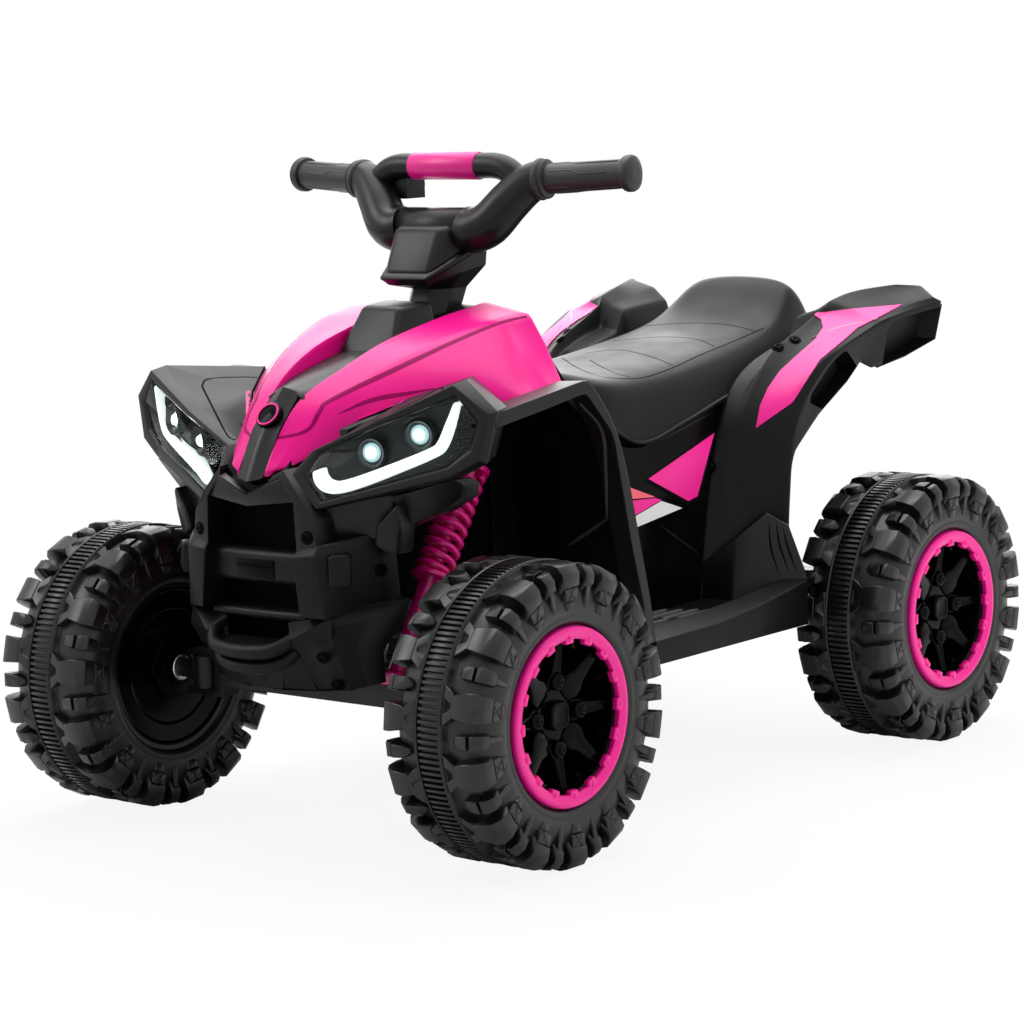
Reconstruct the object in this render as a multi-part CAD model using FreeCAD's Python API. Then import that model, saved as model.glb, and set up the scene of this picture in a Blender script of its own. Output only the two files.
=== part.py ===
"""Kids quad bike: bodywork, wheels, steering, front suspension and drive, one solid per piece.

The front looks along -Y, the rider's left is +X and +Z is up. The origin lies on the ground, midway
between the axles and between the wheels. All lengths are in millimetres.
"""
import FreeCAD
import Part
import math
import os

from FreeCAD import Vector

# Whole vehicle
WHEELBASE = 688.0
TRACK = 528.0
BODY_WIDTH = 500.0
BODY_LENGTH = 1000.0
BODY_HEIGHT = 500.0
WALL = 4.0
FIT_GAP = 0.2
RUN_FIT = 0.06
BODY_GAP = 0.4
OVERRUN = 20.0

# Wheels
TYRE_RADIUS = 150.0
TYRE_WIDTH = 122.0
BEAD_RADIUS = 84.0
TREAD_DEPTH = 10.0
TYRE_WALL = 3.5
LUG_COUNT = 14
LUG_ANGLE = 14.0
CENTRE_BAND_WIDTH = 26.0
CENTRE_BAND_DROP = 2.0
BEAD_SEAT = 50.0
RIM_WALL = 4.0
RIM_FACE_DEPTH = 14.0
RIM_FACE_INSET = 12.0
SPOKE_COUNT = 8
SPOKE_WIDTH = 13.0
HUB_RADIUS = 25.0
HUB_BOSS_RADIUS = 22.0
HUB_BOSS_LENGTH = 12.0
HUB_DISC_THICKNESS = 4.0
RING_WIDTH = 13.0
RING_OVERHANG = 4.0
RING_THICKNESS = 8.0
RING_TAB_COUNT = 16
RING_TAB_WIDTH = 11.0
RING_TAB_REACH = 4.0
AXLE_RADIUS = 6.0
AXLE_END = 30.0
ARCH_GAP = 12.0

# Front axle, knuckles and tie rod
KINGPIN_INSET = 99.0
BEAM_SIDE = 24.0
FORK_LENGTH = 34.0
FORK_PLATE = 6.0
KNUCKLE_RADIUS = 15.0
KNUCKLE_HEIGHT = 34.0
KINGPIN_RADIUS = 5.0
SHOULDER_RADIUS = 10.0
ARM_REACH = 94.0
ARM_WIDTH = 14.0
ARM_THICKNESS = 12.0
LINK_PIN_RADIUS = 4.0
LINK_PIN_PLAY = 1.2
TIE_ROD_THICKNESS = 8.0
TIE_ROD_WIDTH = 50.0
TIE_ROD_END = 13.0
ARM_SLOT_TRAVEL = 6.0
CRANK_SLOT_TRAVEL = 12.0

# Shocks
SHOCK_SPREAD = 100.0
SHOCK_RAKE_DEGREES = 31.8
SHOCK_FOOT_LENGTH = 28.0
SHOCK_FOOT_HEIGHT = 14.0
SHOCK_LOWER_RADIUS = 11.0
SHOCK_SEAT_RADIUS = 22.0
SHOCK_SEAT_THICKNESS = 5.0
SHOCK_ROD_RADIUS = 7.0
SHOCK_BODY_RADIUS = 11.5
SHOCK_LOWER_LENGTH = 106.0
SPRING_LENGTH = 116.0
SHOCK_ROD_REACH = 68.0
SHOCK_BODY_LENGTH = 62.0
SHOCK_EYE_RADIUS = 10.0
SHOCK_TOP_LENGTH = 24.0
SPRING_RADIUS = 17.0
SPRING_WIRE = 6.0
SPRING_TURNS = 8

# Steering
STEER_TILT_DEGREES = 24.0
NECK_Y = -148.0
NECK_Z = 527.0
COLUMN_RADIUS = 8.0
COLUMN_FOOT_Z = 206.0
COLUMN_TOP_Z = 600.0
CRANK_REACH = 51.0
CRANK_WIDTH = 16.0
CRANK_THICKNESS = 8.0
BUSH_WALL = 6.0
NECK_RADIUS = 30.0
NECK_CLEARANCE = 2.0
NECK_LOW_Z = 500.0
HEAD_LOW_Z = 546.0
HEAD_TOP_Z = 618.0
ARM_TUBE_RADIUS = 20.0
CROSSBAR_RADIUS = 13.0
SLEEVE_HALF = 45.0
SLEEVE_WALL = 1.5
COLLAR_RADIUS = 21.0
COLLAR_LENGTH = 10.0
GRIP_SPAN = 108.0
GRIP_SWEEP = 18.0
GRIP_RISE = 4.0
GRIP_RADIUS = 15.0
GRIP_CORE_RADIUS = 11.0
GRIP_FLANGE_RADIUS = 18.5
GRIP_FLANGE_LENGTH = 12.0
THROTTLE_WIDTH = 24.0
THROTTLE_DEPTH = 30.0
THROTTLE_HEIGHT = 28.0
THROTTLE_SIDE = 70.0
THROTTLE_BUTTON_RADIUS = 7.0
THROTTLE_BUTTON_LENGTH = 14.0
THROTTLE_BUTTON_PROUD = 7.0

# Chassis, drive and electrics
TUB_HALF_WIDTH = 114.0
TUB_FRONT_Y = -188.0
TUB_REAR_Y = 322.0
TUB_DROP = 26.0
TUB_DEPTH = 62.0
RAIL_INNER = 54.0
RAIL_WIDTH = 20.0
RAIL_RISE = 70.0
RAIL_DEPTH = 16.0
TOWER_FRONT_Y = -156.0
TOWER_DEPTH = 36.0
CROSS_PLATE_DEPTH = 16.0
CROSS_PLATE_LENGTH = 44.0
LUG_PLATE_THICKNESS = 8.0
LUG_PLATE_REACH = 24.0
GEARBOX_LENGTH = 60.0
GEARBOX_RADIUS = 34.0
GEARBOX_NOSE_RADIUS = 26.0
MOTOR_RADIUS = 18.0
MOTOR_LENGTH = 56.0
MOTOR_FORWARD = 75.0
MOTOR_RISE = 18.0
DRIVE_HUB_RADIUS = 20.0
BATTERY_WIDTH = 90.0
BATTERY_DEPTH = 70.0
BATTERY_HEIGHT = 101.0
BATTERY_Y = 60.0
CONTROL_WIDTH = 76.0
CONTROL_DEPTH = 54.0
CONTROL_HEIGHT = 26.0
CONTROL_Y = -90.0
SOCKET_RADIUS = 9.0
SOCKET_LENGTH = 22.0
SOCKET_FLANGE_RADIUS = 13.0
SOCKET_FLANGE_THICKNESS = 2.5
SOCKET_BORE_RADIUS = 2.9
SOCKET_BORE_LENGTH = 9.0
SWITCH_RADIUS = 10.0
SWITCH_LENGTH = 14.0
SWITCH_THICKNESS = 9.0
SWITCH_SIDE = 38.0

# Bodywork
TRAY_HALF_WIDTH = 240.0
TRAY_RISE = 2.0
TRAY_DEPTH = 25.0
TRAY_TIP_RISE = 24.0
TRAY_FRONT_Y = -100.0
TRAY_KINK_Y = 15.0
TRAY_LEDGE = 26.0
TRAY_LIP = 14.0
TRAY_FLOOR_DROP = 8.0
TRAY_REAR_GAP = 16.0
TRAY_REAR_RAKE = 14.0
TRAY_RIB_COUNT = 6
TRAY_RIB_WIDTH = 7.0
TRAY_RIB_HEIGHT = 4.0
TRIM_THICKNESS = 1.2
LAMP_SWEEP_DEGREES = 20.8
LAMP_NOSE_Y = -443.0
LAMP_DEPTH = 40.0
LENS_THICKNESS = 3.0
BUCKET_WALL = 2.0
PROJECTOR_RADIUS = 13.0
PROJECTOR_LENGTH = 24.0
STRIP_WIDTH = 10.0
STRIP_THICKNESS = 30.0
CHEEK_THICKNESS = 9.0
PILLAR_DEPTH = 40.0
BROW_DEPTH = 34.0
BACK_PLATE_Y = -402.0
BACK_PLATE_HALF = 62.0
BACK_PLATE_THICKNESS = 6.0
BACK_PLATE_LOW_Z = 178.0
BACK_PLATE_TOP_Z = 350.0
BAR_DEPTH = 26.0
BUMPER_WALL = 9.0
BUMPER_BAR_RADIUS = 9.0
BUMPER_TAB_WIDTH = 18.0
SCREW_RADIUS = 5.0
SCREW_HEIGHT = 2.0
SHELF_STUD_RADIUS = 4.0
SHELF_STUD_HEIGHT = 5.0

# Shares of the wheel's own sizes and of the spring's radius
TYRE_SIDE_SHARES = [(0.975, 0.04), (1.0, 0.45), (0.94, 0.80), (0.75, 1.0)]
TYRE_INSET_SHARES = [(1.0, 0.0), (1.0, -0.4), (1.0, -0.8), (1.0, 0.0), (0.9, 0.6), (0.4, 1.0)]
LUG_SHARES = [(0.80, 1.0), (0.985, 0.925), (0.99, 0.80), (0.93, 0.80)]
NARROW_LUG_SHARE = 0.40
SPRING_END_SHARE = 0.55

# Shares of half the body's width, half its length and its height
HEAD_LOW_SHARES = [(0.112, -0.406), (0.184, -0.330), (0.152, -0.200), (-0.152, -0.200), (-0.184, -0.330),
                   (-0.112, -0.406)]
HEAD_TOP_SHARES = [(0.112, -0.338), (0.172, -0.300), (0.160, -0.190), (-0.160, -0.190), (-0.172, -0.300),
                   (-0.112, -0.338)]
ARM_SHARES = [(0.140, -0.300, 1.160), (0.240, -0.290, 1.180), (0.360, -0.262, 1.240), (0.488, -0.234, 1.304)]
CROSSBAR_SHARES = [(0.424, -0.244, 1.296), (0.320, -0.244, 1.330)]
SWITCH_SLOPE_SHARE = 0.40
HOOD_SHARES = [
    [(0.072, -0.874, 0.760), (0.112, -0.866, 0.766), (0.140, -0.856, 0.768), (0.164, -0.842, 0.772)],
    [(0.068, -0.824, 0.840), (0.152, -0.804, 0.836), (0.208, -0.792, 0.824), (0.248, -0.784, 0.804)],
    [(0.076, -0.762, 0.906), (0.208, -0.750, 0.892), (0.312, -0.732, 0.872), (0.392, -0.716, 0.840)],
    [(0.136, -0.680, 0.944), (0.272, -0.674, 0.922), (0.424, -0.656, 0.900), (0.560, -0.636, 0.864)],
    [(0.176, -0.586, 0.978), (0.336, -0.600, 0.950), (0.520, -0.576, 0.924), (0.688, -0.550, 0.872)],
    [(0.184, -0.470, 1.004), (0.424, -0.484, 0.992), (0.600, -0.472, 0.948), (0.752, -0.460, 0.880)],
    [(0.288, -0.370, 1.032), (0.488, -0.390, 1.014), (0.616, -0.384, 0.960), (0.728, -0.376, 0.890)],
    [(0.448, -0.278, 1.050), (0.528, -0.308, 1.026), (0.608, -0.308, 0.964), (0.680, -0.310, 0.896)],
]
TANK_RIDGE_SHARES = [(-0.768, 0.912), (-0.684, 0.956), (-0.592, 0.990), (-0.480, 1.014), (-0.380, 1.040),
                     (-0.280, 1.056)]
DASH_SHARES = [[(0.472, -0.224, 1.010), (0.0, -0.210, 1.030)], [(0.436, -0.106, 0.864), (0.0, -0.100, 0.880)]]
SCOOP_FRONT_SHARES = [(-0.176, -0.530, 0.960), (0.176, -0.530, 0.960), (0.096, -0.458, 1.056),
                      (-0.096, -0.458, 1.056)]
SCOOP_REAR_SHARES = [(-0.176, -0.400, 0.960), (0.176, -0.400, 0.960), (0.130, -0.372, 1.062),
                     (-0.130, -0.372, 1.062)]
NOSE_SHARES = [[(0.068, -0.876, 0.756), (0.0, -0.890, 0.744)], [(0.068, -0.826, 0.842), (0.0, -0.838, 0.846)],
               [(0.076, -0.762, 0.908), (0.0, -0.772, 0.916)]]
POD_FRONT_SHARES = [(0.164, 0.756), (0.304, 0.688), (0.800, 0.748), (0.928, 0.780), (0.968, 0.880),
                    (0.816, 0.940)]
POD_BACK_SHARES = [(0.232, -0.760, 0.836), (0.312, -0.784, 0.692), (0.744, -0.676, 0.744),
                   (0.880, -0.652, 0.788), (0.928, -0.636, 0.884), (0.680, -0.592, 0.932)]
LENS_SHARES = [(0.232, 0.760), (0.320, 0.708), (0.784, 0.780), (0.896, 0.860), (0.824, 0.910),
               (0.512, 0.848)]
LENS_INSIDE_SHARE = 0.93
STRIP_SHARES = [(0.352, 0.722), (0.752, 0.794), (0.836, 0.884)]
PROJECTOR_SHARES = [(0.464, 0.796), (0.664, 0.836)]
CHEEK_SHARES = [(0.296, -0.850, 0.700), (0.760, -0.738, 0.746), (0.620, -0.730, 0.690),
                (0.448, -0.796, 0.616), (0.320, -0.868, 0.600)]
PILLAR_SHARES = [(0.232, -0.872, 0.704), (0.316, -0.866, 0.690), (0.328, -0.876, 0.600),
                 (0.288, -0.886, 0.464), (0.216, -0.882, 0.464)]
UPRIGHT_SHARES = [(0.316, -0.876, 0.604), (0.448, -0.800, 0.622), (0.480, -0.776, 0.490),
                  (0.276, -0.884, 0.464)]
BROW_SHARES = [(0.0, -0.890, 0.712), (0.0, -0.890, 0.676), (0.248, -0.866, 0.690), (0.190, -0.862, 0.752)]
BAR_SHARES = [(0.532, 0.600), (0.458, 0.482)]
WING_SHARES = [[(0.540, -0.764, 0.516), (0.472, -0.740, 0.330)],
               [(0.380, -0.864, 0.484), (0.320, -0.810, 0.318)],
               [(0.200, -0.924, 0.446), (0.170, -0.888, 0.322)]]
CHIN_SHARES = [[(0.230, -0.896, 0.388), (0.0, -0.896, 0.388)], [(0.200, -0.884, 0.322), (0.0, -0.884, 0.322)]]
BUMPER_BAR_SHARES = (0.196, -0.912, 0.416)
BUMPER_TAB_SHARES = (0.340, 0.378)
FENDER_SHARES = [
    [(0.640, -0.670, 0.868), (0.856, -0.690, 0.874), (0.960, -0.696, 0.876), (0.960, -0.692, 0.848)],
    [(0.748, -0.450, 0.882), (0.856, -0.540, 0.892), (0.960, -0.550, 0.896), (0.960, -0.544, 0.868)],
    [(0.696, -0.316, 0.896), (0.856, -0.392, 0.912), (0.960, -0.400, 0.916), (0.960, -0.410, 0.888)],
    [(0.560, -0.224, 0.810), (0.848, -0.292, 0.804), (0.960, -0.296, 0.804), (0.960, -0.324, 0.796)],
    [(0.472, -0.192, 0.580), (0.848, -0.244, 0.576), (0.960, -0.248, 0.576), (0.960, -0.276, 0.572)],
    [(0.464, -0.184, 0.444), (0.848, -0.208, 0.444), (0.960, -0.212, 0.444), (0.960, -0.240, 0.440)],
    [(0.464, -0.180, 0.354), (0.848, -0.196, 0.354), (0.960, -0.200, 0.354), (0.960, -0.228, 0.354)],
]
SIDE_SHARES = [
    [(0.472, -0.170, 0.354), (0.476, -0.170, 0.524), (0.472, -0.174, 0.660), (0.456, -0.178, 0.790)],
    [(0.524, 0.044, 0.354), (0.524, 0.052, 0.524), (0.520, 0.068, 0.650), (0.480, 0.088, 0.724)],
    [(0.524, 0.254, 0.354), (0.524, 0.276, 0.500), (0.532, 0.312, 0.670), (0.508, 0.378, 0.782)],
]
REAR_SHARES = [
    [(0.524, 0.254, 0.354), (0.600, 0.330, 0.358), (0.660, 0.380, 0.360), (0.740, 0.406, 0.362),
     (0.784, 0.400, 0.364), (0.776, 0.416, 0.362)],
    [(0.524, 0.276, 0.500), (0.600, 0.340, 0.516), (0.664, 0.388, 0.524), (0.760, 0.394, 0.524),
     (0.800, 0.392, 0.520), (0.792, 0.410, 0.522)],
    [(0.532, 0.312, 0.670), (0.608, 0.344, 0.680), (0.672, 0.372, 0.700), (0.768, 0.400, 0.690),
     (0.800, 0.408, 0.670), (0.796, 0.424, 0.664)],
    [(0.508, 0.378, 0.782), (0.600, 0.384, 0.770), (0.680, 0.392, 0.770), (0.800, 0.424, 0.780),
     (0.820, 0.440, 0.774), (0.808, 0.524, 0.744)],
    [(0.512, 0.448, 0.856), (0.592, 0.480, 0.860), (0.680, 0.508, 0.864), (0.824, 0.510, 0.862),
     (0.848, 0.542, 0.868), (0.824, 0.630, 0.808)],
    [(0.520, 0.572, 0.890), (0.584, 0.580, 0.900), (0.672, 0.614, 0.910), (0.844, 0.586, 0.894),
     (0.864, 0.602, 0.898), (0.828, 0.678, 0.846)],
    [(0.528, 0.640, 0.904), (0.600, 0.658, 0.956), (0.640, 0.672, 0.928), (0.872, 0.686, 0.930),
     (0.896, 0.710, 0.936), (0.836, 0.716, 0.830)],
    [(0.540, 0.740, 0.916), (0.660, 0.770, 1.000), (0.760, 0.790, 0.980), (0.888, 0.810, 0.966),
     (0.924, 0.824, 0.956), (0.872, 0.840, 0.850)],
    [(0.540, 0.860, 0.924), (0.760, 0.880, 1.008), (0.824, 0.946, 1.002), (0.932, 0.910, 0.976),
     (0.952, 0.930, 0.966), (0.920, 0.922, 0.880)],
]
TRIM_FIRST, TRIM_LAST = 3, 7
TRIM_INNER, TRIM_OUTER = 2, 3
SEAT_SHARES = [
    [(0.280, -0.098, 0.800), (0.236, -0.098, 0.850), (0.0, -0.098, 0.862)],
    [(0.284, -0.090, 0.820), (0.240, -0.092, 0.890), (0.0, -0.094, 0.900)],
    [(0.456, -0.020, 0.772), (0.416, -0.020, 0.872), (0.0, -0.020, 0.886)],
    [(0.476, 0.090, 0.720), (0.424, 0.090, 0.862), (0.0, 0.090, 0.872)],
    [(0.486, 0.240, 0.750), (0.408, 0.240, 0.868), (0.0, 0.240, 0.876)],
    [(0.486, 0.400, 0.790), (0.388, 0.410, 0.888), (0.0, 0.410, 0.894)],
    [(0.448, 0.600, 0.822), (0.360, 0.600, 0.912), (0.0, 0.600, 0.920)],
    [(0.420, 0.710, 0.842), (0.352, 0.710, 0.940), (0.0, 0.710, 0.956)],
    [(0.400, 0.790, 0.860), (0.300, 0.790, 1.004), (0.0, 0.790, 1.022)],
    [(0.380, 0.844, 0.870), (0.280, 0.844, 0.984), (0.0, 0.844, 1.008)],
    [(0.380, 0.858, 0.850), (0.280, 0.858, 0.900), (0.0, 0.858, 0.910)],
]
TAIL_SHARES = [(0.580, 0.864, 0.880), (0.580, 0.904, 0.896), (0.520, 0.880, 0.660), (0.460, 0.836, 0.470),
               (0.400, 0.640, 0.370)]
SOCKET_PLACE_SHARES = (0.120, 0.450)

# Worked-out places
HALF_BASE = WHEELBASE / 2
HALF_TRACK = TRACK / 2
AXLE_Z = TYRE_RADIUS
FRONT_Y = -HALF_BASE
REAR_Y = HALF_BASE
TRAY_LOW_Z = AXLE_Z + TRAY_RISE
TRAY_TOP_Z = TRAY_LOW_Z + TRAY_DEPTH
KINGPIN_X = HALF_TRACK - KINGPIN_INSET
RAKE = math.radians(SHOCK_RAKE_DEGREES)
TILT = math.radians(STEER_TILT_DEGREES)
LAMP_SWEEP = math.radians(LAMP_SWEEP_DEGREES)
X_AXIS = Vector(1, 0, 0)
Y_AXIS = Vector(0, 1, 0)
Z_AXIS = Vector(0, 0, 1)
STEER_AXIS = Vector(0, math.sin(TILT), math.cos(TILT))
SHOCK_AXIS = Vector(0, math.sin(RAKE), math.cos(RAKE))
NECK = Vector(0, NECK_Y, NECK_Z)
SHOCK_FOOT = Vector(SHOCK_SPREAD, FRONT_Y, AXLE_Z + BEAM_SIDE / 2 + SHOCK_FOOT_HEIGHT / 2)
SPRING_LOW = SHOCK_LOWER_LENGTH + SHOCK_SEAT_THICKNESS
SPRING_HIGH = SPRING_LOW + SPRING_LENGTH
SHOCK_EYE = SPRING_HIGH + SHOCK_SEAT_THICKNESS + SHOCK_TOP_LENGTH
RING_OUTER = BEAD_RADIUS + RING_OVERHANG
HUB_FACE = BEAD_SEAT + HUB_BOSS_LENGTH
TUB_LOW_Z = AXLE_Z - TUB_DROP
TUB_TOP_Z = TUB_LOW_Z + TUB_DEPTH
RAIL_LOW_Z = AXLE_Z + RAIL_RISE
RAIL_TOP_Z = RAIL_LOW_Z + RAIL_DEPTH
TIE_ROD_LOW_Z = AXLE_Z + ARM_THICKNESS / 2 + BODY_GAP
GEARBOX_FACE = TUB_HALF_WIDTH + GEARBOX_LENGTH
TRAY_TIP_Y = HALF_BASE - TYRE_RADIUS - TRAY_REAR_GAP


def spot(share):
    """Return the point whose shares of half width, half length and height are given."""
    return Vector(share[0] * BODY_WIDTH / 2, share[1] * BODY_LENGTH / 2, share[2] * BODY_HEIGHT)


def flipped(point):
    """Return the point on the other side of the middle plane."""
    return Vector(-point.x, point.y, point.z)


def mirrored(shape):
    """Return the shape on the other side of the middle plane."""
    return shape.mirror(Vector(0, 0, 0), X_AXIS)


def closed_solid(triangles):
    """Sew triangles of points into one solid with its faces outwards."""
    faces = [Part.Face(Part.makePolygon([a, b, c, a])) for a, b, c in triangles]
    solid = Part.makeSolid(Part.makeShell(faces))
    if solid.Volume < 0:
        solid.reverse()
    return solid


def ring_triangles(low, high):
    """Return the triangles of the band between two closed rows of points."""
    count = len(low)
    found = []
    for i in range(count):
        j = (i + 1) % count
        found.append((low[i], low[j], high[j]))
        found.append((low[i], high[j], high[i]))
    return found


def prism(low, high):
    """Return the solid between two outlines of the same number of points."""
    found = ring_triangles(low, high)
    for i in range(1, len(low) - 1):
        found.append((low[0], low[i + 1], low[i]))
        found.append((high[0], high[i], high[i + 1]))
    return closed_solid(found)


def slab(outline, depth):
    """Return the outline made thick along a vector."""
    return prism(outline, [point + depth for point in outline])


def vertex_normals(grid, toward):
    """Return the unit normal at each point of a grid, on the side that toward looks to."""
    columns, rows = len(grid), len(grid[0])
    sums = [[Vector(0, 0, 0) for _ in range(rows)] for _ in range(columns)]
    total = Vector(0, 0, 0)
    for i in range(columns - 1):
        for j in range(rows - 1):
            corners = [(i, j), (i + 1, j), (i + 1, j + 1), (i, j + 1)]
            a, b, c, d = [grid[m][n] for m, n in corners]
            normal = (c - a).cross(d - b).normalize()
            total += normal
            for m, n in corners:
                sums[m][n] += normal
    sign = 1 if total.dot(toward) > 0 else -1
    return [[Vector(v).normalize() * sign for v in column] for column in sums]


def panel(grid, wall, toward, rise=0.0):
    """Return a sheet moulding that follows a grid of points.

    The outer skin stands above the grid by rise and the inner skin lies below it by wall.
    """
    normals = vertex_normals(grid, toward)
    columns, rows = len(grid), len(grid[0])
    outer = [[grid[i][j] + normals[i][j] * rise for j in range(rows)] for i in range(columns)]
    inner = [[grid[i][j] - normals[i][j] * wall for j in range(rows)] for i in range(columns)]
    found = []
    for skin in (outer, inner):
        for i in range(columns - 1):
            for j in range(rows - 1):
                found.append((skin[i][j], skin[i + 1][j], skin[i + 1][j + 1]))
                found.append((skin[i][j], skin[i + 1][j + 1], skin[i][j + 1]))
    border = [(i, 0) for i in range(columns)] + [(columns - 1, j) for j in range(1, rows)]
    border += [(i, rows - 1) for i in range(columns - 2, -1, -1)] + [(0, j) for j in range(rows - 2, 0, -1)]
    found += ring_triangles([outer[i][j] for i, j in border], [inner[i][j] for i, j in border])
    return closed_solid(found)


def grid_of(shares):
    """Return a grid of points from a table of shares."""
    return [[spot(share) for share in column] for column in shares]


def full_width(shares):
    """Return a grid across both sides from columns that run from the left edge to the middle."""
    grid = []
    for column in shares:
        points = [spot(share) for share in column]
        grid.append(points + [flipped(point) for point in reversed(points[:-1])])
    return grid


def block(x_range, y_range, z_range):
    """Return a box between two values on each axis."""
    size = [high - low for low, high in (x_range, y_range, z_range)]
    return Part.makeBox(*size, Vector(x_range[0], y_range[0], z_range[0]))


def bar(start, end, radius):
    """Return a round bar from point to point."""
    return Part.makeCylinder(radius, (end - start).Length, start, end - start)


def bent_bar(points, radius):
    """Return round bars along points, with balls where they meet."""
    bars = [bar(a, b, radius) for a, b in zip(points, points[1:])]
    balls = [Part.makeSphere(radius, point) for point in points[1:-1]]
    return joined(bars + balls)


def joined(shapes):
    """Return the shapes fused into one."""
    return shapes[0].multiFuse(shapes[1:]).removeSplitter()


def largest(shape):
    """Return the largest solid of a shape."""
    return max(shape.Solids, key=lambda solid: solid.Volume)


def less(shape, *others):
    """Return the largest solid that is left when the others are cut away."""
    near = [other for other in others if shape.BoundBox.intersect(other.BoundBox)]
    return largest(shape.cut(near)) if near else shape


def revolved(profile):
    """Turn a closed profile of (across, radius) pairs about the wheel's axis."""
    points = [Vector(across, 0, radius) for across, radius in profile]
    return Part.Face(Part.makePolygon(points + points[:1])).revolve(Vector(0, 0, 0), X_AXIS, 360)


def turned(shape, degrees):
    """Return a copy turned about the wheel's axis."""
    copy = shape.copy()
    copy.rotate(Vector(0, 0, 0), X_AXIS, degrees)
    return copy


def tyre():
    """Return a hollow tyre with a centre band and two rows of lugs, one of them flat on the ground."""
    half = TYRE_WIDTH / 2
    carcass = TYRE_RADIUS - TREAD_DEPTH
    rise = carcass - RING_OUTER
    outer = [(BEAD_SEAT, BEAD_RADIUS), (BEAD_SEAT, RING_OUTER + FIT_GAP)]
    outer += [(across * half, RING_OUTER + up * rise) for across, up in TYRE_SIDE_SHARES]
    inner = [(point[0] - TYRE_WALL * across, point[1] - TYRE_WALL * up)
             for point, (across, up) in zip(outer, TYRE_INSET_SHARES)]
    profile = outer + [(-across, radius) for across, radius in reversed(outer)]
    profile += [(-across, radius) for across, radius in inner] + list(reversed(inner))
    band = CENTRE_BAND_WIDTH / 2
    ring = revolved([(-band, carcass - TYRE_WALL / 2), (band, carcass - TYRE_WALL / 2),
                     (band, TYRE_RADIUS - CENTRE_BAND_DROP), (-band, TYRE_RADIUS - CENTRE_BAND_DROP)])
    lug_side = [(band, carcass - TYRE_WALL / 2), (band, TYRE_RADIUS)]
    lug_side += [(across * half, up * TYRE_RADIUS) for across, up in LUG_SHARES]
    lugs = []
    for k in range(2 * LUG_COUNT):
        wide = 1.0 if k % 2 == 0 else NARROW_LUG_SHARE
        width = TYRE_RADIUS * math.tan(math.radians(LUG_ANGLE / 2)) * wide
        outline = [Vector(across, -width, -radius) for across, radius in lug_side]
        lug = turned(slab(outline, Vector(0, width * 2, 0)), k * 180.0 / LUG_COUNT)
        lugs += [lug, mirrored(lug)]
    return joined([revolved(profile), ring] + lugs)


def rim(inner_end):
    """Return a wheel centre with the axle's bore, its hub reaching inwards to inner_end.

    It has a barrel, a spoked face, a hub, an inner disc and a six-sided boss.
    """
    radius = BEAD_RADIUS - FIT_GAP
    face = BEAD_SEAT - RIM_FACE_INSET
    barrel = revolved([(-BEAD_SEAT, radius - RIM_WALL), (BEAD_SEAT, radius - RIM_WALL),
                       (BEAD_SEAT, radius), (-BEAD_SEAT, radius)])
    disc = bar(Vector(-BEAD_SEAT, 0, 0), Vector(HUB_DISC_THICKNESS - BEAD_SEAT, 0, 0), radius - RIM_WALL / 2)
    hub = bar(Vector(-BEAD_SEAT, 0, 0), Vector(face, 0, 0), HUB_RADIUS)
    boss = Part.makePolygon([Vector(-HUB_FACE, HUB_BOSS_RADIUS * math.cos(math.radians(60 * k)),
                                    HUB_BOSS_RADIUS * math.sin(math.radians(60 * k))) for k in range(7)])
    pieces = [barrel, disc, hub, Part.Face(boss).extrude(X_AXIS * HUB_BOSS_LENGTH)]
    spoke = block((face - RIM_FACE_DEPTH, face), (-SPOKE_WIDTH / 2, SPOKE_WIDTH / 2),
                  (HUB_RADIUS / 2, radius - RIM_WALL / 2))
    pieces += [turned(spoke, k * 360.0 / SPOKE_COUNT) for k in range(SPOKE_COUNT)]
    pieces.append(bar(Vector(-inner_end, 0, 0), Vector(-BEAD_SEAT, 0, 0), DRIVE_HUB_RADIUS))
    bore = bar(Vector(-inner_end - OVERRUN, 0, 0), Vector(AXLE_END + FIT_GAP, 0, 0), AXLE_RADIUS + RUN_FIT)
    return joined(pieces).cut(bore)


def bead_ring():
    """Return the ring that covers the tyre's bead, with tabs around its inside."""
    inside = RING_OUTER - RING_WIDTH
    ring = revolved([(BEAD_SEAT, inside), (BEAD_SEAT + RING_THICKNESS, inside),
                     (BEAD_SEAT + RING_THICKNESS, RING_OUTER), (BEAD_SEAT, RING_OUTER)])
    tab = block((BEAD_SEAT, BEAD_SEAT + RING_THICKNESS), (-RING_TAB_WIDTH / 2, RING_TAB_WIDTH / 2),
                (inside - RING_TAB_REACH, inside + RING_WIDTH / 2))
    return joined([ring] + [turned(tab, k * 360.0 / RING_TAB_COUNT) for k in range(RING_TAB_COUNT)])


def wheels():
    """Return the tyre, rim and ring of each of the four wheels by node name."""
    drive_end = HALF_TRACK - GEARBOX_FACE - BODY_GAP
    made = {"tyre": tyre(), "bead_ring": bead_ring()}
    found = {}
    for end, y, inner_end in (("front", FRONT_Y, HUB_FACE), ("rear", REAR_Y, drive_end)):
        made["rim"] = rim(inner_end)
        for name, shape in made.items():
            left = shape.translated(Vector(HALF_TRACK, y, AXLE_Z))
            found["%s_%s_left" % (name, end)] = left
            found["%s_%s_right" % (name, end)] = mirrored(left)
    return found


def shock_point(distance):
    """Return the point on the left shock's axis at a distance from its foot."""
    return SHOCK_FOOT + SHOCK_AXIS * distance


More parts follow.
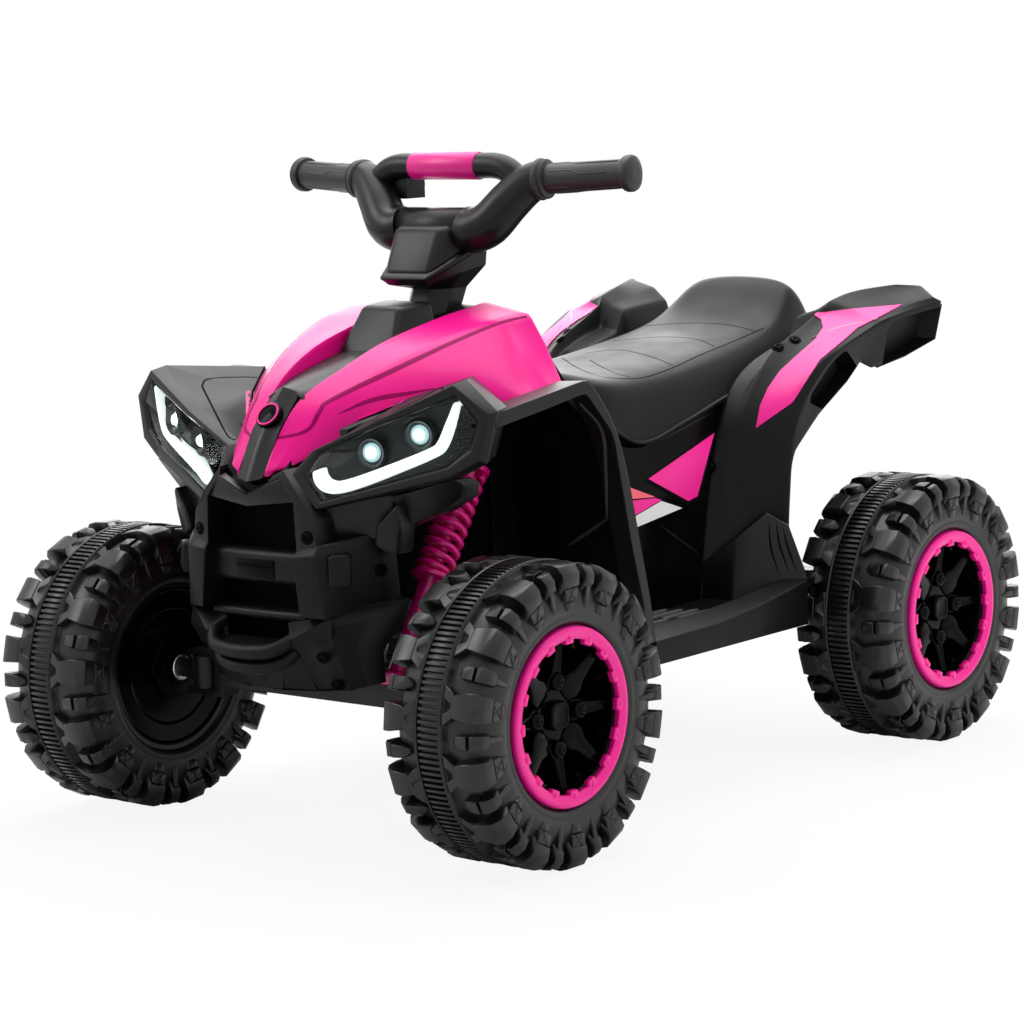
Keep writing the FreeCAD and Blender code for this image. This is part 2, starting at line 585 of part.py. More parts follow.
def front_axle():
    """Return the axle beam with a fork at each end."""
    side = BEAM_SIDE / 2
    root = KINGPIN_X - KNUCKLE_RADIUS - side / 2
    beam = block((-root, root), (FRONT_Y - side, FRONT_Y + side), (AXLE_Z - side, AXLE_Z + side))
    reach = KNUCKLE_HEIGHT / 2 + BODY_GAP
    forks = []
    for sign in (1, -1):
        low = AXLE_Z + sign * reach
        ends = sorted((low, low + sign * FORK_PLATE))
        plate = block((root - side, KINGPIN_X + FORK_LENGTH / 2), (FRONT_Y - side, FRONT_Y + side), ends)
        below = Vector(KINGPIN_X, FRONT_Y, ends[0] - OVERRUN)
        hole = bar(below, below + Z_AXIS * (FORK_PLATE + 2 * OVERRUN), KINGPIN_RADIUS + RUN_FIT)
        forks.append(plate.cut(hole))
    web = block((root - side, root), (FRONT_Y - side, FRONT_Y + side),
                (AXLE_Z - reach - FORK_PLATE, AXLE_Z + reach + FORK_PLATE))
    forks.append(web)
    return joined([beam] + forks + [mirrored(fork) for fork in forks])


def knuckle():
    """Return the left knuckle: kingpin, stub axle, steering arm and link pin."""
    middle = Vector(KINGPIN_X, FRONT_Y, AXLE_Z)
    half = KNUCKLE_HEIGHT / 2
    pin_half = half + BODY_GAP + FORK_PLATE
    core = bar(middle - Z_AXIS * half, middle + Z_AXIS * half, KNUCKLE_RADIUS)
    kingpin = bar(middle - Z_AXIS * pin_half, middle + Z_AXIS * pin_half, KINGPIN_RADIUS)
    shoulder = bar(middle, Vector(HALF_TRACK - HUB_FACE - BODY_GAP, FRONT_Y, AXLE_Z), SHOULDER_RADIUS)
    stub = bar(middle, Vector(HALF_TRACK + AXLE_END, FRONT_Y, AXLE_Z), AXLE_RADIUS)
    arm = block((KINGPIN_X - ARM_WIDTH / 2, KINGPIN_X + ARM_WIDTH / 2),
                (FRONT_Y, FRONT_Y + ARM_REACH + ARM_WIDTH / 2),
                (AXLE_Z - ARM_THICKNESS / 2, AXLE_Z + ARM_THICKNESS / 2))
    link = Vector(KINGPIN_X, FRONT_Y + ARM_REACH, AXLE_Z)
    pin = bar(link, link + Z_AXIS * (TIE_ROD_LOW_Z + TIE_ROD_THICKNESS - AXLE_Z), LINK_PIN_RADIUS)
    return joined([core, kingpin, shoulder, stub, arm, pin])


def long_hole(x, y, forward, rearward):
    """Return the cutter of a slot in the tie rod for a pin at x, y that travels forward and rearward."""
    side = LINK_PIN_RADIUS + LINK_PIN_PLAY
    return block((x - side, x + side), (y - forward - side, y + rearward + side),
                 (TIE_ROD_LOW_Z - OVERRUN, TIE_ROD_LOW_Z + TIE_ROD_THICKNESS + OVERRUN))


def crank_pin_ends():
    """Return the upper and lower end of the crank pin, which stops level with the tie rod's underside."""
    high = steer_place().multVec(Vector(0, CRANK_REACH, steer_height(COLUMN_FOOT_Z) + CRANK_THICKNESS))
    return high, high - STEER_AXIS * ((high.z - TIE_ROD_LOW_Z) / math.cos(TILT))


def tie_rod():
    """Return the plate that links both knuckle arms to the crank of the column."""
    arm_y = FRONT_Y + ARM_REACH
    reach = KINGPIN_X + TIE_ROD_END
    crank_y = crank_pin_ends()[1].y + TIE_ROD_THICKNESS / 2 * math.tan(TILT)
    middle = (arm_y + crank_y) / 2
    plate = block((-reach, reach), (middle - TIE_ROD_WIDTH / 2, middle + TIE_ROD_WIDTH / 2),
                  (TIE_ROD_LOW_Z, TIE_ROD_LOW_Z + TIE_ROD_THICKNESS))
    arm_hole = long_hole(KINGPIN_X, arm_y, ARM_SLOT_TRAVEL, 0)
    crank_hole = long_hole(0, crank_y, CRANK_SLOT_TRAVEL, CRANK_SLOT_TRAVEL)
    return plate.cut([arm_hole, mirrored(arm_hole), crank_hole])


def shock_rod():
    """Return the left shock's lower part: foot, thick lower body, spring seat and rod."""
    half = SHOCK_FOOT_LENGTH / 2
    beam_top = AXLE_Z + BEAM_SIDE / 2
    foot = block((SHOCK_SPREAD - half, SHOCK_SPREAD + half),
                 (FRONT_Y - BEAM_SIDE / 2, FRONT_Y + BEAM_SIDE / 2), (beam_top, beam_top + SHOCK_FOOT_HEIGHT))
    lower = bar(SHOCK_FOOT, shock_point(SPRING_LOW), SHOCK_LOWER_RADIUS)
    seat = bar(shock_point(SHOCK_LOWER_LENGTH), shock_point(SPRING_LOW), SHOCK_SEAT_RADIUS)
    rod = bar(SHOCK_FOOT, shock_point(SPRING_LOW + SHOCK_ROD_REACH), SHOCK_ROD_RADIUS)
    below = block((0, BODY_WIDTH), (-BODY_LENGTH, BODY_LENGTH), (0, beam_top))
    return joined([foot, lower, seat, rod]).cut(below)


def shock_body():
    """Return the left shock's upper part: tube, spring seat and top eye."""
    low = SPRING_HIGH + SHOCK_SEAT_THICKNESS - SHOCK_BODY_LENGTH
    tube = bar(shock_point(low), shock_point(SHOCK_EYE), SHOCK_BODY_RADIUS)
    seat = bar(shock_point(SPRING_HIGH), shock_point(SPRING_HIGH + SHOCK_SEAT_THICKNESS), SHOCK_SEAT_RADIUS)
    half = SHOCK_FOOT_LENGTH / 2
    eye = shock_point(SHOCK_EYE)
    pin = bar(eye - X_AXIS * half, eye + X_AXIS * half, SHOCK_EYE_RADIUS)
    bore = bar(shock_point(low - OVERRUN), shock_point(SPRING_HIGH), SHOCK_ROD_RADIUS + RUN_FIT)
    return joined([tube, seat, pin]).cut(bore)


def arc_through(start, heading, end):
    """Return the arc that leaves start along heading and ends at end."""
    chord = end - start
    side = (chord - heading * chord.dot(heading)).normalize()
    radius = chord.dot(chord) / (2 * side.dot(chord))
    centre = start + side * radius
    middle = centre + ((start - centre) + (end - centre)).normalize() * radius
    return Part.Arc(start, middle, end)


def biarc(start, heading, end, last):
    """Return two arcs that meet smoothly, from start along heading to end along last."""
    chord = end - start
    both = heading + last
    bend = 2 * (1 - heading.dot(last))
    along = chord.dot(both)
    reach = (math.sqrt(along * along + bend * chord.dot(chord)) - along) / bend
    meet = (start + heading * reach + end - last * reach) * 0.5
    second = arc_through(end, last * -1, meet)
    return [arc_through(start, heading, meet), second]


def spring():
    """Return the left coil spring, standing square on both seats, and print its least gap to itself."""
    lead = SPRING_WIRE
    climb = SPRING_LENGTH - 2 * lead - 2 * SPRING_RADIUS * SPRING_END_SHARE
    low = lead + SPRING_RADIUS * SPRING_END_SHARE
    steps = 4 * SPRING_TURNS
    slope = climb / (SPRING_TURNS * 2 * math.pi)

    def helix(step):
        """Return the place and heading of the wire after so many quarter turns."""
        angle = step * math.pi / 2
        place = Vector(SPRING_RADIUS * math.cos(angle), SPRING_RADIUS * math.sin(angle), low + slope * angle)
        heading = Vector(-SPRING_RADIUS * math.sin(angle), SPRING_RADIUS * math.cos(angle), slope)
        return place, heading.normalize()

    quarter = Vector(0, -SPRING_RADIUS, lead)
    edges = [Part.LineSegment(quarter - Z_AXIS * lead, quarter)]
    place, heading = quarter, Vector(Z_AXIS)
    for step in range(steps + 1):
        next_place, next_heading = helix(step)
        edges += biarc(place, heading, next_place, next_heading)
        place, heading = next_place, next_heading
    top = Vector(0, SPRING_RADIUS, SPRING_LENGTH - lead)
    edges += biarc(place, heading, top, Vector(Z_AXIS))
    edges.append(Part.LineSegment(top, top + Z_AXIS * lead))
    path = Part.Wire([edge.toShape() for edge in edges])
    section = Part.Wire(Part.makeCircle(SPRING_WIRE / 2, quarter - Z_AXIS * lead, Z_AXIS))
    shell = Part.BRepOffsetAPI.MakePipeShell(path)
    shell.add(section)
    shell.build()
    shell.makeSolid()
    coil = shell.shape()
    points = path.discretize(Number=60 * SPRING_TURNS)
    apart = len(points) // SPRING_TURNS // 2
    gap = min((a - b).Length for i, a in enumerate(points) for b in points[i + apart:]) - SPRING_WIRE
    ideal = path.Length * math.pi * SPRING_WIRE ** 2 / 4
    print("spring least gap %.2f, volume over section times length %.3f" % (gap, coil.Volume / ideal))
    coil.Placement = FreeCAD.Placement(shock_point(SPRING_LOW), FreeCAD.Rotation(X_AXIS, -SHOCK_RAKE_DEGREES))
    return coil


def steer_place():
    """Return the placement of the steering column's own frame, with its Z along the column."""
    return FreeCAD.Placement(NECK, FreeCAD.Rotation(X_AXIS, -STEER_TILT_DEGREES))


def steer_height(z):
    """Return the height along the column of a height above the ground."""
    return (z - NECK_Z) / math.cos(TILT)


def steered(shape):
    """Move a shape from the column's own frame to its place."""
    return shape.transformed(steer_place().toMatrix())


def column_bar(low_z, high_z, radius):
    """Return a round bar along the column between two heights."""
    low, high = steer_height(low_z), steer_height(high_z)
    return steered(bar(Vector(0, 0, low), Vector(0, 0, high), radius))


def steering_column():
    """Return the column with its crank, which points rearwards, and the crank pin."""
    foot = steer_height(COLUMN_FOOT_Z)
    half = CRANK_WIDTH / 2
    arm = block((-half, half), (-half, CRANK_REACH + half), (foot, foot + CRANK_THICKNESS))
    shaft = column_bar(COLUMN_FOOT_Z, COLUMN_TOP_Z, COLUMN_RADIUS)
    return joined([shaft, steered(arm), bar(*crank_pin_ends(), LINK_PIN_RADIUS)])


def grip_points():
    """Return both ends of the left grip's axis."""
    start = spot(ARM_SHARES[-1])
    return start, start + Vector(GRIP_SPAN, GRIP_SWEEP, GRIP_RISE)


def handlebar():
    """Return the bar: neck, stem head, both arms, crossbar, collars and grip cores."""
    low = [Vector(x * BODY_WIDTH / 2, y * BODY_LENGTH / 2, HEAD_LOW_Z) for x, y in HEAD_LOW_SHARES]
    top = [Vector(x * BODY_WIDTH / 2, y * BODY_LENGTH / 2, HEAD_TOP_Z) for x, y in HEAD_TOP_SHARES]
    head = prism(low, top)
    neck = column_bar(NECK_LOW_Z, HEAD_LOW_Z + NECK_RADIUS / 2, NECK_RADIUS)
    start, end = grip_points()
    along = (end - start).normalize()
    collar_end = start + along * (COLLAR_LENGTH / 2)
    beyond = bar(collar_end, end, COLLAR_RADIUS + ARM_TUBE_RADIUS)
    side = [bent_bar([spot(share) for share in ARM_SHARES], ARM_TUBE_RADIUS).cut(beyond),
            bar(start - along * (COLLAR_LENGTH / 2), collar_end, COLLAR_RADIUS),
            bar(start, end, GRIP_CORE_RADIUS)]
    cross = [spot(share) for share in CROSSBAR_SHARES]
    crossbar = bent_bar(cross + [flipped(point) for point in reversed(cross)], CROSSBAR_RADIUS)
    bore = column_bar(NECK_LOW_Z - OVERRUN, COLUMN_TOP_Z + FIT_GAP, COLUMN_RADIUS + FIT_GAP)
    return joined([head, neck, crossbar] + side + [mirrored(shape) for shape in side]).cut(bore)


def grip():
    """Return the left grip: sleeve, end flange and plug."""
    start, end = grip_points()
    along = (end - start).normalize()
    first = start + along * (COLLAR_LENGTH / 2)
    plug = end + along * (FIT_GAP + WALL)
    sleeve = bar(first, plug, GRIP_RADIUS)
    flange = bar(plug - along * GRIP_FLANGE_LENGTH, plug, GRIP_FLANGE_RADIUS)
    core = bar(start, end + along * FIT_GAP, GRIP_CORE_RADIUS + FIT_GAP)
    return joined([sleeve, flange]).cut(core)


def crossbar_sleeve():
    """Return the sleeve on the middle of the crossbar."""
    middle = spot(CROSSBAR_SHARES[-1])
    ends = [Vector(side, middle.y, middle.z) for side in (-SLEEVE_HALF, SLEEVE_HALF)]
    inside = CROSSBAR_RADIUS + FIT_GAP
    return bar(*ends, inside + SLEEVE_WALL).cut(bar(*ends, inside))


def throttle_ends():
    """Return the front and rear of the throttle housing's axis."""
    middle = spot(CROSSBAR_SHARES[-1])
    front = Vector(-THROTTLE_SIDE, middle.y, middle.z - THROTTLE_HEIGHT / 2 - CROSSBAR_RADIUS / 2)
    return front, front + Y_AXIS * THROTTLE_DEPTH


def throttle_button():
    """Return the thumb button."""
    rear = throttle_ends()[1]
    return bar(rear - Y_AXIS * (THROTTLE_BUTTON_LENGTH - THROTTLE_BUTTON_PROUD),
               rear + Y_AXIS * THROTTLE_BUTTON_PROUD, THROTTLE_BUTTON_RADIUS)


def throttle_housing(bars):
    """Return the thumb throttle's housing under the right end of the crossbar, cut to fit the bars."""
    front, rear = throttle_ends()
    half = THROTTLE_WIDTH / 2
    body = block((front.x - half, front.x + half), (front.y, rear.y),
                 (front.z - THROTTLE_HEIGHT / 2, front.z + THROTTLE_HEIGHT / 2))
    pocket = bar(rear - Y_AXIS * (THROTTLE_BUTTON_LENGTH + FIT_GAP), rear + Y_AXIS * OVERRUN,
                 THROTTLE_BUTTON_RADIUS + BODY_GAP)
    return less(body, bars, pocket)


def column_y(z):
    """Return where the column's axis lies along the vehicle at a height above the ground."""
    return NECK_Y + (z - NECK_Z) * math.tan(TILT)


def plate_heights():
    """Return the lower and upper height of both cross plates that hold the column's bushes."""
    eye_z = shock_point(SHOCK_EYE).z
    return [(RAIL_LOW_Z, RAIL_TOP_Z), (eye_z - CROSS_PLATE_DEPTH / 2, eye_z + CROSS_PLATE_DEPTH / 2)]


def column_bush(low_z, high_z, inside, outside):
    """Return a bush round the column between two heights."""
    hole = column_bar(low_z - OVERRUN, high_z + OVERRUN, inside)
    return column_bar(low_z, high_z, outside).cut(hole)


def column_bushes():
    """Return the bush of each cross plate."""
    inside = COLUMN_RADIUS + RUN_FIT
    return [column_bush(low, high, inside, inside + BUSH_WALL) for low, high in plate_heights()]


def chassis():
    """Return the frame: tub, posts, rails, cross plates and the rear axle's plates."""
    side = TUB_HALF_WIDTH
    tub = block((-side, side), (TUB_FRONT_Y, TUB_REAR_Y), (TUB_LOW_Z, TUB_TOP_Z))
    hollow = block((WALL - side, side - WALL), (TUB_FRONT_Y + WALL, TUB_REAR_Y - WALL),
                   (TUB_LOW_Z + WALL, TUB_TOP_Z + OVERRUN))
    lower, upper = plate_heights()
    tower_rear = TOWER_FRONT_Y + TOWER_DEPTH
    rail_x = (RAIL_INNER, RAIL_INNER + RAIL_WIDTH)
    rail = block(rail_x, (BACK_PLATE_Y, tower_rear), lower)
    post = block(rail_x, (TOWER_FRONT_Y, tower_rear), (TUB_LOW_Z, upper[1]))
    middle = column_y(sum(lower) / 2)
    half_plate = CROSS_PLATE_LENGTH / 2
    low_plate = block((-rail_x[1], rail_x[1]), (middle - half_plate, middle + half_plate), lower)
    reach = SHOCK_SPREAD - SHOCK_FOOT_LENGTH / 2
    high_plate = block((-reach, reach), (shock_point(SHOCK_EYE).y - SHOCK_EYE_RADIUS, tower_rear), upper)
    axle_plate = block((side - LUG_PLATE_THICKNESS, side), (TUB_REAR_Y - WALL, REAR_Y + LUG_PLATE_REACH),
                       (AXLE_Z - LUG_PLATE_REACH, AXLE_Z + LUG_PLATE_REACH))
    pieces = [tub.cut(hollow), low_plate, high_plate]
    for piece in (rail, post, axle_plate):
        pieces += [piece, mirrored(piece)]
    motor = motor_ends()
    motor_hole = bar(motor[0] - X_AXIS * OVERRUN, motor[1] + X_AXIS * OVERRUN, MOTOR_RADIUS + FIT_GAP)
    bush_radius = COLUMN_RADIUS + RUN_FIT + BUSH_WALL + FIT_GAP
    holes = [motor_hole, mirrored(motor_hole), rear_bar(AXLE_RADIUS + FIT_GAP)]
    holes.append(column_bar(lower[0] - OVERRUN, upper[1] + OVERRUN, bush_radius))
    return joined(pieces).cut(holes)


def rear_bar(radius):
    """Return a round bar along the rear axle, from wheel to wheel."""
    reach = HALF_TRACK + AXLE_END
    return bar(Vector(-reach, REAR_Y, AXLE_Z), Vector(reach, REAR_Y, AXLE_Z), radius)


def motor_ends():
    """Return the inner and outer end of the left motor's axis."""
    outer = Vector(TUB_HALF_WIDTH, REAR_Y - MOTOR_FORWARD, AXLE_Z + MOTOR_RISE)
    return outer - X_AXIS * MOTOR_LENGTH, outer


def gearbox():
    """Return the left gearbox housing, from the motor to the wheel's drive hub."""
    wheel_end = Vector(TUB_HALF_WIDTH, REAR_Y, AXLE_Z)
    motor_end = motor_ends()[1]
    depth = X_AXIS * GEARBOX_LENGTH
    web = slab([motor_end - Z_AXIS * GEARBOX_NOSE_RADIUS, wheel_end - Z_AXIS * GEARBOX_RADIUS,
                wheel_end + Z_AXIS * GEARBOX_RADIUS, motor_end + Z_AXIS * GEARBOX_NOSE_RADIUS], depth)
    housing = joined([bar(wheel_end, wheel_end + depth, GEARBOX_RADIUS),
                      bar(motor_end, motor_end + depth, GEARBOX_NOSE_RADIUS), web])
    return housing.cut(rear_bar(AXLE_RADIUS + FIT_GAP))


def upright_box(width, depth, height, y):
    """Return a box that stands in the middle of the tub's floor."""
    floor = TUB_LOW_Z + WALL
    return block((-width / 2, width / 2), (y - depth / 2, y + depth / 2), (floor, floor + height))


def lamp_point(share, depth):
    """Return the point on the left lamp's slanted face, set back by a depth."""
    x = share[0] * BODY_WIDTH / 2
    face = Vector(x, LAMP_NOSE_Y + x * math.tan(LAMP_SWEEP), share[1] * BODY_HEIGHT)
    return face + Vector(-math.sin(LAMP_SWEEP), math.cos(LAMP_SWEEP), 0) * depth


def lamp_outline(shares, depth, size=1.0):
    """Return an outline on the lamp's face at a depth, drawn in towards its middle by a share."""
    points = [lamp_point(share, depth) for share in shares]
    middle = sum(points, Vector(0, 0, 0)) * (1 / len(points))
    return [middle + (point - middle) * size for point in points]


def lamp_slab(shares, front, back, size=1.0):
    """Return an outline on the lamp's face made solid between two depths."""
    return prism(lamp_outline(shares, front, size), lamp_outline(shares, back, size))


def headlight_bucket():
    """Return the left lamp's cup."""
    cup = lamp_slab(LENS_SHARES, LENS_THICKNESS, LAMP_DEPTH)
    return cup.cut(lamp_slab(LENS_SHARES, -OVERRUN, LAMP_DEPTH - BUCKET_WALL, LENS_INSIDE_SHARE))


def light_strip(cup):
    """Return the left lamp's bent light strip, standing on the cup's floor."""
    floor = LAMP_DEPTH - BUCKET_WALL
    legs = []
    for first, second in zip(STRIP_SHARES, STRIP_SHARES[1:]):
        start, end = lamp_point(first, floor), lamp_point(second, floor)
        out = lamp_point(first, floor - STRIP_THICKNESS) - start
        across = (end - start).cross(out).normalize() * (STRIP_WIDTH / 2)
        legs.append(slab([start - across, end - across, end + across, start + across], out))
    elbow = lamp_point(STRIP_SHARES[1], floor)
    out = lamp_point(STRIP_SHARES[1], floor - STRIP_THICKNESS)
    legs.append(bar(elbow, out, STRIP_WIDTH / 2))
    return less(joined(legs), cup)


def led_projector(share):
    """Return one projector of the left lamp, standing on the cup's floor."""
    floor = LAMP_DEPTH - BUCKET_WALL
    return bar(lamp_point(share, floor), lamp_point(share, floor - PROJECTOR_LENGTH), PROJECTOR_RADIUS)


def outline_of(shares):
    """Return the points of an outline of shares."""
    return [spot(share) for share in shares]


def front_mask():
    """Return the front panel: lamp pods, cheeks, pillars, uprights, brow and back plate."""
    pod = prism(lamp_outline(POD_FRONT_SHARES, 0), outline_of(POD_BACK_SHARES))
    pod = pod.cut(lamp_slab(LENS_SHARES, -OVERRUN, LAMP_DEPTH))
    pieces = [pod, slab(outline_of(CHEEK_SHARES), Y_AXIS * CHEEK_THICKNESS),
              slab(outline_of(PILLAR_SHARES), Y_AXIS * PILLAR_DEPTH),
              slab(outline_of(UPRIGHT_SHARES), Y_AXIS * CHEEK_THICKNESS),
              slab(outline_of(BROW_SHARES), Y_AXIS * BROW_DEPTH)]
    plate = block((-BACK_PLATE_HALF, BACK_PLATE_HALF), (BACK_PLATE_Y - BACK_PLATE_THICKNESS, BACK_PLATE_Y),
                  (BACK_PLATE_LOW_Z, BACK_PLATE_TOP_Z))
    return joined(pieces + [mirrored(piece) for piece in pieces] + [plate])


def grille_bars(mask):
    """Return the two bars between the pillars."""
    front = spot(PILLAR_SHARES[-2]).y
    reach = spot(PILLAR_SHARES[-2]).x
    bars = [block((-reach, reach), (front, front + BAR_DEPTH), (low * BODY_HEIGHT, high * BODY_HEIGHT))
            for low, high in BAR_SHARES]
    return [less(piece, mask) for piece in bars]


def front_bumper(*fixed):
    """Return the bumper: both wings, the chin, the bar between the horns and the tabs to the mask."""
    ahead = Vector(0, -1, 0)
    wing = panel(grid_of(WING_SHARES), BUMPER_WALL, ahead)
    horn = spot(BUMPER_BAR_SHARES)
    inner = spot(WING_SHARES[-1][1])
    low, high = [share * BODY_HEIGHT for share in BUMPER_TAB_SHARES]
    plate_face = BACK_PLATE_Y - BACK_PLATE_THICKNESS
    tab = block((inner.x, inner.x + BUMPER_TAB_WIDTH), (inner.y, plate_face), (low, high))
    chin = panel(full_width(CHIN_SHARES), BUMPER_WALL, ahead)
    pieces = [wing, mirrored(wing), tab, mirrored(tab), chin, bar(horn, flipped(horn), BUMPER_BAR_RADIUS)]
    return less(joined(pieces), *fixed)


def tank_columns():
    """Return the tank cover's columns of shares, from the nose to the foot of the dash."""
    ridge = [[column[0], (0.0, *place)] for column, place in zip(HOOD_SHARES[2:], TANK_RIDGE_SHARES)]
    return ridge + DASH_SHARES


def tank_cover(*fixed):
    """Return the cover between the hood's halves, with its scoop, the neck's hole and the switches' holes."""
    sheet = panel(full_width(tank_columns()), WALL, Z_AXIS)
    scoop = prism(outline_of(SCOOP_FRONT_SHARES), outline_of(SCOOP_REAR_SHARES))
    neck = column_bar(NECK_LOW_Z - BODY_HEIGHT / 2, HEAD_TOP_Z, NECK_RADIUS + NECK_CLEARANCE)
    holes = [switch_bar(side, BODY_GAP) for side in (1, -1)]
    return less(joined([sheet, scoop]), neck, *holes, *fixed)


def switch_frame(side):
    """Return the middle of a switch on the dash and the dash's normal there."""
    edge_top, mid_top = [spot(share) for share in DASH_SHARES[0]]
    edge_low, mid_low = [spot(share) for share in DASH_SHARES[1]]
    middle = mid_top + (mid_low - mid_top) * SWITCH_SLOPE_SHARE
    edge = edge_top + (edge_low - edge_top) * SWITCH_SLOPE_SHARE
    place = middle + (edge - middle) * (SWITCH_SIDE / edge.x)
    normal = X_AXIS.cross(mid_top - mid_low).normalize() * -1
    return Vector(side * place.x, place.y, place.z), normal


def switch_bar(side, clearance):
    """Return the round space that a rocker switch turns in."""
    place = switch_frame(side)[0]
    half = X_AXIS * (SWITCH_LENGTH / 2 + clearance)
    return bar(place - half, place + half, SWITCH_RADIUS + clearance)


def rocker_switch(side):
    """Return a rocker: the slice of its round space that follows the dash."""
    place, normal = switch_frame(side)
    half = SWITCH_THICKNESS / 2
    slice_box = block((-SWITCH_LENGTH, SWITCH_LENGTH), (-SWITCH_RADIUS, SWITCH_RADIUS), (-half, half))
    turn = FreeCAD.Rotation(X_AXIS, -math.degrees(math.atan2(normal.y, normal.z)))
    slice_box.Placement = FreeCAD.Placement(place, turn)
    return switch_bar(side, 0).common(slice_box)


def tray_top(y):
    """Return the height of the foot tray's rim at a place along it."""
    return TRAY_TOP_Z + TRAY_TIP_RISE * max(0.0, (y - TRAY_KINK_Y) / (TRAY_TIP_Y - TRAY_KINK_Y))


def tray_layer(x_range, y_range, low, high):
    """Return the layer of the foot tray between two offsets from its rim."""
    stations = [y_range[0]] + [TRAY_KINK_Y] * (y_range[0] < TRAY_KINK_Y < y_range[1]) + [y_range[1]]
    outline = [Vector(x_range[0], y, tray_top(y) + low) for y in stations]
    outline += [Vector(x_range[0], y, tray_top(y) + high) for y in reversed(stations)]
    face = Part.Face(Part.makePolygon(outline + outline[:1]))
    return face.extrude(X_AXIS * (x_range[1] - x_range[0]))


def foot_tray():
    """Return the left foot tray: a rim, a sunk floor with tread ribs, hollow below."""
    inner, outer = TUB_HALF_WIDTH, TRAY_HALF_WIDTH
    side = [(TRAY_FRONT_Y, TRAY_LOW_Z), (TRAY_TIP_Y - TRAY_REAR_RAKE, TRAY_LOW_Z),
            (TRAY_TIP_Y, tray_top(TRAY_TIP_Y)), (TRAY_KINK_Y, TRAY_TOP_Z), (TRAY_FRONT_Y, TRAY_TOP_Z)]
    points = [Vector(inner, y, z) for y, z in side]
    shell = Part.Face(Part.makePolygon(points + points[:1])).extrude(X_AXIS * (outer - inner))
    floor_x = (inner + TRAY_LEDGE, outer - TRAY_LIP)
    floor_y = (TRAY_FRONT_Y + TRAY_LEDGE, TRAY_TIP_Y - TRAY_LEDGE)
    sunk = tray_layer(floor_x, floor_y, -TRAY_FLOOR_DROP, OVERRUN)
    below = tray_layer((inner + WALL, outer - WALL), (TRAY_FRONT_Y + WALL, TRAY_TIP_Y - TRAY_REAR_RAKE - WALL),
                       -TRAY_DEPTH - TRAY_TIP_RISE - OVERRUN, -TRAY_FLOOR_DROP - WALL)
    pitch = (floor_y[1] - floor_y[0]) / TRAY_RIB_COUNT
    ribs = []
    for k in range(TRAY_RIB_COUNT):
        y = floor_y[0] + (k + 0.5) * pitch
        ribs.append(tray_layer(floor_x, (y - TRAY_RIB_WIDTH / 2, y + TRAY_RIB_WIDTH / 2),
                               -TRAY_FLOOR_DROP - WALL / 2, TRAY_RIB_HEIGHT - TRAY_FLOOR_DROP))
    return joined([shell.cut([sunk, below])] + ribs)


def wheel_space(y):
    """Return the round space that a left wheel needs under its fender."""
    inner = HALF_TRACK - TYRE_WIDTH / 2 - ARCH_GAP
    return bar(Vector(inner, y, AXLE_Z), Vector(HALF_TRACK + TYRE_WIDTH, y, AXLE_Z), TYRE_RADIUS + ARCH_GAP)


def rear_trim():
    """Return the left rear fender's colour trim, lying on the fender."""
    columns = grid_of(REAR_SHARES)[TRIM_FIRST:TRIM_LAST + 1]
    strip = [column[TRIM_INNER:TRIM_OUTER + 1] for column in columns]
    return panel(strip, 0.0, Z_AXIS, TRIM_THICKNESS)


def facet_disc(corners, toward, radius, height):
    """Return a round head that stands on the middle of a flat triangle."""
    a, b, c = corners
    normal = (b - a).cross(c - a).normalize()
    if normal.dot(toward) < 0:
        normal = normal * -1
    middle = (a + b + c) * (1 / 3)
    return bar(middle, middle + normal * height, radius)


def body_screws():
    """Return the screw heads of the side panels and uprights and the studs of the rear shelves."""
    side = grid_of(SIDE_SHARES)
    rear = grid_of(REAR_SHARES)
    upright = outline_of(UPRIGHT_SHARES)
    wing = grid_of(WING_SHARES)
    ahead = Vector(0, -1, 0)
    heads = [facet_disc((side[1][2], side[2][2], side[2][3]), X_AXIS, SCREW_RADIUS, SCREW_HEIGHT),
             facet_disc((side[0][0], side[1][0], side[1][1]), X_AXIS, SCREW_RADIUS, SCREW_HEIGHT),
             facet_disc(upright[:3], ahead, SCREW_RADIUS, SCREW_HEIGHT),
             facet_disc((wing[1][0], wing[2][0], wing[2][1]), ahead, SCREW_RADIUS, SCREW_HEIGHT),
             facet_disc((wing[0][0], wing[1][0], wing[1][1]), ahead, SCREW_RADIUS, SCREW_HEIGHT)]
    for before, after in zip(rear[4:6], rear[5:7]):
        corners = (before[0], after[0], after[1])
        heads.append(facet_disc(corners, Z_AXIS, SHELF_STUD_RADIUS, SHELF_STUD_HEIGHT))
    return heads + [mirrored(head) for head in heads]


def charge_socket():
    """Return the round socket in the right side panel, with its bore for the charger's plug."""
    panel_x = -spot(SIDE_SHARES[1][0]).x
    place = Vector(panel_x, SOCKET_PLACE_SHARES[0] * BODY_LENGTH / 2, SOCKET_PLACE_SHARES[1] * BODY_HEIGHT)
    face = place - X_AXIS * SOCKET_FLANGE_THICKNESS
    barrel = bar(place, place + X_AXIS * SOCKET_LENGTH, SOCKET_RADIUS)
    flange = bar(face, place, SOCKET_FLANGE_RADIUS)
    bore = bar(face - X_AXIS * OVERRUN, face + X_AXIS * SOCKET_BORE_LENGTH, SOCKET_BORE_RADIUS)
    hole = bar(place - X_AXIS * OVERRUN, place + X_AXIS * SOCKET_LENGTH, SOCKET_RADIUS + FIT_GAP)
    return joined([barrel, flange]).cut(bore), hole


def both_sides(found, name, left):
    """Add a left piece and its mirror image to the pieces found."""
    found[name + "_left"] = left
    found[name + "_right"] = mirrored(left)


def pair(left):
    """Return one node's shape of a left solid and its mirror image."""
    return Part.makeCompound([left, mirrored(left)])


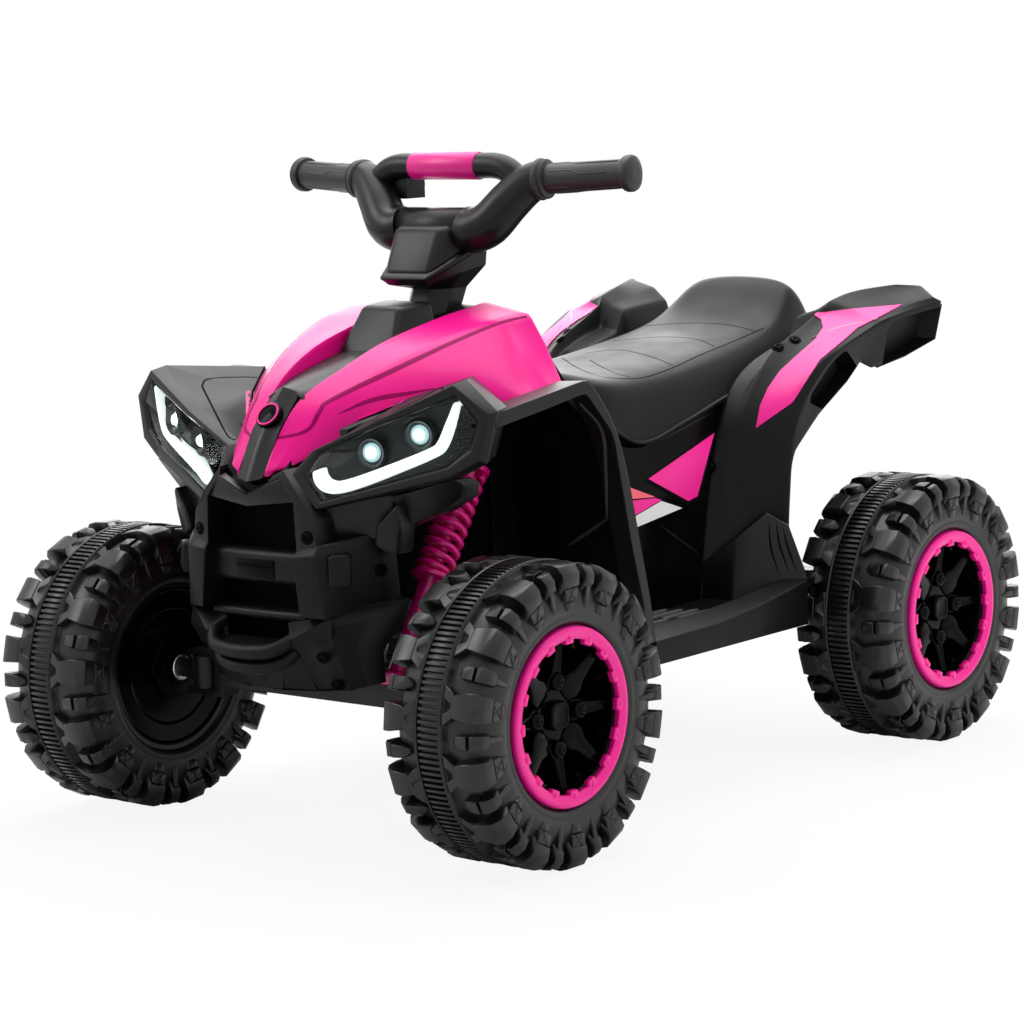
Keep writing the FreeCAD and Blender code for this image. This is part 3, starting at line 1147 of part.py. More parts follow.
def bodywork(frame):
    """Return the body's pieces by node name, each cut to fit those made before it."""
    found = {}
    up = Vector(0, 1, 1)
    mask = less(front_mask(), frame)
    bars = grille_bars(mask)
    cup = headlight_bucket()
    found["front_mask"] = mask
    found["headlight_buckets"] = pair(cup)
    found["headlight_lenses"] = pair(lamp_slab(LENS_SHARES, 0, LENS_THICKNESS))
    found["light_strips"] = pair(light_strip(cup))
    projectors = [led_projector(share) for share in PROJECTOR_SHARES]
    found["led_projectors"] = Part.makeCompound(projectors + [mirrored(shape) for shape in projectors])
    found["grille_bars"] = Part.makeCompound(bars)
    found["front_bumper"] = front_bumper(mask, *bars)
    nose = less(panel(full_width(NOSE_SHARES), WALL, Vector(0, -1, 1)), mask)
    found["nose_strip"] = nose
    tank = tank_cover(mask, nose, frame)
    found["tank_cover"] = tank
    hood = less(panel(grid_of(HOOD_SHARES), WALL, Vector(1, -1, 1)), mask, nose, tank, cup)
    both_sides(found, "hood", hood)
    tray = less(foot_tray(), wheel_space(REAR_Y), wheel_space(FRONT_Y))
    both_sides(found, "foot_tray", tray)
    fender = less(panel(grid_of(FENDER_SHARES), WALL, up), mask, hood, tank, cup, tray)
    both_sides(found, "front_fender", fender)
    side = less(panel(grid_of(SIDE_SHARES), WALL, X_AXIS), fender, tank, tray, frame)
    socket, hole = charge_socket()
    found["side_panel_left"] = side
    found["side_panel_right"] = mirrored(side).cut(hole)
    found["charge_socket"] = socket
    rear = less(panel(grid_of(REAR_SHARES), WALL, Vector(1, -1, 1)), wheel_space(REAR_Y), side, tray, frame)
    both_sides(found, "rear_fender", rear)
    found["rear_trims"] = pair(rear_trim())
    sides = [side, mirrored(side), rear, mirrored(rear), fender, mirrored(fender), tank]
    seat = less(panel(full_width(SEAT_SHARES), WALL, Z_AXIS), *sides)
    found["seat"] = seat
    tail = [[share, (0.0, *share[1:])] for share in TAIL_SHARES]
    found["tail_cover"] = less(panel(full_width(tail), WALL, Y_AXIS), *sides, seat, frame)
    found["body_screws"] = Part.makeCompound(body_screws())
    return found


def everything():
    """Return every piece by node name."""
    frame = chassis()
    found = {"chassis": frame}
    found.update(bodywork(frame))
    found["battery"] = upright_box(BATTERY_WIDTH, BATTERY_DEPTH, BATTERY_HEIGHT, BATTERY_Y)
    found["control_box"] = upright_box(CONTROL_WIDTH, CONTROL_DEPTH, CONTROL_HEIGHT, CONTROL_Y)
    found["motors"] = pair(bar(*motor_ends(), MOTOR_RADIUS))
    found["gearboxes"] = pair(gearbox())
    found["rear_axle"] = rear_bar(AXLE_RADIUS)
    found["column_bushes"] = Part.makeCompound(column_bushes())
    found["shock_bodies"] = pair(shock_body())
    found["shock_rods"] = pair(shock_rod())
    found["front_springs"] = pair(spring())
    found["front_axle_beam"] = front_axle()
    both_sides(found, "knuckle", knuckle())
    found["tie_rod"] = tie_rod()
    found["steering_column"] = steering_column()
    bars = handlebar()
    found["handlebar"] = bars
    both_sides(found, "grip", grip())
    found["crossbar_sleeve"] = crossbar_sleeve()
    found["throttle_housing"] = throttle_housing(bars)
    found["throttle_button"] = throttle_button()
    found["power_switch"] = rocker_switch(1)
    found["direction_switch"] = rocker_switch(-1)
    found.update(wheels())
    return found


os.makedirs("parts", exist_ok=True)
for name, shape in everything().items():
    shape.exportStep("parts/%s.step" % name)
    state = "valid" if shape.isValid() else "INVALID"
    print(name, len(shape.Solids), "solids", round(shape.Volume), "mm3", state)
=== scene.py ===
"""Looks of the kids quad bike: smooth shells, treaded tyres, lamps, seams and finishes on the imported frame.

Lengths in tables are millimetres in the part's own frame: the front looks along -Y, the rider's left is +X,
+Z is up and the ground is at zero.
"""
import logging
import math
from dataclasses import dataclass, field
from enum import Enum
from typing import Any, Iterable, Sequence

import bmesh
import bpy
from mathutils import Matrix, Vector
from mathutils.bvhtree import BVHTree


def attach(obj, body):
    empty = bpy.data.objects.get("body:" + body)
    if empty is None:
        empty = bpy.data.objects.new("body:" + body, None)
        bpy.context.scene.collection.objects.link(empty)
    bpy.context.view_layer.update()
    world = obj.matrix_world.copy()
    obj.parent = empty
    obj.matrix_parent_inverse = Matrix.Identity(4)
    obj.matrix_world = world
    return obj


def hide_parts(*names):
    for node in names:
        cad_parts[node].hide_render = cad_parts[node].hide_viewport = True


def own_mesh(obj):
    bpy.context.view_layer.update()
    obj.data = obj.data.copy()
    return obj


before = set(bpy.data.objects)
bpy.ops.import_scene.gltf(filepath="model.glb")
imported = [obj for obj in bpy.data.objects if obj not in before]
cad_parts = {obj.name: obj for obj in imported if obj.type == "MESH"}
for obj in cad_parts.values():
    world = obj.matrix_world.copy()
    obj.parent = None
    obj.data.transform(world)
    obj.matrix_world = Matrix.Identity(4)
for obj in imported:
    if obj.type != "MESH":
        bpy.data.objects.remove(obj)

MM = 0.001
LOG = logging.getLogger("quad_bike")

# Points of a raw mesh that are nearer than this are merged, and shorter edges are dissolved.
MERGE_MM = 0.01
SHORTEST_MM = 0.005
# The same for meshes of CAD nodes, and the bend below which their flat faces are joined again.
CAD_MERGE_MM = 0.02
CAD_FLAT_DEGREES = 1.5

Point = Sequence[float]
Outline = tuple[Point, ...]
Grid = tuple[Outline, ...]
Numbers = tuple[float, ...]
Table = tuple[Numbers, ...]
Profile = tuple[tuple[float, float], ...]


class Body(Enum):
    """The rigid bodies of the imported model."""

    FRAME = "frame"
    STEERING = "steering"
    THROTTLE = "throttle"
    POWER = "power"
    DIRECTION = "direction"
    FRONT_AXLE = "front_axle"
    KNUCKLE_LEFT = "knuckle_left"
    KNUCKLE_RIGHT = "knuckle_right"
    TIE_ROD = "tie_rod"
    WHEEL_FRONT_LEFT = "wheel_front_left"
    WHEEL_FRONT_RIGHT = "wheel_front_right"
    WHEEL_REAR_LEFT = "wheel_rear_left"
    WHEEL_REAR_RIGHT = "wheel_rear_right"


def linear(hex_colour: str) -> tuple[float, float, float, float]:
    """Turns an sRGB hex colour to linear red, green, blue and full alpha.

    Args:
        hex_colour: six hex digits after a hash.

    Returns:
        The four linear values.
    """
    shares = [int(hex_colour[i:i + 2], 16) / 255 for i in (1, 3, 5)]
    red, green, blue = [c / 12.92 if c <= 0.04045 else ((c + 0.055) / 1.055) ** 2.4 for c in shares]
    return red, green, blue, 1.0


def add_node(tree: bpy.types.NodeTree, kind: str, settings: dict[str, Any] | None = None,
             inputs: dict[str | int, Any] | None = None) -> bpy.types.Node:
    """Adds a node with its settings, values and links.

    Args:
        tree: the tree that gets the node.
        kind: Blender's name of the node type.
        settings: properties of the node itself.
        inputs: a value, or an output socket to link, for each named or numbered input.

    Returns:
        The new node.
    """
    node = tree.nodes.new(kind)
    for name, value in (settings or {}).items():
        setattr(node, name, value)
    for name, value in (inputs or {}).items():
        if isinstance(value, bpy.types.NodeSocket):
            tree.links.new(value, node.inputs[name])
        else:
            node.inputs[name].default_value = value
    return node


def noise(tree: bpy.types.NodeTree, size_mm: float, detail: float = 2.0) -> bpy.types.NodeSocket:
    """Adds noise in the object's own frame.

    Args:
        tree: the material's nodes.
        size_mm: the size of its spots.
        detail: how many finer layers it has.

    Returns:
        Its value.
    """
    place = add_node(tree, "ShaderNodeTexCoord").outputs["Object"]
    spots = add_node(tree, "ShaderNodeTexNoise", None,
                     {"Vector": place, "Scale": 1 / (size_mm * MM), "Detail": detail})
    return spots.outputs["Fac"]


@dataclass(frozen=True)
class Finish:
    """A surface: its name, its material slot in the record, and its base values."""

    name: str
    slot: str
    colour: str
    roughness: float = 0.4

    def material(self) -> bpy.types.Material:
        """Makes the material of this finish on first use.

        Returns:
            The material.
        """
        made = bpy.data.materials.get(self.name)
        if made is None:
            made = bpy.data.materials.new(self.name)
            made.use_nodes = True
            tree = made.node_tree
            tree.nodes.clear()
            shader = add_node(tree, "ShaderNodeBsdfPrincipled", None,
                              {"Base Color": linear(self.colour), "Roughness": self.roughness})
            add_node(tree, "ShaderNodeOutputMaterial", None, {"Surface": shader.outputs[0]})
            self.paint(tree, shader)
        return made

    def paint(self, tree: bpy.types.NodeTree, shader: bpy.types.Node) -> None:
        """Adds what this kind of surface shows; a plain finish adds nothing."""


@dataclass(frozen=True)
class MouldedPlastic(Finish):
    """Injection or blow moulded plastic: faint flow clouds in colour and gloss, and a fine skin texture."""

    shade: str = "#101012"
    cloud_mm: float = 60.0
    grain_mm: float = 2.4
    grain_depth_mm: float = 0.03
    gloss_swing: float = 0.06
    cloud_range: tuple[float, float] = (0.3, 0.7)
    cloud_detail: float = 3.0
    coat: float = 0.0
    coat_roughness: float = 0.08
    specular: float = 0.5

    def paint(self, tree: bpy.types.NodeTree, shader: bpy.types.Node) -> None:
        """Adds the flow clouds, the uneven gloss and the skin texture.

        Args:
            tree: the material's nodes.
            shader: its surface shader.
        """
        # Slow clouds shift the colour and the gloss together, as melt flow does in a mould.
        cloud = noise(tree, self.cloud_mm, self.cloud_detail)
        tint = add_node(tree, "ShaderNodeMix", {"data_type": "RGBA"},
                        {0: cloud, 6: linear(self.colour), 7: linear(self.shade)})
        tree.links.new(tint.outputs[2], shader.inputs["Base Color"])
        gloss = add_node(tree, "ShaderNodeMapRange", None,
                         {"Value": cloud, 1: self.cloud_range[0], 2: self.cloud_range[1],
                          3: self.roughness - self.gloss_swing, 4: self.roughness + self.gloss_swing})
        tree.links.new(gloss.outputs[0], shader.inputs["Roughness"])
        # The skin is far finer than any modelled edge, so it is only a bump.
        bump = add_node(tree, "ShaderNodeBump", None,
                        {"Strength": 1.0, "Distance": self.grain_depth_mm * MM,
                         "Height": noise(tree, self.grain_mm)})
        tree.links.new(bump.outputs[0], shader.inputs["Normal"])
        shader.inputs["Coat Weight"].default_value = self.coat
        shader.inputs["Coat Roughness"].default_value = self.coat_roughness
        shader.inputs["Specular IOR Level"].default_value = self.specular


@dataclass(frozen=True)
class PlatedSteel(Finish):
    """Turned and zinc plated steel: a bright metal with faint turning lines."""

    line_mm: float = 1.6
    gloss_shares: tuple[float, float] = (0.7, 1.4)

    def paint(self, tree: bpy.types.NodeTree, shader: bpy.types.Node) -> None:
        """Adds the metal base and the turning lines.

        Args:
            tree: the material's nodes.
            shader: its surface shader.
        """
        shader.inputs["Metallic"].default_value = 1.0
        low, high = (self.roughness * share for share in self.gloss_shares)
        gloss = add_node(tree, "ShaderNodeMapRange", None,
                         {"Value": noise(tree, self.line_mm), 3: low, 4: high})
        tree.links.new(gloss.outputs[0], shader.inputs["Roughness"])


@dataclass(frozen=True)
class ClearPlastic(Finish):
    """Clear moulded polycarbonate, thin and coated against glare: see-through with slight moulding waves."""

    wave_mm: float = 40.0
    wave_depth_mm: float = 0.05
    wave_strength: float = 0.5
    ior: float = 1.12

    def paint(self, tree: bpy.types.NodeTree, shader: bpy.types.Node) -> None:
        """Adds the clear body and the faint waves.

        Args:
            tree: the material's nodes.
            shader: its surface shader.
        """
        shader.inputs["IOR"].default_value = self.ior
        shader.inputs["Transmission Weight"].default_value = 1.0
        bump = add_node(tree, "ShaderNodeBump", None,
                        {"Strength": self.wave_strength, "Distance": self.wave_depth_mm * MM,
                         "Height": noise(tree, self.wave_mm)})
        tree.links.new(bump.outputs[0], shader.inputs["Normal"])


@dataclass(frozen=True)
class LitPlastic(Finish):
    """Frosted light guide, lit from inside: even glow with slightly brighter cells along it."""

    strength: float = 1.0
    cell_mm: float = 6.0
    swing: float = 0.1

    def paint(self, tree: bpy.types.NodeTree, shader: bpy.types.Node) -> None:
        """Adds the glow and its cells.

        Args:
            tree: the material's nodes.
            shader: its surface shader.
        """
        shader.inputs["Emission Color"].default_value = linear(self.colour)
        glow = add_node(tree, "ShaderNodeMapRange", None,
                        {"Value": noise(tree, self.cell_mm), 3: self.strength * (1 - self.swing),
                         4: self.strength * (1 + self.swing)})
        tree.links.new(glow.outputs[0], shader.inputs["Emission Strength"])


class Finishes:
    """All finishes of the quad bike."""

    # Blow moulded polypropylene, satin: dark, soft broad reflections, a faint orange-peel skin.
    BODY_BLACK = MouldedPlastic("satin_black_polypropylene", "black_plastic", "#0d0c0e", 0.36, "#121113",
                                specular=0.26)
    # The same polypropylene out of a polished mould: deep black with clear reflections.
    GLOSS_BLACK = MouldedPlastic("polished_black_polypropylene", "gloss_black", "#040405", 0.14, "#060607",
                                 gloss_swing=0.04, grain_depth_mm=0.008, grain_mm=9.0, specular=0.06)
    # Grained polypropylene of the bumper, the grille, the rear fenders and the foot trays, with little shine.
    MATT_BLACK = MouldedPlastic("grained_black_polypropylene", "black_plastic", "#09090a", 0.42, "#0c0c0d",
                                grain_mm=2.0, grain_depth_mm=0.04, specular=0.17)
    # The trays' tread and the leg shields' edges: a coarsely grained polypropylene coloured lighter than the
    # black plastic, as painted light on the tread and painted highlights along the edges.
    PAINTED_LIGHT_GREY = MouldedPlastic("painted_light_grained_grey", "black_plastic", "#4c4b4d", 0.4, "#555456",
                           grain_mm=1.5, grain_depth_mm=0.06, specular=0.6)
    # Mass-dyed ABS with a polished face: saturated pink with a clear-looking gloss.
    PINK_GLOSS = MouldedPlastic("polished_pink_abs", "pink_plastic", "#ff1296", 0.34, "#fb0f90",
                                gloss_swing=0.03, grain_depth_mm=0.006, grain_mm=9.0, coat=0.05, specular=0.2)
    # Painted shade: darker, barely reflecting pink laid along the hood's grooves and accent lines, standing
    # in for the shade inside them.
    PINK_GROOVE_SHADE = MouldedPlastic("pink_painted_groove_shade", "pink_plastic", "#a4005f", 0.4, "#9c005a", gloss_swing=0.03,
                               specular=0.1)
    # Pink film on the rear fenders and the side panels, a little softer in gloss.
    PINK_FILM = MouldedPlastic("pink_vinyl_film", "pink_plastic", "#ff1f9c", 0.33, "#fb1c96",
                               gloss_swing=0.03, grain_depth_mm=0.01)
    # Dyed polypropylene of the bead rings, the crossbar sleeve and the throttle button.
    PINK_SATIN = MouldedPlastic("satin_pink_polypropylene", "pink_plastic", "#fa1098", 0.34, "#f40e92")
    # Powder coated springs and shocks: pink with a pebbled skin.
    PINK_COAT = MouldedPlastic("pink_powder_coat", "pink_metal", "#e80c88", 0.28, "#dc0a80",
                               grain_mm=3.0, grain_depth_mm=0.04, coat=0.2)
    # Moulded seat skin with a fine leather grain.
    SEAT = MouldedPlastic("grained_black_seat_skin", "seat_black", "#0e0d0f", 0.40, "#131214",
                          grain_mm=3.2, grain_depth_mm=0.09, specular=0.18)
    # Blow moulded tyre plastic: dull black, slightly grey where it is worn by the mould.
    TYRE = MouldedPlastic("moulded_black_tyre_plastic", "tyre_black", "#0a0a0b", 0.36, "#0e0e10",
                          cloud_mm=35.0, grain_mm=2.6, grain_depth_mm=0.05, specular=0.46)
    # Soft grip PVC: dull, with a slightly greyer cast.
    GRIP = MouldedPlastic("black_grip_vinyl", "grip_black", "#18181a", 0.50, "#1e1e20", grain_depth_mm=0.06)
    # Near-black, barely reflecting plastic: painted shade in the fine lines where two mouldings meet or a
    # seam is pressed in, on walls deep in shadow and in the rings round the screws; also the dark border
    # under the side film.
    SHADE_AND_SEAM_BLACK = MouldedPlastic("painted_shade_and_seam_black", "black_plastic", "#050506", 0.70, "#070708", specular=0.05)
    # Painted highlight: a greyish line laid on the pink film, standing in for light caught along it.
    PAINTED_HIGHLIGHT_GREY = MouldedPlastic("painted_highlight_grey", "black_plastic", "#a58e9a", 0.35, "#9c8692")
    # White vinyl film.
    WHITE_FILM = MouldedPlastic("white_vinyl_film", "lamp_white", "#f1efef", 0.35, "#e9e7e8")
    # Coral vinyl film.
    CORAL_FILM = MouldedPlastic("coral_vinyl_film", "pink_plastic", "#ff6b7d", 0.35, "#fa6678")
    # Vacuum-coated lamp bucket: dark grey green with broad reflections.
    LAMP_BUCKET = MouldedPlastic("lamp_bucket_plastic", "lamp_grey", "#16191a", 0.22, "#121516", specular=0.3)
    # Cases of the battery and the control box, and the plated steel of shafts, motors and bushes.
    BATTERY = MouldedPlastic("battery_case_abs", "battery_grey", "#4a4d52", 0.45, "#44474c")
    CONTROL = MouldedPlastic("control_box_abs", "control_green", "#1d3a2a", 0.45, "#19352a")
    STEEL = PlatedSteel("zinc_plated_steel", "steel", "#c9cbce", 0.28)
    # Clear lens over the lamps, the frosted guide behind it and the light-emitting diodes.
    LENS = ClearPlastic("clear_polycarbonate", "clear_lens", "#f4fbfa", 0.02)
    LIGHT_GUIDE = LitPlastic("lit_light_guide", "lamp_white", "#eaf4ec", 0.3, strength=1.0)
    LED = LitPlastic("lit_led_lens", "lamp_white", "#eafffa", 0.1, strength=3.0, cell_mm=3.0)
    # The projector's clear bowl, which glows softly round the light-emitting diode.
    LED_BOWL = LitPlastic("lit_projector_bowl", "lamp_white", "#bfe0e4", 0.15, strength=0.6, cell_mm=5.0)


class Shape:
    """A mesh under construction, in millimetres."""

    def __init__(self) -> None:
        """Starts with no points and no faces."""
        self.points: list[Vector] = []
        self.faces: list[tuple[int, ...]] = []
        self.creases: dict[tuple[int, int], float] = {}

    def add_points(self, points: Iterable[Point]) -> list[int]:
        """Adds points.

        Args:
            points: the places.

        Returns:
            Their indices.
        """
        first = len(self.points)
        self.points.extend(Vector(p) for p in points)
        return list(range(first, len(self.points)))

    def sheet(self, rows: Sequence[Sequence[Point]], wrap: bool = False) -> list[list[int]]:
        """Adds a grid of four-sided faces through rows of points.

        Args:
            rows: rows of the same number of points.
            wrap: whether each row closes on itself.

        Returns:
            The indices of the points, row by row.
        """
        index = [self.add_points(row) for row in rows]
        width = len(index[0])
        for low, high in zip(index, index[1:]):
            for i in range(width if wrap else width - 1):
                j = (i + 1) % width
                self.faces.append((low[i], low[j], high[j], high[i]))
        return index

    def fan(self, ring: Sequence[int]) -> None:
        """Closes a ring of points with triangles round its middle."""
        middle = self.add_points([sum((self.points[i] for i in ring), Vector()) / len(ring)])[0]
        self.faces.extend((a, b, middle) for a, b in zip(ring, [*ring[1:], ring[0]]))

    def loft(self, rings: Sequence[Sequence[Point]], capped: bool = True) -> "Shape":
        """Adds a closed tube through rings of points.

        Args:
            rings: rings of the same number of points.
            capped: whether both ends are closed.

        Returns:
            This shape.
        """
        index = self.sheet(rings, wrap=True)
        if capped:
            self.faces.append(tuple(reversed(index[0])))
            self.faces.append(tuple(index[-1]))
        return self

    def crease(self, line: Sequence[int], weight: float) -> None:
        """Keeps the edges along a line of points crisp when the shape is subdivided.

        Args:
            line: indices of neighbouring points.
            weight: 0 for a round edge to 1 for a sharp one.
        """
        for a, b in zip(line, line[1:]):
            self.creases[min(a, b), max(a, b)] = weight

    def add(self, other: "Shape") -> "Shape":
        """Adds another shape.

        Args:
            other: what is copied in.

        Returns:
            This shape.
        """
        first = len(self.points)
        self.points.extend(p.copy() for p in other.points)
        self.faces.extend(tuple(i + first for i in face) for face in other.faces)
        self.creases.update({(a + first, b + first): w for (a, b), w in other.creases.items()})
        return self

    def moved(self, matrix: Matrix) -> "Shape":
        """Copies this shape and moves the copy.

        Args:
            matrix: the move, in millimetres.

        Returns:
            The copy.
        """
        copy = Shape().add(self)
        copy.points = [matrix @ p for p in copy.points]
        return copy

    def mirrored(self) -> "Shape":
        """Copies this shape to the other side of the middle plane.

        Returns:
            The copy.
        """
        copy = Shape().add(self)
        copy.points = [Vector((-p.x, p.y, p.z)) for p in copy.points]
        copy.faces = [tuple(reversed(face)) for face in copy.faces]
        return copy

    def both(self) -> "Shape":
        """Returns this shape together with its mirror image."""
        return Shape().add(self).add(self.mirrored())

    def mesh(self, name: str) -> bpy.types.Mesh:
        """Makes a mesh in metres, with doubles merged, creases kept and faces outwards.

        Args:
            name: the mesh's name.

        Returns:
            The mesh.
        """
        build = bmesh.new()
        made = [build.verts.new(p * MM) for p in self.points]
        layer = build.edges.layers.float.new("crease_edge")
        for face in self.faces:
            corners = [made[i] for i in face]
            if len(set(corners)) > 2 and build.faces.get(corners) is None:
                build.faces.new(corners)
        for (a, b), weight in self.creases.items():
            edge = build.edges.get((made[a], made[b]))
            if edge:
                edge[layer] = weight
        bmesh.ops.remove_doubles(build, verts=build.verts, dist=MERGE_MM * MM)
        bmesh.ops.dissolve_degenerate(build, edges=build.edges, dist=SHORTEST_MM * MM)
        bmesh.ops.recalc_face_normals(build, faces=build.faces)
        mesh = bpy.data.meshes.new(name)
        build.to_mesh(mesh)
        build.free()
        return mesh


@dataclass(frozen=True)
class Smoothing:
    """How a raw shape is given its wall, its rounded edges and its smooth faces."""

    wall: float = 0.0
    rim_crease: float = 0.7
    levels: int = 0
    bevel: float = 0.0
    bevel_segments: int = 2
    bevel_degrees: float = 25.0
    sharp_degrees: float = 40.0


def baked(piece: bpy.types.Object) -> bpy.types.Mesh:
    """Turns a piece and its modifiers into a plain mesh.

    Args:
        piece: a linked object.

    Returns:
        The new mesh, which the piece then uses without modifiers.
    """
    bpy.context.view_layer.update()
    graph = bpy.context.evaluated_depsgraph_get()
    mesh = bpy.data.meshes.new_from_object(piece.evaluated_get(graph))
    piece.modifiers.clear()
    piece.data = mesh
    return mesh


def linked(name: str, mesh: bpy.types.Mesh) -> bpy.types.Object:
    """Shows a mesh as a new object of the scene.

    Args:
        name: the object's name.
        mesh: what it shows.

    Returns:
        The object.
    """
    piece = bpy.data.objects.new(name, mesh)
    bpy.context.scene.collection.objects.link(piece)
    return piece


def smoothed(piece: bpy.types.Object, how: Smoothing) -> None:
    """Gives a piece its wall, rounded edges and smooth shading.

    Args:
        piece: the object, whose mesh is replaced.
        how: the wall, bevel and subdivision.
    """
    if how.wall:
        wall = piece.modifiers.new("wall", "SOLIDIFY")
        wall.thickness = how.wall * MM
        wall.offset = -1.0
        wall.use_even_offset = True
        wall.thickness_clamp = 1.0
        wall.edge_crease_rim = how.rim_crease
        wall.edge_crease_inner = how.rim_crease
        wall.edge_crease_outer = how.rim_crease
    if how.bevel:
        bevel = piece.modifiers.new("bevel", "BEVEL")
        bevel.width = how.bevel * MM
        bevel.segments = how.bevel_segments
        bevel.limit_method = "ANGLE"
        bevel.angle_limit = math.radians(how.bevel_degrees)
    if how.levels:
        smooth = piece.modifiers.new("smooth", "SUBSURF")
        smooth.levels = how.levels
        smooth.render_levels = how.levels
    mesh = baked(piece)
    mesh.shade_smooth()
    mesh.set_sharp_from_angle(angle=math.radians(how.sharp_degrees))


def hollowed(piece: bpy.types.Object, hollow: Shape) -> None:
    """Cuts a shape out of a piece.

    Args:
        piece: the object, whose mesh is replaced.
        hollow: what is taken away.
    """
    tool = linked("hollow", hollow.mesh("hollow"))
    taken = piece.modifiers.new("hollow", "BOOLEAN")
    taken.object = tool
    taken.operation = "DIFFERENCE"
    taken.solver = "EXACT"
    baked(piece)
    bpy.data.objects.remove(tool)


def placed(piece: bpy.types.Object, finish: Finish, body: Body,
           stands_for: Sequence[str] = ()) -> bpy.types.Object:
    """Dresses a finished piece and sets it on its body.

    Args:
        piece: the object with its plain mesh.
        finish: its surface.
        body: what carries it.
        stands_for: the CAD nodes that it replaces.

    Returns:
        The piece.
    """
    piece.data.materials.clear()
    piece.data.materials.append(finish.material())
    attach(piece, body.value)
    if stands_for:
        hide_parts(*stands_for)
    LOG.info("%s: %d faces, %s on %s", piece.name, len(piece.data.polygons), finish.name, body.value)
    return piece


def make(name: str, shape: Shape, finish: Finish, how: Smoothing = Smoothing(),
         stands_for: Sequence[str] = (), body: Body = Body.FRAME) -> bpy.types.Object:
    """Makes a finished piece from a shape.

    Args:
        name: the piece's name.
        shape: its raw form.
        finish: its surface.
        how: its wall, bevel and subdivision.
        stands_for: the CAD nodes that it replaces.
        body: what carries it.

    Returns:
        The piece.
    """
    piece = linked(name, shape.mesh(name))
    smoothed(piece, how)
    return placed(piece, finish, body, stands_for)


def new_tree(name: str, sockets: dict[str, str]) -> tuple[bpy.types.NodeTree, bpy.types.Node]:
    """Starts a geometry tree with named inputs.

    Args:
        name: the tree's name.
        sockets: the type of each input, by its name.

    Returns:
        The tree and its input node.
    """
    tree = bpy.data.node_groups.new(name, "GeometryNodeTree")
    tree.interface.new_socket("Geometry", in_out="OUTPUT", socket_type="NodeSocketGeometry")
    for label, kind in sockets.items():
        tree.interface.new_socket(label, in_out="INPUT", socket_type=kind)
    return tree, add_node(tree, "NodeGroupInput")


def close_tree(tree: bpy.types.NodeTree, entry: bpy.types.Node, geometry: bpy.types.NodeSocket) -> None:
    """Ends a tree in real, dressed faces.

    Args:
        tree: the tree.
        entry: its input node, with an input named Finish.
        geometry: what the tree has made so far.
    """
    real = add_node(tree, "GeometryNodeRealizeInstances", None, {0: geometry})
    dressed = add_node(tree, "GeometryNodeSetMaterial", None,
                       {"Geometry": real.outputs[0], "Material": entry.outputs["Finish"]})
    add_node(tree, "NodeGroupOutput", None, {0: dressed.outputs[0]})


class Repeat(Enum):
    """Ways in which a small shape is repeated, each with its own geometry tree."""

    RING = "ring_about_x"
    ROW = "row_of_steps"
    SPOTS = "spots_with_facing"

    def tree(self) -> bpy.types.NodeTree:
        """Builds the tree of this way on first use.

        Returns:
            The tree.
        """
        made = bpy.data.node_groups.get(self.value)
        if made is None:
            made = {Repeat.RING: ring_tree, Repeat.ROW: row_tree, Repeat.SPOTS: spots_tree}[self]()
        return made


def ring_tree() -> bpy.types.NodeTree:
    """Builds a tree that turns a shape about the X axis, Count times from Phase radians.

    Returns:
        The tree.
    """
    tree, entry = new_tree(Repeat.RING.value, {"Shape": "NodeSocketGeometry", "Count": "NodeSocketInt",
                                               "Phase": "NodeSocketFloat", "Finish": "NodeSocketMaterial"})
    spots = add_node(tree, "GeometryNodePoints", None, {"Count": entry.outputs["Count"]})
    index = add_node(tree, "GeometryNodeInputIndex")
    share = add_node(tree, "ShaderNodeMath", {"operation": "DIVIDE"},
                     {0: index.outputs[0], 1: entry.outputs["Count"]})
    angle = add_node(tree, "ShaderNodeMath", {"operation": "MULTIPLY_ADD"},
                     {0: share.outputs[0], 1: math.tau, 2: entry.outputs["Phase"]})
    turn = add_node(tree, "ShaderNodeCombineXYZ", None, {"X": angle.outputs[0]})
    copies = add_node(tree, "GeometryNodeInstanceOnPoints", None,
                      {"Points": spots.outputs[0], "Instance": entry.outputs["Shape"],
                       "Rotation": turn.outputs[0]})
    close_tree(tree, entry, copies.outputs[0])
    return tree


def row_tree() -> bpy.types.NodeTree:
    """Builds a tree that repeats a shape Count times, each one Step further on.

    Returns:
        The tree.
    """
    tree, entry = new_tree(Repeat.ROW.value, {"Shape": "NodeSocketGeometry", "Count": "NodeSocketInt",
                                              "Step": "NodeSocketVector", "Finish": "NodeSocketMaterial"})
    line = add_node(tree, "GeometryNodeMeshLine", None,
                    {"Count": entry.outputs["Count"], "Offset": entry.outputs["Step"]})
    copies = add_node(tree, "GeometryNodeInstanceOnPoints", None,
                      {"Points": line.outputs[0], "Instance": entry.outputs["Shape"]})
    close_tree(tree, entry, copies.outputs[0])
    return tree


def spots_tree() -> bpy.types.NodeTree:
    """Builds a tree that sets the object Shape on each point, its Z along the point's own facing.

    Returns:
        The tree.
    """
    tree, entry = new_tree(Repeat.SPOTS.value, {"Spots": "NodeSocketGeometry", "Shape": "NodeSocketObject",
                                                "Finish": "NodeSocketMaterial"})
    facing = add_node(tree, "GeometryNodeInputNamedAttribute", {"data_type": "FLOAT_VECTOR"},
                      {"Name": "facing"})
    turn = add_node(tree, "FunctionNodeAlignRotationToVector", {"axis": "Z"}, {"Vector": facing.outputs[0]})
    shape = add_node(tree, "GeometryNodeObjectInfo", None, {"Object": entry.outputs["Shape"]})
    copies = add_node(tree, "GeometryNodeInstanceOnPoints", None,
                      {"Points": entry.outputs["Spots"], "Instance": shape.outputs["Geometry"],
                       "Rotation": turn.outputs[0]})
    close_tree(tree, entry, copies.outputs[0])
    return tree


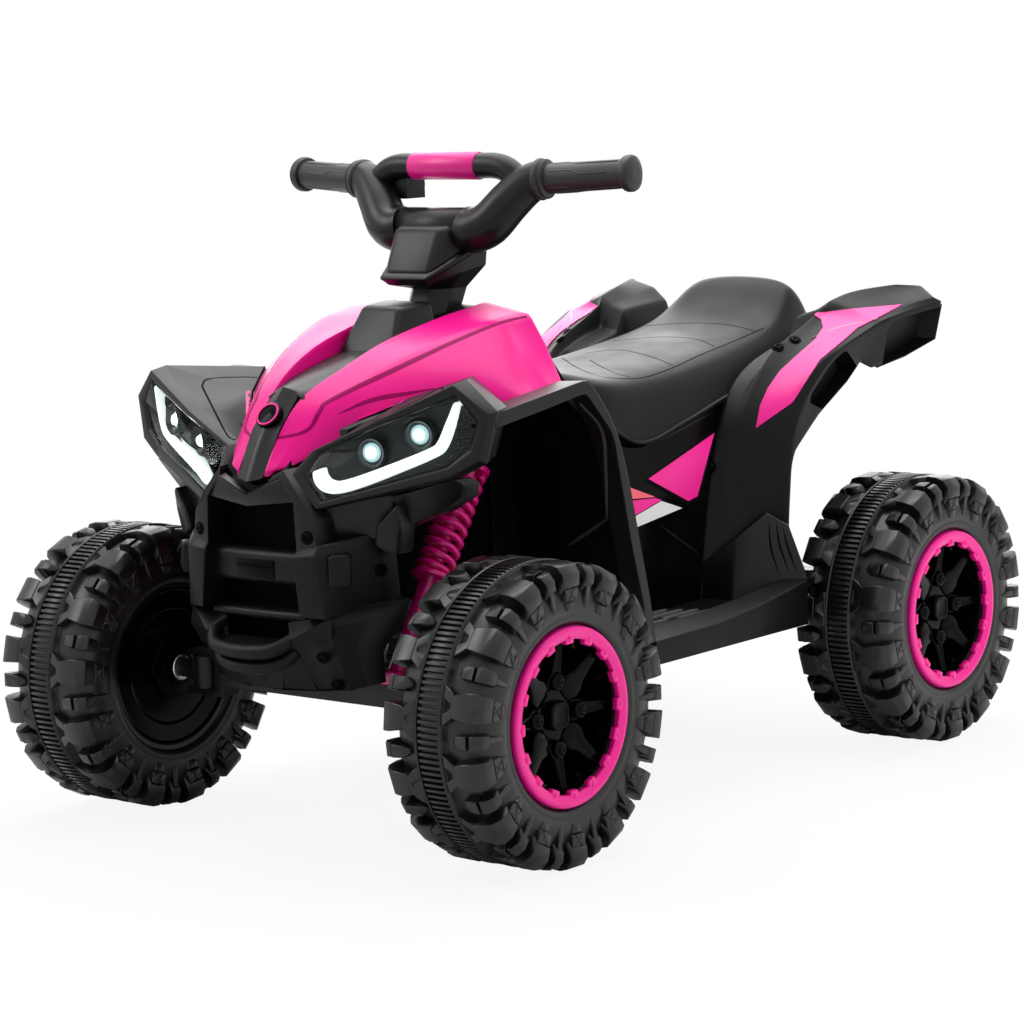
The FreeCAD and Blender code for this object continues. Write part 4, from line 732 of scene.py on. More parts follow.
def grown(mesh: bpy.types.Mesh, tree: bpy.types.NodeTree, values: dict[str, Any]) -> bpy.types.Mesh:
    """Runs a geometry tree on a mesh.

    Args:
        mesh: what goes into the tree.
        tree: the tree.
        values: the tree's inputs by name.

    Returns:
        The plain mesh that comes out.
    """
    seed = linked("seed", mesh)
    modifier = seed.modifiers.new("repeat", "NODES")
    modifier.node_group = tree
    for item in tree.interface.items_tree:
        if item.in_out == "INPUT" and item.name in values:
            modifier[item.identifier] = values[item.name]
    result = baked(seed)
    bpy.data.objects.remove(seed)
    return result


def finished(name: str, shape: Shape, how: Smoothing) -> bpy.types.Mesh:
    """Smooths a shape that isn't a piece by itself.

    Args:
        name: the mesh's name.
        shape: its raw form.
        how: its wall, bevel and subdivision.

    Returns:
        The mesh.
    """
    holder = linked(name, shape.mesh(name))
    smoothed(holder, how)
    mesh = holder.data
    bpy.data.objects.remove(holder)
    return mesh


def merged(name: str, meshes: Sequence[bpy.types.Mesh]) -> bpy.types.Mesh:
    """Puts the faces of several meshes into one.

    Args:
        name: the new mesh's name.
        meshes: what it takes in.

    Returns:
        The new mesh.
    """
    build = bmesh.new()
    for mesh in meshes:
        build.from_mesh(mesh)
    made = bpy.data.meshes.new(name)
    build.to_mesh(made)
    build.free()
    return made


def mirrored_mesh(mesh: bpy.types.Mesh) -> bpy.types.Mesh:
    """Copies a mesh to the other side of the middle plane.

    Args:
        mesh: what is copied.

    Returns:
        The copy.
    """
    copy = mesh.copy()
    copy.transform(Matrix.Scale(-1, 4, (1, 0, 0)))
    copy.flip_normals()
    return copy


def with_mirror(row: Sequence[Point]) -> list[Vector]:
    """Returns a row of the left side and its mirror image; a point in the middle comes once."""
    return [Vector(p) for p in row] + [Vector((-x, y, z)) for x, y, z in reversed(row) if x]


def heading(path: Sequence[Vector], i: int) -> Vector:
    """Returns the direction of a path at one of its points."""
    return (path[min(i + 1, len(path) - 1)] - path[max(i - 1, 0)]).normalized()


def blended(values: Sequence[float], share: float) -> float:
    """Returns the value at a share of the way along evenly spaced values.

    Args:
        values: one or more values.
        share: 0 for the first to 1 for the last.

    Returns:
        The blend of the two nearest.
    """
    if len(values) == 1:
        return values[0]
    spot = share * (len(values) - 1)
    low = min(int(spot), len(values) - 2)
    return values[low] + (values[low + 1] - values[low]) * (spot - low)


def revolved(profile: Sequence[tuple[float, float]], steps: int) -> Shape:
    """Turns a closed outline about the X axis.

    Args:
        profile: places along X and radii.
        steps: faces round the axis.

    Returns:
        The closed ring.
    """
    rings = []
    for x, radius in profile:
        rings.append([polar(x, radius, 360 * i / steps) for i in range(steps)])
    shape = Shape()
    shape.sheet(rings + rings[:1], wrap=True)
    return shape


def polar(x: float, radius: float, degrees: float) -> Vector:
    """Returns the point at a place along X, a radius and an angle from straight up."""
    turn = math.radians(degrees)
    return Vector((x, radius * math.sin(turn), radius * math.cos(turn)))


@dataclass
class Wheel:
    """One wheel: a moulded tyre with block lugs, a spoked rim and a bead ring, built about its own centre.

    The outer side looks along +X.
    """

    lug_count: int = 14
    rib_count: int = 150
    tab_count: int = 16
    steps: int = 112
    disc_x: float = -46.0
    cap_side: float = 13.0
    nut_radius: float = 33.0
    # Outer half of the tyre's section: place along the axle and radius.
    section: Profile = (
        (0.0, 144.6), (12.4, 144.6), (12.9, 148.4), (14.2, 149.2), (15.6, 148.2), (16.4, 144.0),
        (18.5, 140.6), (30.0, 139.2), (42.0, 136.0), (50.0, 129.5), (54.8, 120.0), (57.0, 109.0),
        (56.6, 101.0), (55.6, 98.6), (56.2, 97.2), (55.2, 93.0), (53.0, 89.6), (50.0, 88.6), (49.6, 84.0))
    root_flare: float = 0.5
    # Wide lug's root plate and its pressed-in triangle: place, radius and angle of each corner.
    root_outline: Table = ((15.8, 147.8, -7.6), (15.8, 147.8, 7.6), (21.0, 148.6, 6.8), (31.0, 148.8, 3.8),
                           (31.0, 148.8, -3.8), (21.0, 148.6, -6.8))
    recess: Table = ((17.6, 148.2, -3.2), (17.6, 148.2, 3.2), (27.5, 148.8, 0.9), (27.5, 148.8, -0.9))
    recess_sink: float = 2.6
    recess_floor: float = 0.8
    root_radius: float = 136.0
    # Slanted bars on the wide lug's ledges, and the turn of their middle and of their end.
    bar_rows: Table = ((61.0, 126.0, 53.0, 126.0, 0.5), (61.0, 113.5, 53.0, 113.5, 0.5))
    bar_turns: tuple[float, float] = (2.5, 5.0)
    # Cross rib of the centre band: place and radius of its top, then its foot radius and half angles.
    rib_tops: Profile = ((-12.6, 147.4), (-11.0, 148.6), (11.0, 148.6), (12.6, 147.4))
    rib_foot: float = 143.5
    rib_halves: tuple[float, float] = (0.75, 0.55)
    # Rim: the barrel's two halves about the closed inner disc, and the hub's face.
    barrel_outer: Profile = ((49.8, 84.0), (49.8, 75.6), (47.0, 74.2), (30.0, 71.5), (6.0, 69.0), (6.0, 12.0))
    barrel_inner: Profile = ((0.0, 12.0), (0.0, 60.0), (-1.6, 62.0), (-1.6, 80.0))
    barrel_edge: Profile = ((-49.6, 82.0), (-49.6, 84.0))
    hub_face: Profile = ((6.0, 0.2), (34.0, 0.2), (34.0, 26.0), (30.0, 31.0), (27.0, 38.0), (6.0, 40.0))
    # Inner hub: places behind the disc and shares of the hub's radius.
    hub_steps: Profile = ((2, 1.72), (-4, 1.66), (-6, 1.0))
    cap_corner: float = 0.62
    cap_steps: Profile = ((30.0, 1.08), (41.0, 1.04), (42.6, 0.94), (42.6, 0.78), (41.4, 0.70))
    # Spokes: radius, half width and outer face of each section.
    wide_spoke: Table = ((22, 8.0, 35.5), (31, 13.0, 38.0), (39, 13.5, 39.0), (47, 8.5, 40.5),
                         (62, 6.4, 43.5), (76, 5.4, 46.5))
    slim_spoke: Table = ((26, 11.5, 35.0), (36, 9.5, 37.5), (42, 6.6, 39.5), (60, 4.6, 43.0), (76, 3.6, 46.5))
    # A spoke's section: how far its foot and shoulder stand out, its face's inset and the shoulder's drop.
    spoke_foot: float = 1.5
    spoke_shoulder: float = 0.6
    spoke_inset: float = 1.6
    spoke_drop: float = 1.5
    nut: Profile = ((30.0, 0.2), (43.0, 0.2), (44.6, 2.0), (44.6, 3.6), (41.5, 6.2), (41.5, 7.6), (40.0, 8.6),
                    (30.0, 8.6))
    # Block between two spokes: places and half widths, and its inner and outer radius.
    block_steps: Profile = ((10.0, 6.0), (36.0, 5.0), (40.0, 4.4))
    block_radii: tuple[float, float] = (66.5, 73.0)
    # Bead ring, its tabs (place, share of the width, cut at the tip) and the bolt heads on them.
    ring_profile: Profile = ((50.0, 75.2), (50.0, 88.0), (54.6, 88.0), (57.0, 87.0), (58.0, 85.0),
                             (58.0, 82.0), (56.8, 79.6), (56.2, 77.0), (55.2, 75.2))
    tab_steps: Table = ((50.2, 1.0, 0.0), (55.4, 1.0, 0.0), (56.6, 0.86, 0.9))
    tab_halves: tuple[float, float] = (5.6, 6.4)
    tab_radii: tuple[float, float] = (71.0, 77.0)
    bolt: Profile = ((54.0, 0.1), (58.0, 0.1), (57.8, 1.4), (57.2, 2.3), (56.4, 2.7), (54.0, 2.7))
    bolt_radius: float = 76.0
    bush_profile: Profile = ((-60.0, 6.4), (-63.0, 6.4), (-63.0, 13.0), (-62.0, 14.0), (-60.0, 14.0))
    # Wide lug: outer place and radius, inner place and radius, half its angle in degrees.
    wide_rows: Table = (
        (30.0, 148.8, 29.0, 136.0, 3.7), (32.0, 149.7, 31.0, 136.0, 4.4), (46.0, 149.7, 44.0, 132.0, 5.3),
        (54.5, 147.4, 49.0, 128.0, 5.5), (60.2, 139.5, 51.0, 124.0, 5.3), (61.0, 127.4, 52.0, 117.0, 4.9))
    wide_ledges: tuple[Table, ...] = (
        ((60.4, 125.4, 50.0, 122.0, 4.7), (60.2, 114.0, 51.0, 112.0, 4.2)),
        ((59.4, 112.2, 50.0, 110.0, 3.7), (58.0, 103.4, 51.0, 103.0, 2.7)))
    narrow_ledges: tuple[Table, ...] = (
        ((26.0, 141.0, 26.0, 135.0, 0.8), (33.0, 147.2, 32.0, 135.0, 2.3), (46.5, 148.0, 44.0, 131.0, 2.6)),
        ((48.5, 146.2, 45.0, 130.0, 2.7), (54.0, 145.6, 47.0, 128.0, 2.8), (59.4, 138.6, 50.0, 124.0, 2.7),
         (60.2, 129.0, 51.0, 118.0, 2.4)),
        ((59.0, 127.6, 50.0, 124.0, 1.5), (58.6, 112.0, 51.0, 110.0, 1.2), (57.4, 105.0, 51.0, 105.0, 0.7)))

    def lug_part(self, rows: Sequence[Sequence[float]], lean: float = 0.0) -> Shape:
        """Returns a block that follows the tyre's shoulder.

        Args:
            rows: outer place and radius, inner place and radius and half angle of each section.
            lean: degrees by which the block's last section is turned.

        Returns:
            The closed block.
        """
        rings = []
        for k, (x, radius, in_x, in_radius, half) in enumerate(rows):
            turn = lean * k / (len(rows) - 1)
            foot = half + self.root_flare
            rings.append([polar(in_x, in_radius, turn - foot), polar(x, radius, turn - half),
                          polar(x, radius, turn + half), polar(in_x, in_radius, turn + foot)])
        return Shape().loft(rings)

    def wide_lug(self) -> Shape:
        """Builds a wide lug: a root plate with a pressed-in triangle, a shoulder block and two ledges.

        Returns:
            The lug.
        """
        lug = self.lug_part(self.wide_rows)
        top = lug.add_points(polar(*p) for p in self.root_outline)
        rim = lug.add_points(polar(*p) for p in self.recess)
        floor = lug.add_points(polar(x, r - self.recess_sink, a * self.recess_floor)
                               for x, r, a in self.recess)
        base = lug.add_points(polar(x, self.root_radius, a) for x, _, a in self.root_outline)
        lug.faces += [(top[0], top[1], rim[1], rim[0]), (top[1], top[2], rim[1]),
                      (top[2], top[3], rim[2], rim[1]), (top[3], top[4], rim[3], rim[2]),
                      (top[4], top[5], rim[0], rim[3]), (top[5], top[0], rim[0])]
        lug.faces += [(rim[i], rim[(i + 1) % 4], floor[(i + 1) % 4], floor[i]) for i in range(4)]
        lug.faces += [tuple(floor), tuple(base)]
        lug.faces += [(top[i], top[(i + 1) % 6], base[(i + 1) % 6], base[i]) for i in range(6)]
        for ledge in self.wide_ledges:
            lug.add(self.lug_part(ledge))
        for way in (-1, 1):
            middle, end = (way * turn for turn in self.bar_turns)
            lug.add(self.lug_part(self.bar_rows, end).moved(Matrix.Rotation(math.radians(middle), 4, "X")))
        return lug

    def narrow_lug(self) -> Shape:
        """Builds a narrow lug: two stepped blocks and a tapering rib on the side wall.

        Returns:
            The lug.
        """
        lug = Shape()
        for ledge in self.narrow_ledges:
            lug.add(self.lug_part(ledge))
        return lug

    def tyre(self) -> bpy.types.Mesh:
        """Builds the tyre: carcass, centre band with cross ribs, and both rows of lugs.

        Returns:
            The tyre's mesh.
        """
        half = list(self.section)
        outline = half + [(-x, r) for x, r in reversed(half[1:])]
        carcass = finished("carcass", revolved(outline, self.steps), Smoothing(sharp_degrees=50))
        wide, slim = self.rib_halves
        rib = Shape().loft([[polar(x, self.rib_foot, -wide), polar(x, r, -slim), polar(x, r, slim),
                             polar(x, self.rib_foot, wide)] for x, r in self.rib_tops])
        finish = Finishes.TYRE.material()
        parts = [carcass, grown(finished("rib", rib, Smoothing()), Repeat.RING.tree(),
                                {"Count": self.rib_count, "Finish": finish})]
        pitch = math.tau / self.lug_count
        edges = Smoothing(bevel=0.6, bevel_segments=1, bevel_degrees=30)
        for lug, phase in ((self.wide_lug(), 0.0), (self.narrow_lug(), pitch / 2)):
            for side, turn in ((lug, phase), (lug.mirrored(), phase + pitch / 4)):
                parts.append(grown(finished("lug", side, edges), Repeat.RING.tree(),
                                   {"Count": self.lug_count, "Phase": turn, "Finish": finish}))
        return merged("tyre", parts)

    def spoke(self, rows: Sequence[tuple[float, float, float]], depth: float, groove: float) -> Shape:
        """Returns one spoke that points straight up.

        Args:
            rows: radius, half width and outer face along the axle.
            depth: how thick the spoke is.
            groove: how deep its middle is sunk.

        Returns:
            The closed spoke.
        """
        rings = []
        for radius, half, x in rows:
            section = [(x - depth, -half - self.spoke_foot),
                       (x - self.spoke_drop, -half - self.spoke_shoulder), (x, -half + self.spoke_inset)]
            mirror = [(along, -across) for along, across in reversed(section)]
            rings.append([Vector((along, across, radius))
                          for along, across in [*section, (x - groove, 0.0), *mirror]])
        return Shape().loft(rings)

    def rim(self, hub_end: float, hub_radius: float, hub_sides: int) -> bpy.types.Mesh:
        """Returns the rim: barrel, closed inner disc, eight spokes, four nuts, cap and hub.

        Args:
            hub_end: where the inner hub ends along the axle.
            hub_radius: the inner hub's radius.
            hub_sides: how many flats the inner hub has.

        Returns:
            The mesh.
        """
        disc = [(self.disc_x + x, r) for x, r in self.barrel_inner]
        barrel = revolved([*self.barrel_outer, *disc, *self.barrel_edge], self.steps)
        hub = revolved(self.hub_face, steps=64)
        stations = [(self.disc_x + x, hub_radius * share) for x, share in self.hub_steps]
        hub.add(Shape().loft([[polar(x, r, 360 * (i + 0.5) / hub_sides) for i in range(hub_sides)]
                              for x, r in [*stations, (hub_end, hub_radius)]]))
        k = self.cap_corner
        corners = ((1, k), (k, 1), (-k, 1), (-1, k), (-1, -k), (-k, -1), (k, -1), (1, -k))
        hub.add(Shape().loft([[Vector((x, self.cap_side * s * u, self.cap_side * s * v)) for u, v in corners]
                              for x, s in self.cap_steps]))
        finish = Finishes.GLOSS_BLACK.material()
        soft = Smoothing(bevel=0.8, bevel_segments=2, bevel_degrees=22)
        wide = self.spoke(self.wide_spoke, depth=13.0, groove=0.0)
        slim = self.spoke(self.slim_spoke, depth=14.0, groove=2.2)
        nut = revolved(self.nut, steps=16).moved(Matrix.Translation((0, 0, self.nut_radius)))
        low, high = self.block_radii
        block = Shape().loft([[Vector((x, -w, low)), Vector((x, -w, high)), Vector((x, w, high)),
                               Vector((x, w, low))] for x, w in self.block_steps])
        parts = [finished("barrel", barrel, Smoothing(bevel=0.7)), finished("hub", hub, soft)]
        repeats = ((wide, 4, math.pi / 4), (slim, 4, 0.0), (nut, 4, 0.0), (block, 8, math.pi / 8))
        for shape, count, phase in repeats:
            parts.append(grown(finished("rim_part", shape, soft), Repeat.RING.tree(),
                               {"Count": count, "Phase": phase, "Finish": finish}))
        return merged("rim", parts)

    def bead_ring(self) -> bpy.types.Mesh:
        """Builds the bead ring with its inward tabs, each with a domed bolt head.

        Returns:
            The ring's mesh.
        """
        ring = revolved(self.ring_profile, steps=128)
        tip, foot = self.tab_halves
        low, high = self.tab_radii
        tab = Shape().loft([[Vector((x, -tip * w, low + s)), Vector((x, -foot * w, high)),
                             Vector((x, foot * w, high)), Vector((x, tip * w, low + s))]
                            for x, w, s in self.tab_steps])
        head = revolved(self.bolt, steps=12)
        finish = Finishes.PINK_SATIN.material()
        parts = [finished("ring", ring, Smoothing(bevel=0.5, bevel_degrees=30))]
        for shape in (tab, head.moved(Matrix.Translation((0, 0, self.bolt_radius)))):
            parts.append(grown(finished("tab", shape, Smoothing(bevel=0.5)), Repeat.RING.tree(),
                               {"Count": self.tab_count, "Finish": finish}))
        return merged("ring", parts)

    def bush(self) -> Shape:
        """Returns the plated bush at the inner end of a front hub."""
        return revolved(self.bush_profile, steps=40)


@dataclass
class WheelSet:
    """The four wheels on their bodies."""

    track: float = 528.0
    base: float = 688.0
    centre_z: float = 150.0
    wheel: Wheel = field(default_factory=Wheel)

    def set_down(self, mesh: bpy.types.Mesh, name: str, left: bool, front: bool, finish: Finish,
                 node: str | None) -> bpy.types.Object:
        """Places a copy of a wheel's mesh at one corner.

        Args:
            mesh: built about the wheel's centre, outer side along +X.
            name: the piece's name.
            left: whether it is on the rider's left.
            front: whether it is in front.
            finish: its surface.
            node: the CAD node that it replaces.

        Returns:
            The piece.
        """
        copy = mesh.copy() if left else mirrored_mesh(mesh)
        side = 1 if left else -1
        end = -1 if front else 1
        copy.transform(Matrix.Translation(
            Vector((side * self.track / 2, end * self.base / 2, self.centre_z)) * MM))
        body = Body[f"WHEEL_{'FRONT' if front else 'REAR'}_{'LEFT' if left else 'RIGHT'}"]
        return placed(linked(name, copy), finish, body, (node,) if node else ())

    def build(self) -> None:
        """Builds one wheel of each kind and sets the copies on their bodies."""
        tyre, ring = self.wheel.tyre(), self.wheel.bead_ring()
        bush = finished("bush", self.wheel.bush(), Smoothing(bevel=0.4))
        rims = {True: self.wheel.rim(hub_end=-62.0, hub_radius=20.0, hub_sides=6),
                False: self.wheel.rim(hub_end=-89.4, hub_radius=20.0, hub_sides=24)}
        for front in (True, False):
            for left in (True, False):
                corner = f"{'front' if front else 'rear'}_{'left' if left else 'right'}"
                self.set_down(tyre, f"tread_{corner}", left, front, Finishes.TYRE, f"tyre_{corner}")
                self.set_down(rims[front], f"spokes_{corner}", left, front, Finishes.GLOSS_BLACK,
                              f"rim_{corner}")
                self.set_down(ring, f"pink_ring_{corner}", left, front, Finishes.PINK_SATIN,
                              f"bead_ring_{corner}")
                if front:
                    self.set_down(bush, f"hub_bush_{corner}", left, front, Finishes.STEEL, None)


def cad_piece(name: str, node: str, finish: Finish, body: Body, bevel: float,
              sharp: float = 40.0) -> bpy.types.Object:
    """Makes a piece from a copy of a CAD node, its edges rounded and its faces smooth.

    Args:
        name: the piece's name.
        node: the node that it copies and replaces.
        finish: its surface.
        body: what carries it.
        bevel: the edge radius.
        sharp: degrees above which an edge stays sharp.

    Returns:
        The piece.
    """
    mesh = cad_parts[node].data.copy()
    build = bmesh.new()
    build.from_mesh(mesh)
    bmesh.ops.remove_doubles(build, verts=build.verts, dist=CAD_MERGE_MM * MM)
    bmesh.ops.dissolve_limit(build, angle_limit=math.radians(CAD_FLAT_DEGREES), verts=build.verts,
                             edges=build.edges)
    build.to_mesh(mesh)
    build.free()
    piece = linked(name, mesh)
    smoothed(piece, Smoothing(bevel=bevel, bevel_segments=3, bevel_degrees=22, sharp_degrees=sharp))
    return placed(piece, finish, body, (node,))


@dataclass
class Studio:
    """Plain pale floor, white surround, soft lamps and the photograph's camera."""

    azimuth: float = 39.35
    elevation: float = 7.94
    distance: float = 3589.6
    target: tuple[float, float, float] = (-28.1, 0.0, 281.8)
    roll: float = -1.864
    focal_pixels: float = 3275.7
    image_pixels: int = 1024
    sensor: float = 36.0
    floor_side: float = 12000.0
    floor_glow: float = 0.9
    gloss_share: float = 1.0
    shadow_reach: tuple[float, float] = (700.0, 1500.0)
    far_clip: float = 50000.0
    # Share of the white surround's light that reaches dull faces.
    fill_light: float = 0.22
    floor_colour: str = "#f4f4f4"
    middle: Point = (0, 0, 300)
    # Lamps: name, place, aim, width and height, watts, and whether glossy faces show them.
    lamps: tuple[tuple[str, Point, Point, tuple[float, float], float, bool], ...] = (
        ("top_softbox", (-300, 500, 2600), middle, (2600, 2600), 75, True),
        ("back_softbox", (-1900, 2600, 1300), middle, (3000, 2000), 45, True),
        ("left_softbox", (2600, 900, 1500), middle, (1400, 1600), 34, False),
        ("front_softbox", (-1900, -1800, 2300), (0, -100, 450), (1300, 1300), 30, True))

    def axes(self) -> tuple[Vector, Vector, Vector]:
        """Works out the camera's right, up and back directions.

        Returns:
            The three directions.
        """
        turn, rise, roll = (math.radians(a) for a in (self.azimuth, self.elevation, self.roll))
        back = Vector((math.sin(turn) * math.cos(rise), -math.cos(turn) * math.cos(rise), math.sin(rise)))
        flat = Vector((math.cos(turn), math.sin(turn), 0))
        tall = back.cross(flat)
        right = flat * math.cos(roll) + tall * math.sin(roll)
        return right, back.cross(right), back

    def place(self) -> Vector:
        """Returns the camera's place in millimetres."""
        return Vector(self.target) + self.axes()[2] * self.distance

    def ray(self, pixel: Point) -> Vector:
        """Works out the direction from the camera through a pixel of the photograph.

        Args:
            pixel: place on the photograph.

        Returns:
            The direction.
        """
        right, up, back = self.axes()
        across = (pixel[0] - self.image_pixels / 2) / self.focal_pixels
        down = (pixel[1] - self.image_pixels / 2) / self.focal_pixels
        return (right * across - up * down - back).normalized()

    def camera(self) -> None:
        """Adds the camera and makes it the scene's own."""
        data = bpy.data.cameras.new("photo_camera")
        data.sensor_width = self.sensor
        data.lens = self.focal_pixels * self.sensor / self.image_pixels
        data.clip_end = self.far_clip * MM
        right, up, back = self.axes()
        camera = bpy.data.objects.new("photo_camera", data)
        look = Matrix((right, up, back)).transposed().to_4x4()
        camera.matrix_world = Matrix.Translation(self.place() * MM) @ look
        bpy.context.scene.collection.objects.link(camera)
        bpy.context.scene.camera = camera

    def lamp(self, name: str, place: Point, aim: Point, size: tuple[float, float], power: float,
             mirrored: bool) -> None:
        """Adds a soft rectangular lamp.

        Args:
            name: the lamp's name.
            place: its centre.
            aim: the point it looks at.
            size: its width and height.
            power: in watts.
            mirrored: whether glossy faces show the lamp itself.
        """
        data = bpy.data.lights.new(name, "AREA")
        data.shape = "RECTANGLE"
        data.size, data.size_y = size[0] * MM, size[1] * MM
        data.energy = power
        lamp = bpy.data.objects.new(name, data)
        look = (Vector(aim) - Vector(place)).to_track_quat("-Z", "Y").to_matrix().to_4x4()
        lamp.matrix_world = Matrix.Translation(Vector(place) * MM) @ look
        lamp.visible_camera = False
        lamp.visible_glossy = mirrored
        bpy.context.scene.collection.objects.link(lamp)

    def surround(self) -> None:
        """Makes the world white where it is seen, and dimmer where it lights the object."""
        world = bpy.data.worlds.new("white_surround")
        bpy.context.scene.world = world
        world.use_nodes = True
        tree = world.node_tree
        tree.nodes.clear()
        path = add_node(tree, "ShaderNodeLightPath")
        sides = add_node(tree, "ShaderNodeMath", {"operation": "MAXIMUM"},
                         {0: path.outputs["Is Camera Ray"], 1: path.outputs["Is Transmission Ray"]})
        gloss = add_node(tree, "ShaderNodeMath", {"operation": "MULTIPLY"},
                         {0: path.outputs["Is Glossy Ray"], 1: self.gloss_share})
        seen = add_node(tree, "ShaderNodeMath", {"operation": "MAXIMUM"},
                        {0: sides.outputs[0], 1: gloss.outputs[0]})
        strength = add_node(tree, "ShaderNodeMapRange", None,
                            {"Value": seen.outputs[0], 3: self.fill_light, 4: 1.0})
        light = add_node(tree, "ShaderNodeBackground", None,
                         {"Color": linear("#ffffff"), "Strength": strength.outputs[0]})
        add_node(tree, "ShaderNodeOutputWorld", None, {"Surface": light.outputs[0]})

    def floor(self) -> None:
        """Adds the pale floor, white to the camera but for the object's own shadow."""
        half = self.floor_side / 2
        sheet = Shape()
        sheet.sheet([[(-half, -half, 0), (half, -half, 0)], [(-half, half, 0), (half, half, 0)]])
        floor = linked("studio_floor", sheet.mesh("studio_floor"))
        made = bpy.data.materials.new("pale_studio_floor")
        made.use_nodes = True
        tree = made.node_tree
        tree.nodes.clear()
        shader = add_node(tree, "ShaderNodeBsdfDiffuse", None, {"Color": linear(self.floor_colour)})
        path = add_node(tree, "ShaderNodeLightPath")
        white = add_node(tree, "ShaderNodeEmission", None, {"Color": linear("#ffffff"), "Strength": 1.0})
        place = add_node(tree, "ShaderNodeTexCoord").outputs["Object"]
        away = add_node(tree, "ShaderNodeVectorMath", {"operation": "LENGTH"}, {0: place})
        fade = add_node(tree, "ShaderNodeMapRange", {"interpolation_type": "SMOOTHSTEP"},
                        {"Value": away.outputs["Value"], 1: self.shadow_reach[0] * MM,
                         2: self.shadow_reach[1] * MM, 3: self.floor_glow, 4: 1.0})
        share = add_node(tree, "ShaderNodeMath", {"operation": "MULTIPLY"},
                         {0: path.outputs["Is Camera Ray"], 1: fade.outputs[0]})
        both = add_node(tree, "ShaderNodeMixShader", None,
                        {0: share.outputs[0], 1: shader.outputs[0], 2: white.outputs[0]})
        add_node(tree, "ShaderNodeOutputMaterial", None, {"Surface": both.outputs[0]})
        floor.data.materials.append(made)

    def build(self) -> None:
        """Sets up view settings, camera, lamps, surround and floor."""
        bpy.context.scene.view_settings.view_transform = "Standard"
        self.camera()
        self.surround()
        self.floor()
        for values in self.lamps:
            self.lamp(*values)
        LOG.info("studio set")


def smooth_path(points: Sequence[Point], steps: int) -> list[Vector]:
    """Samples a smooth curve through points.

    Args:
        points: the places it goes through.
        steps: samples between two neighbouring points.

    Returns:
        The samples, with both ends.
    """
    given = [Vector(p) for p in points]
    padded = [given[0] * 2 - given[1]] + given + [given[-1] * 2 - given[-2]]
    found = []
    for a, b, c, d in zip(padded, padded[1:], padded[2:], padded[3:]):
        for i in range(steps):
            t = i / steps
            found.append(((b * 2) + (c - a) * t + (a * 2 - b * 5 + c * 4 - d) * t ** 2
                          + (b * 3 - a - c * 3 + d) * t ** 3) / 2)
    return found + [given[-1]]


def tube(path: Sequence[Vector], radii: Sequence[float], sides: int = 24) -> Shape:
    """Returns a round bar along a path.

    Args:
        path: points along its middle.
        radii: radii at even shares of the path, blended between.
        sides: faces round it.

    Returns:
        The closed bar.
    """
    rings = []
    side = None
    for i, point in enumerate(path):
        ahead = heading(path, i)
        if side is None:
            side = ahead.orthogonal().normalized()
        side = (side - ahead * side.dot(ahead)).normalized()
        up = ahead.cross(side)
        radius = blended(radii, i / (len(path) - 1))
        rings.append([point + (side * math.cos(a) + up * math.sin(a)) * radius
                      for a in (math.tau * k / sides for k in range(sides))])
    return Shape().loft(rings)


def shell(grid: Sequence[Sequence[Point]], crisp_rows: dict[int, float] | None = None,
          crisp_columns: dict[int, float] | None = None) -> Shape:
    """Returns a sheet through control points, with some of its lines kept crisp.

    Args:
        grid: rows of control points.
        crisp_rows: crease weight by row number.
        crisp_columns: crease weight by column number.

    Returns:
        The sheet, without thickness.
    """
    shape = Shape()
    index = shape.sheet(grid)
    for row, weight in (crisp_rows or {}).items():
        shape.crease(index[row], weight)
    for column, weight in (crisp_columns or {}).items():
        shape.crease([line[column] for line in index], weight)
    return shape


@dataclass(frozen=True)
class Stroke:
    """A thin raised line: its width, how far it stands proud, and the share of the width at its ends."""

    width: float
    lift: float = 0.25
    taper: float = 1.0


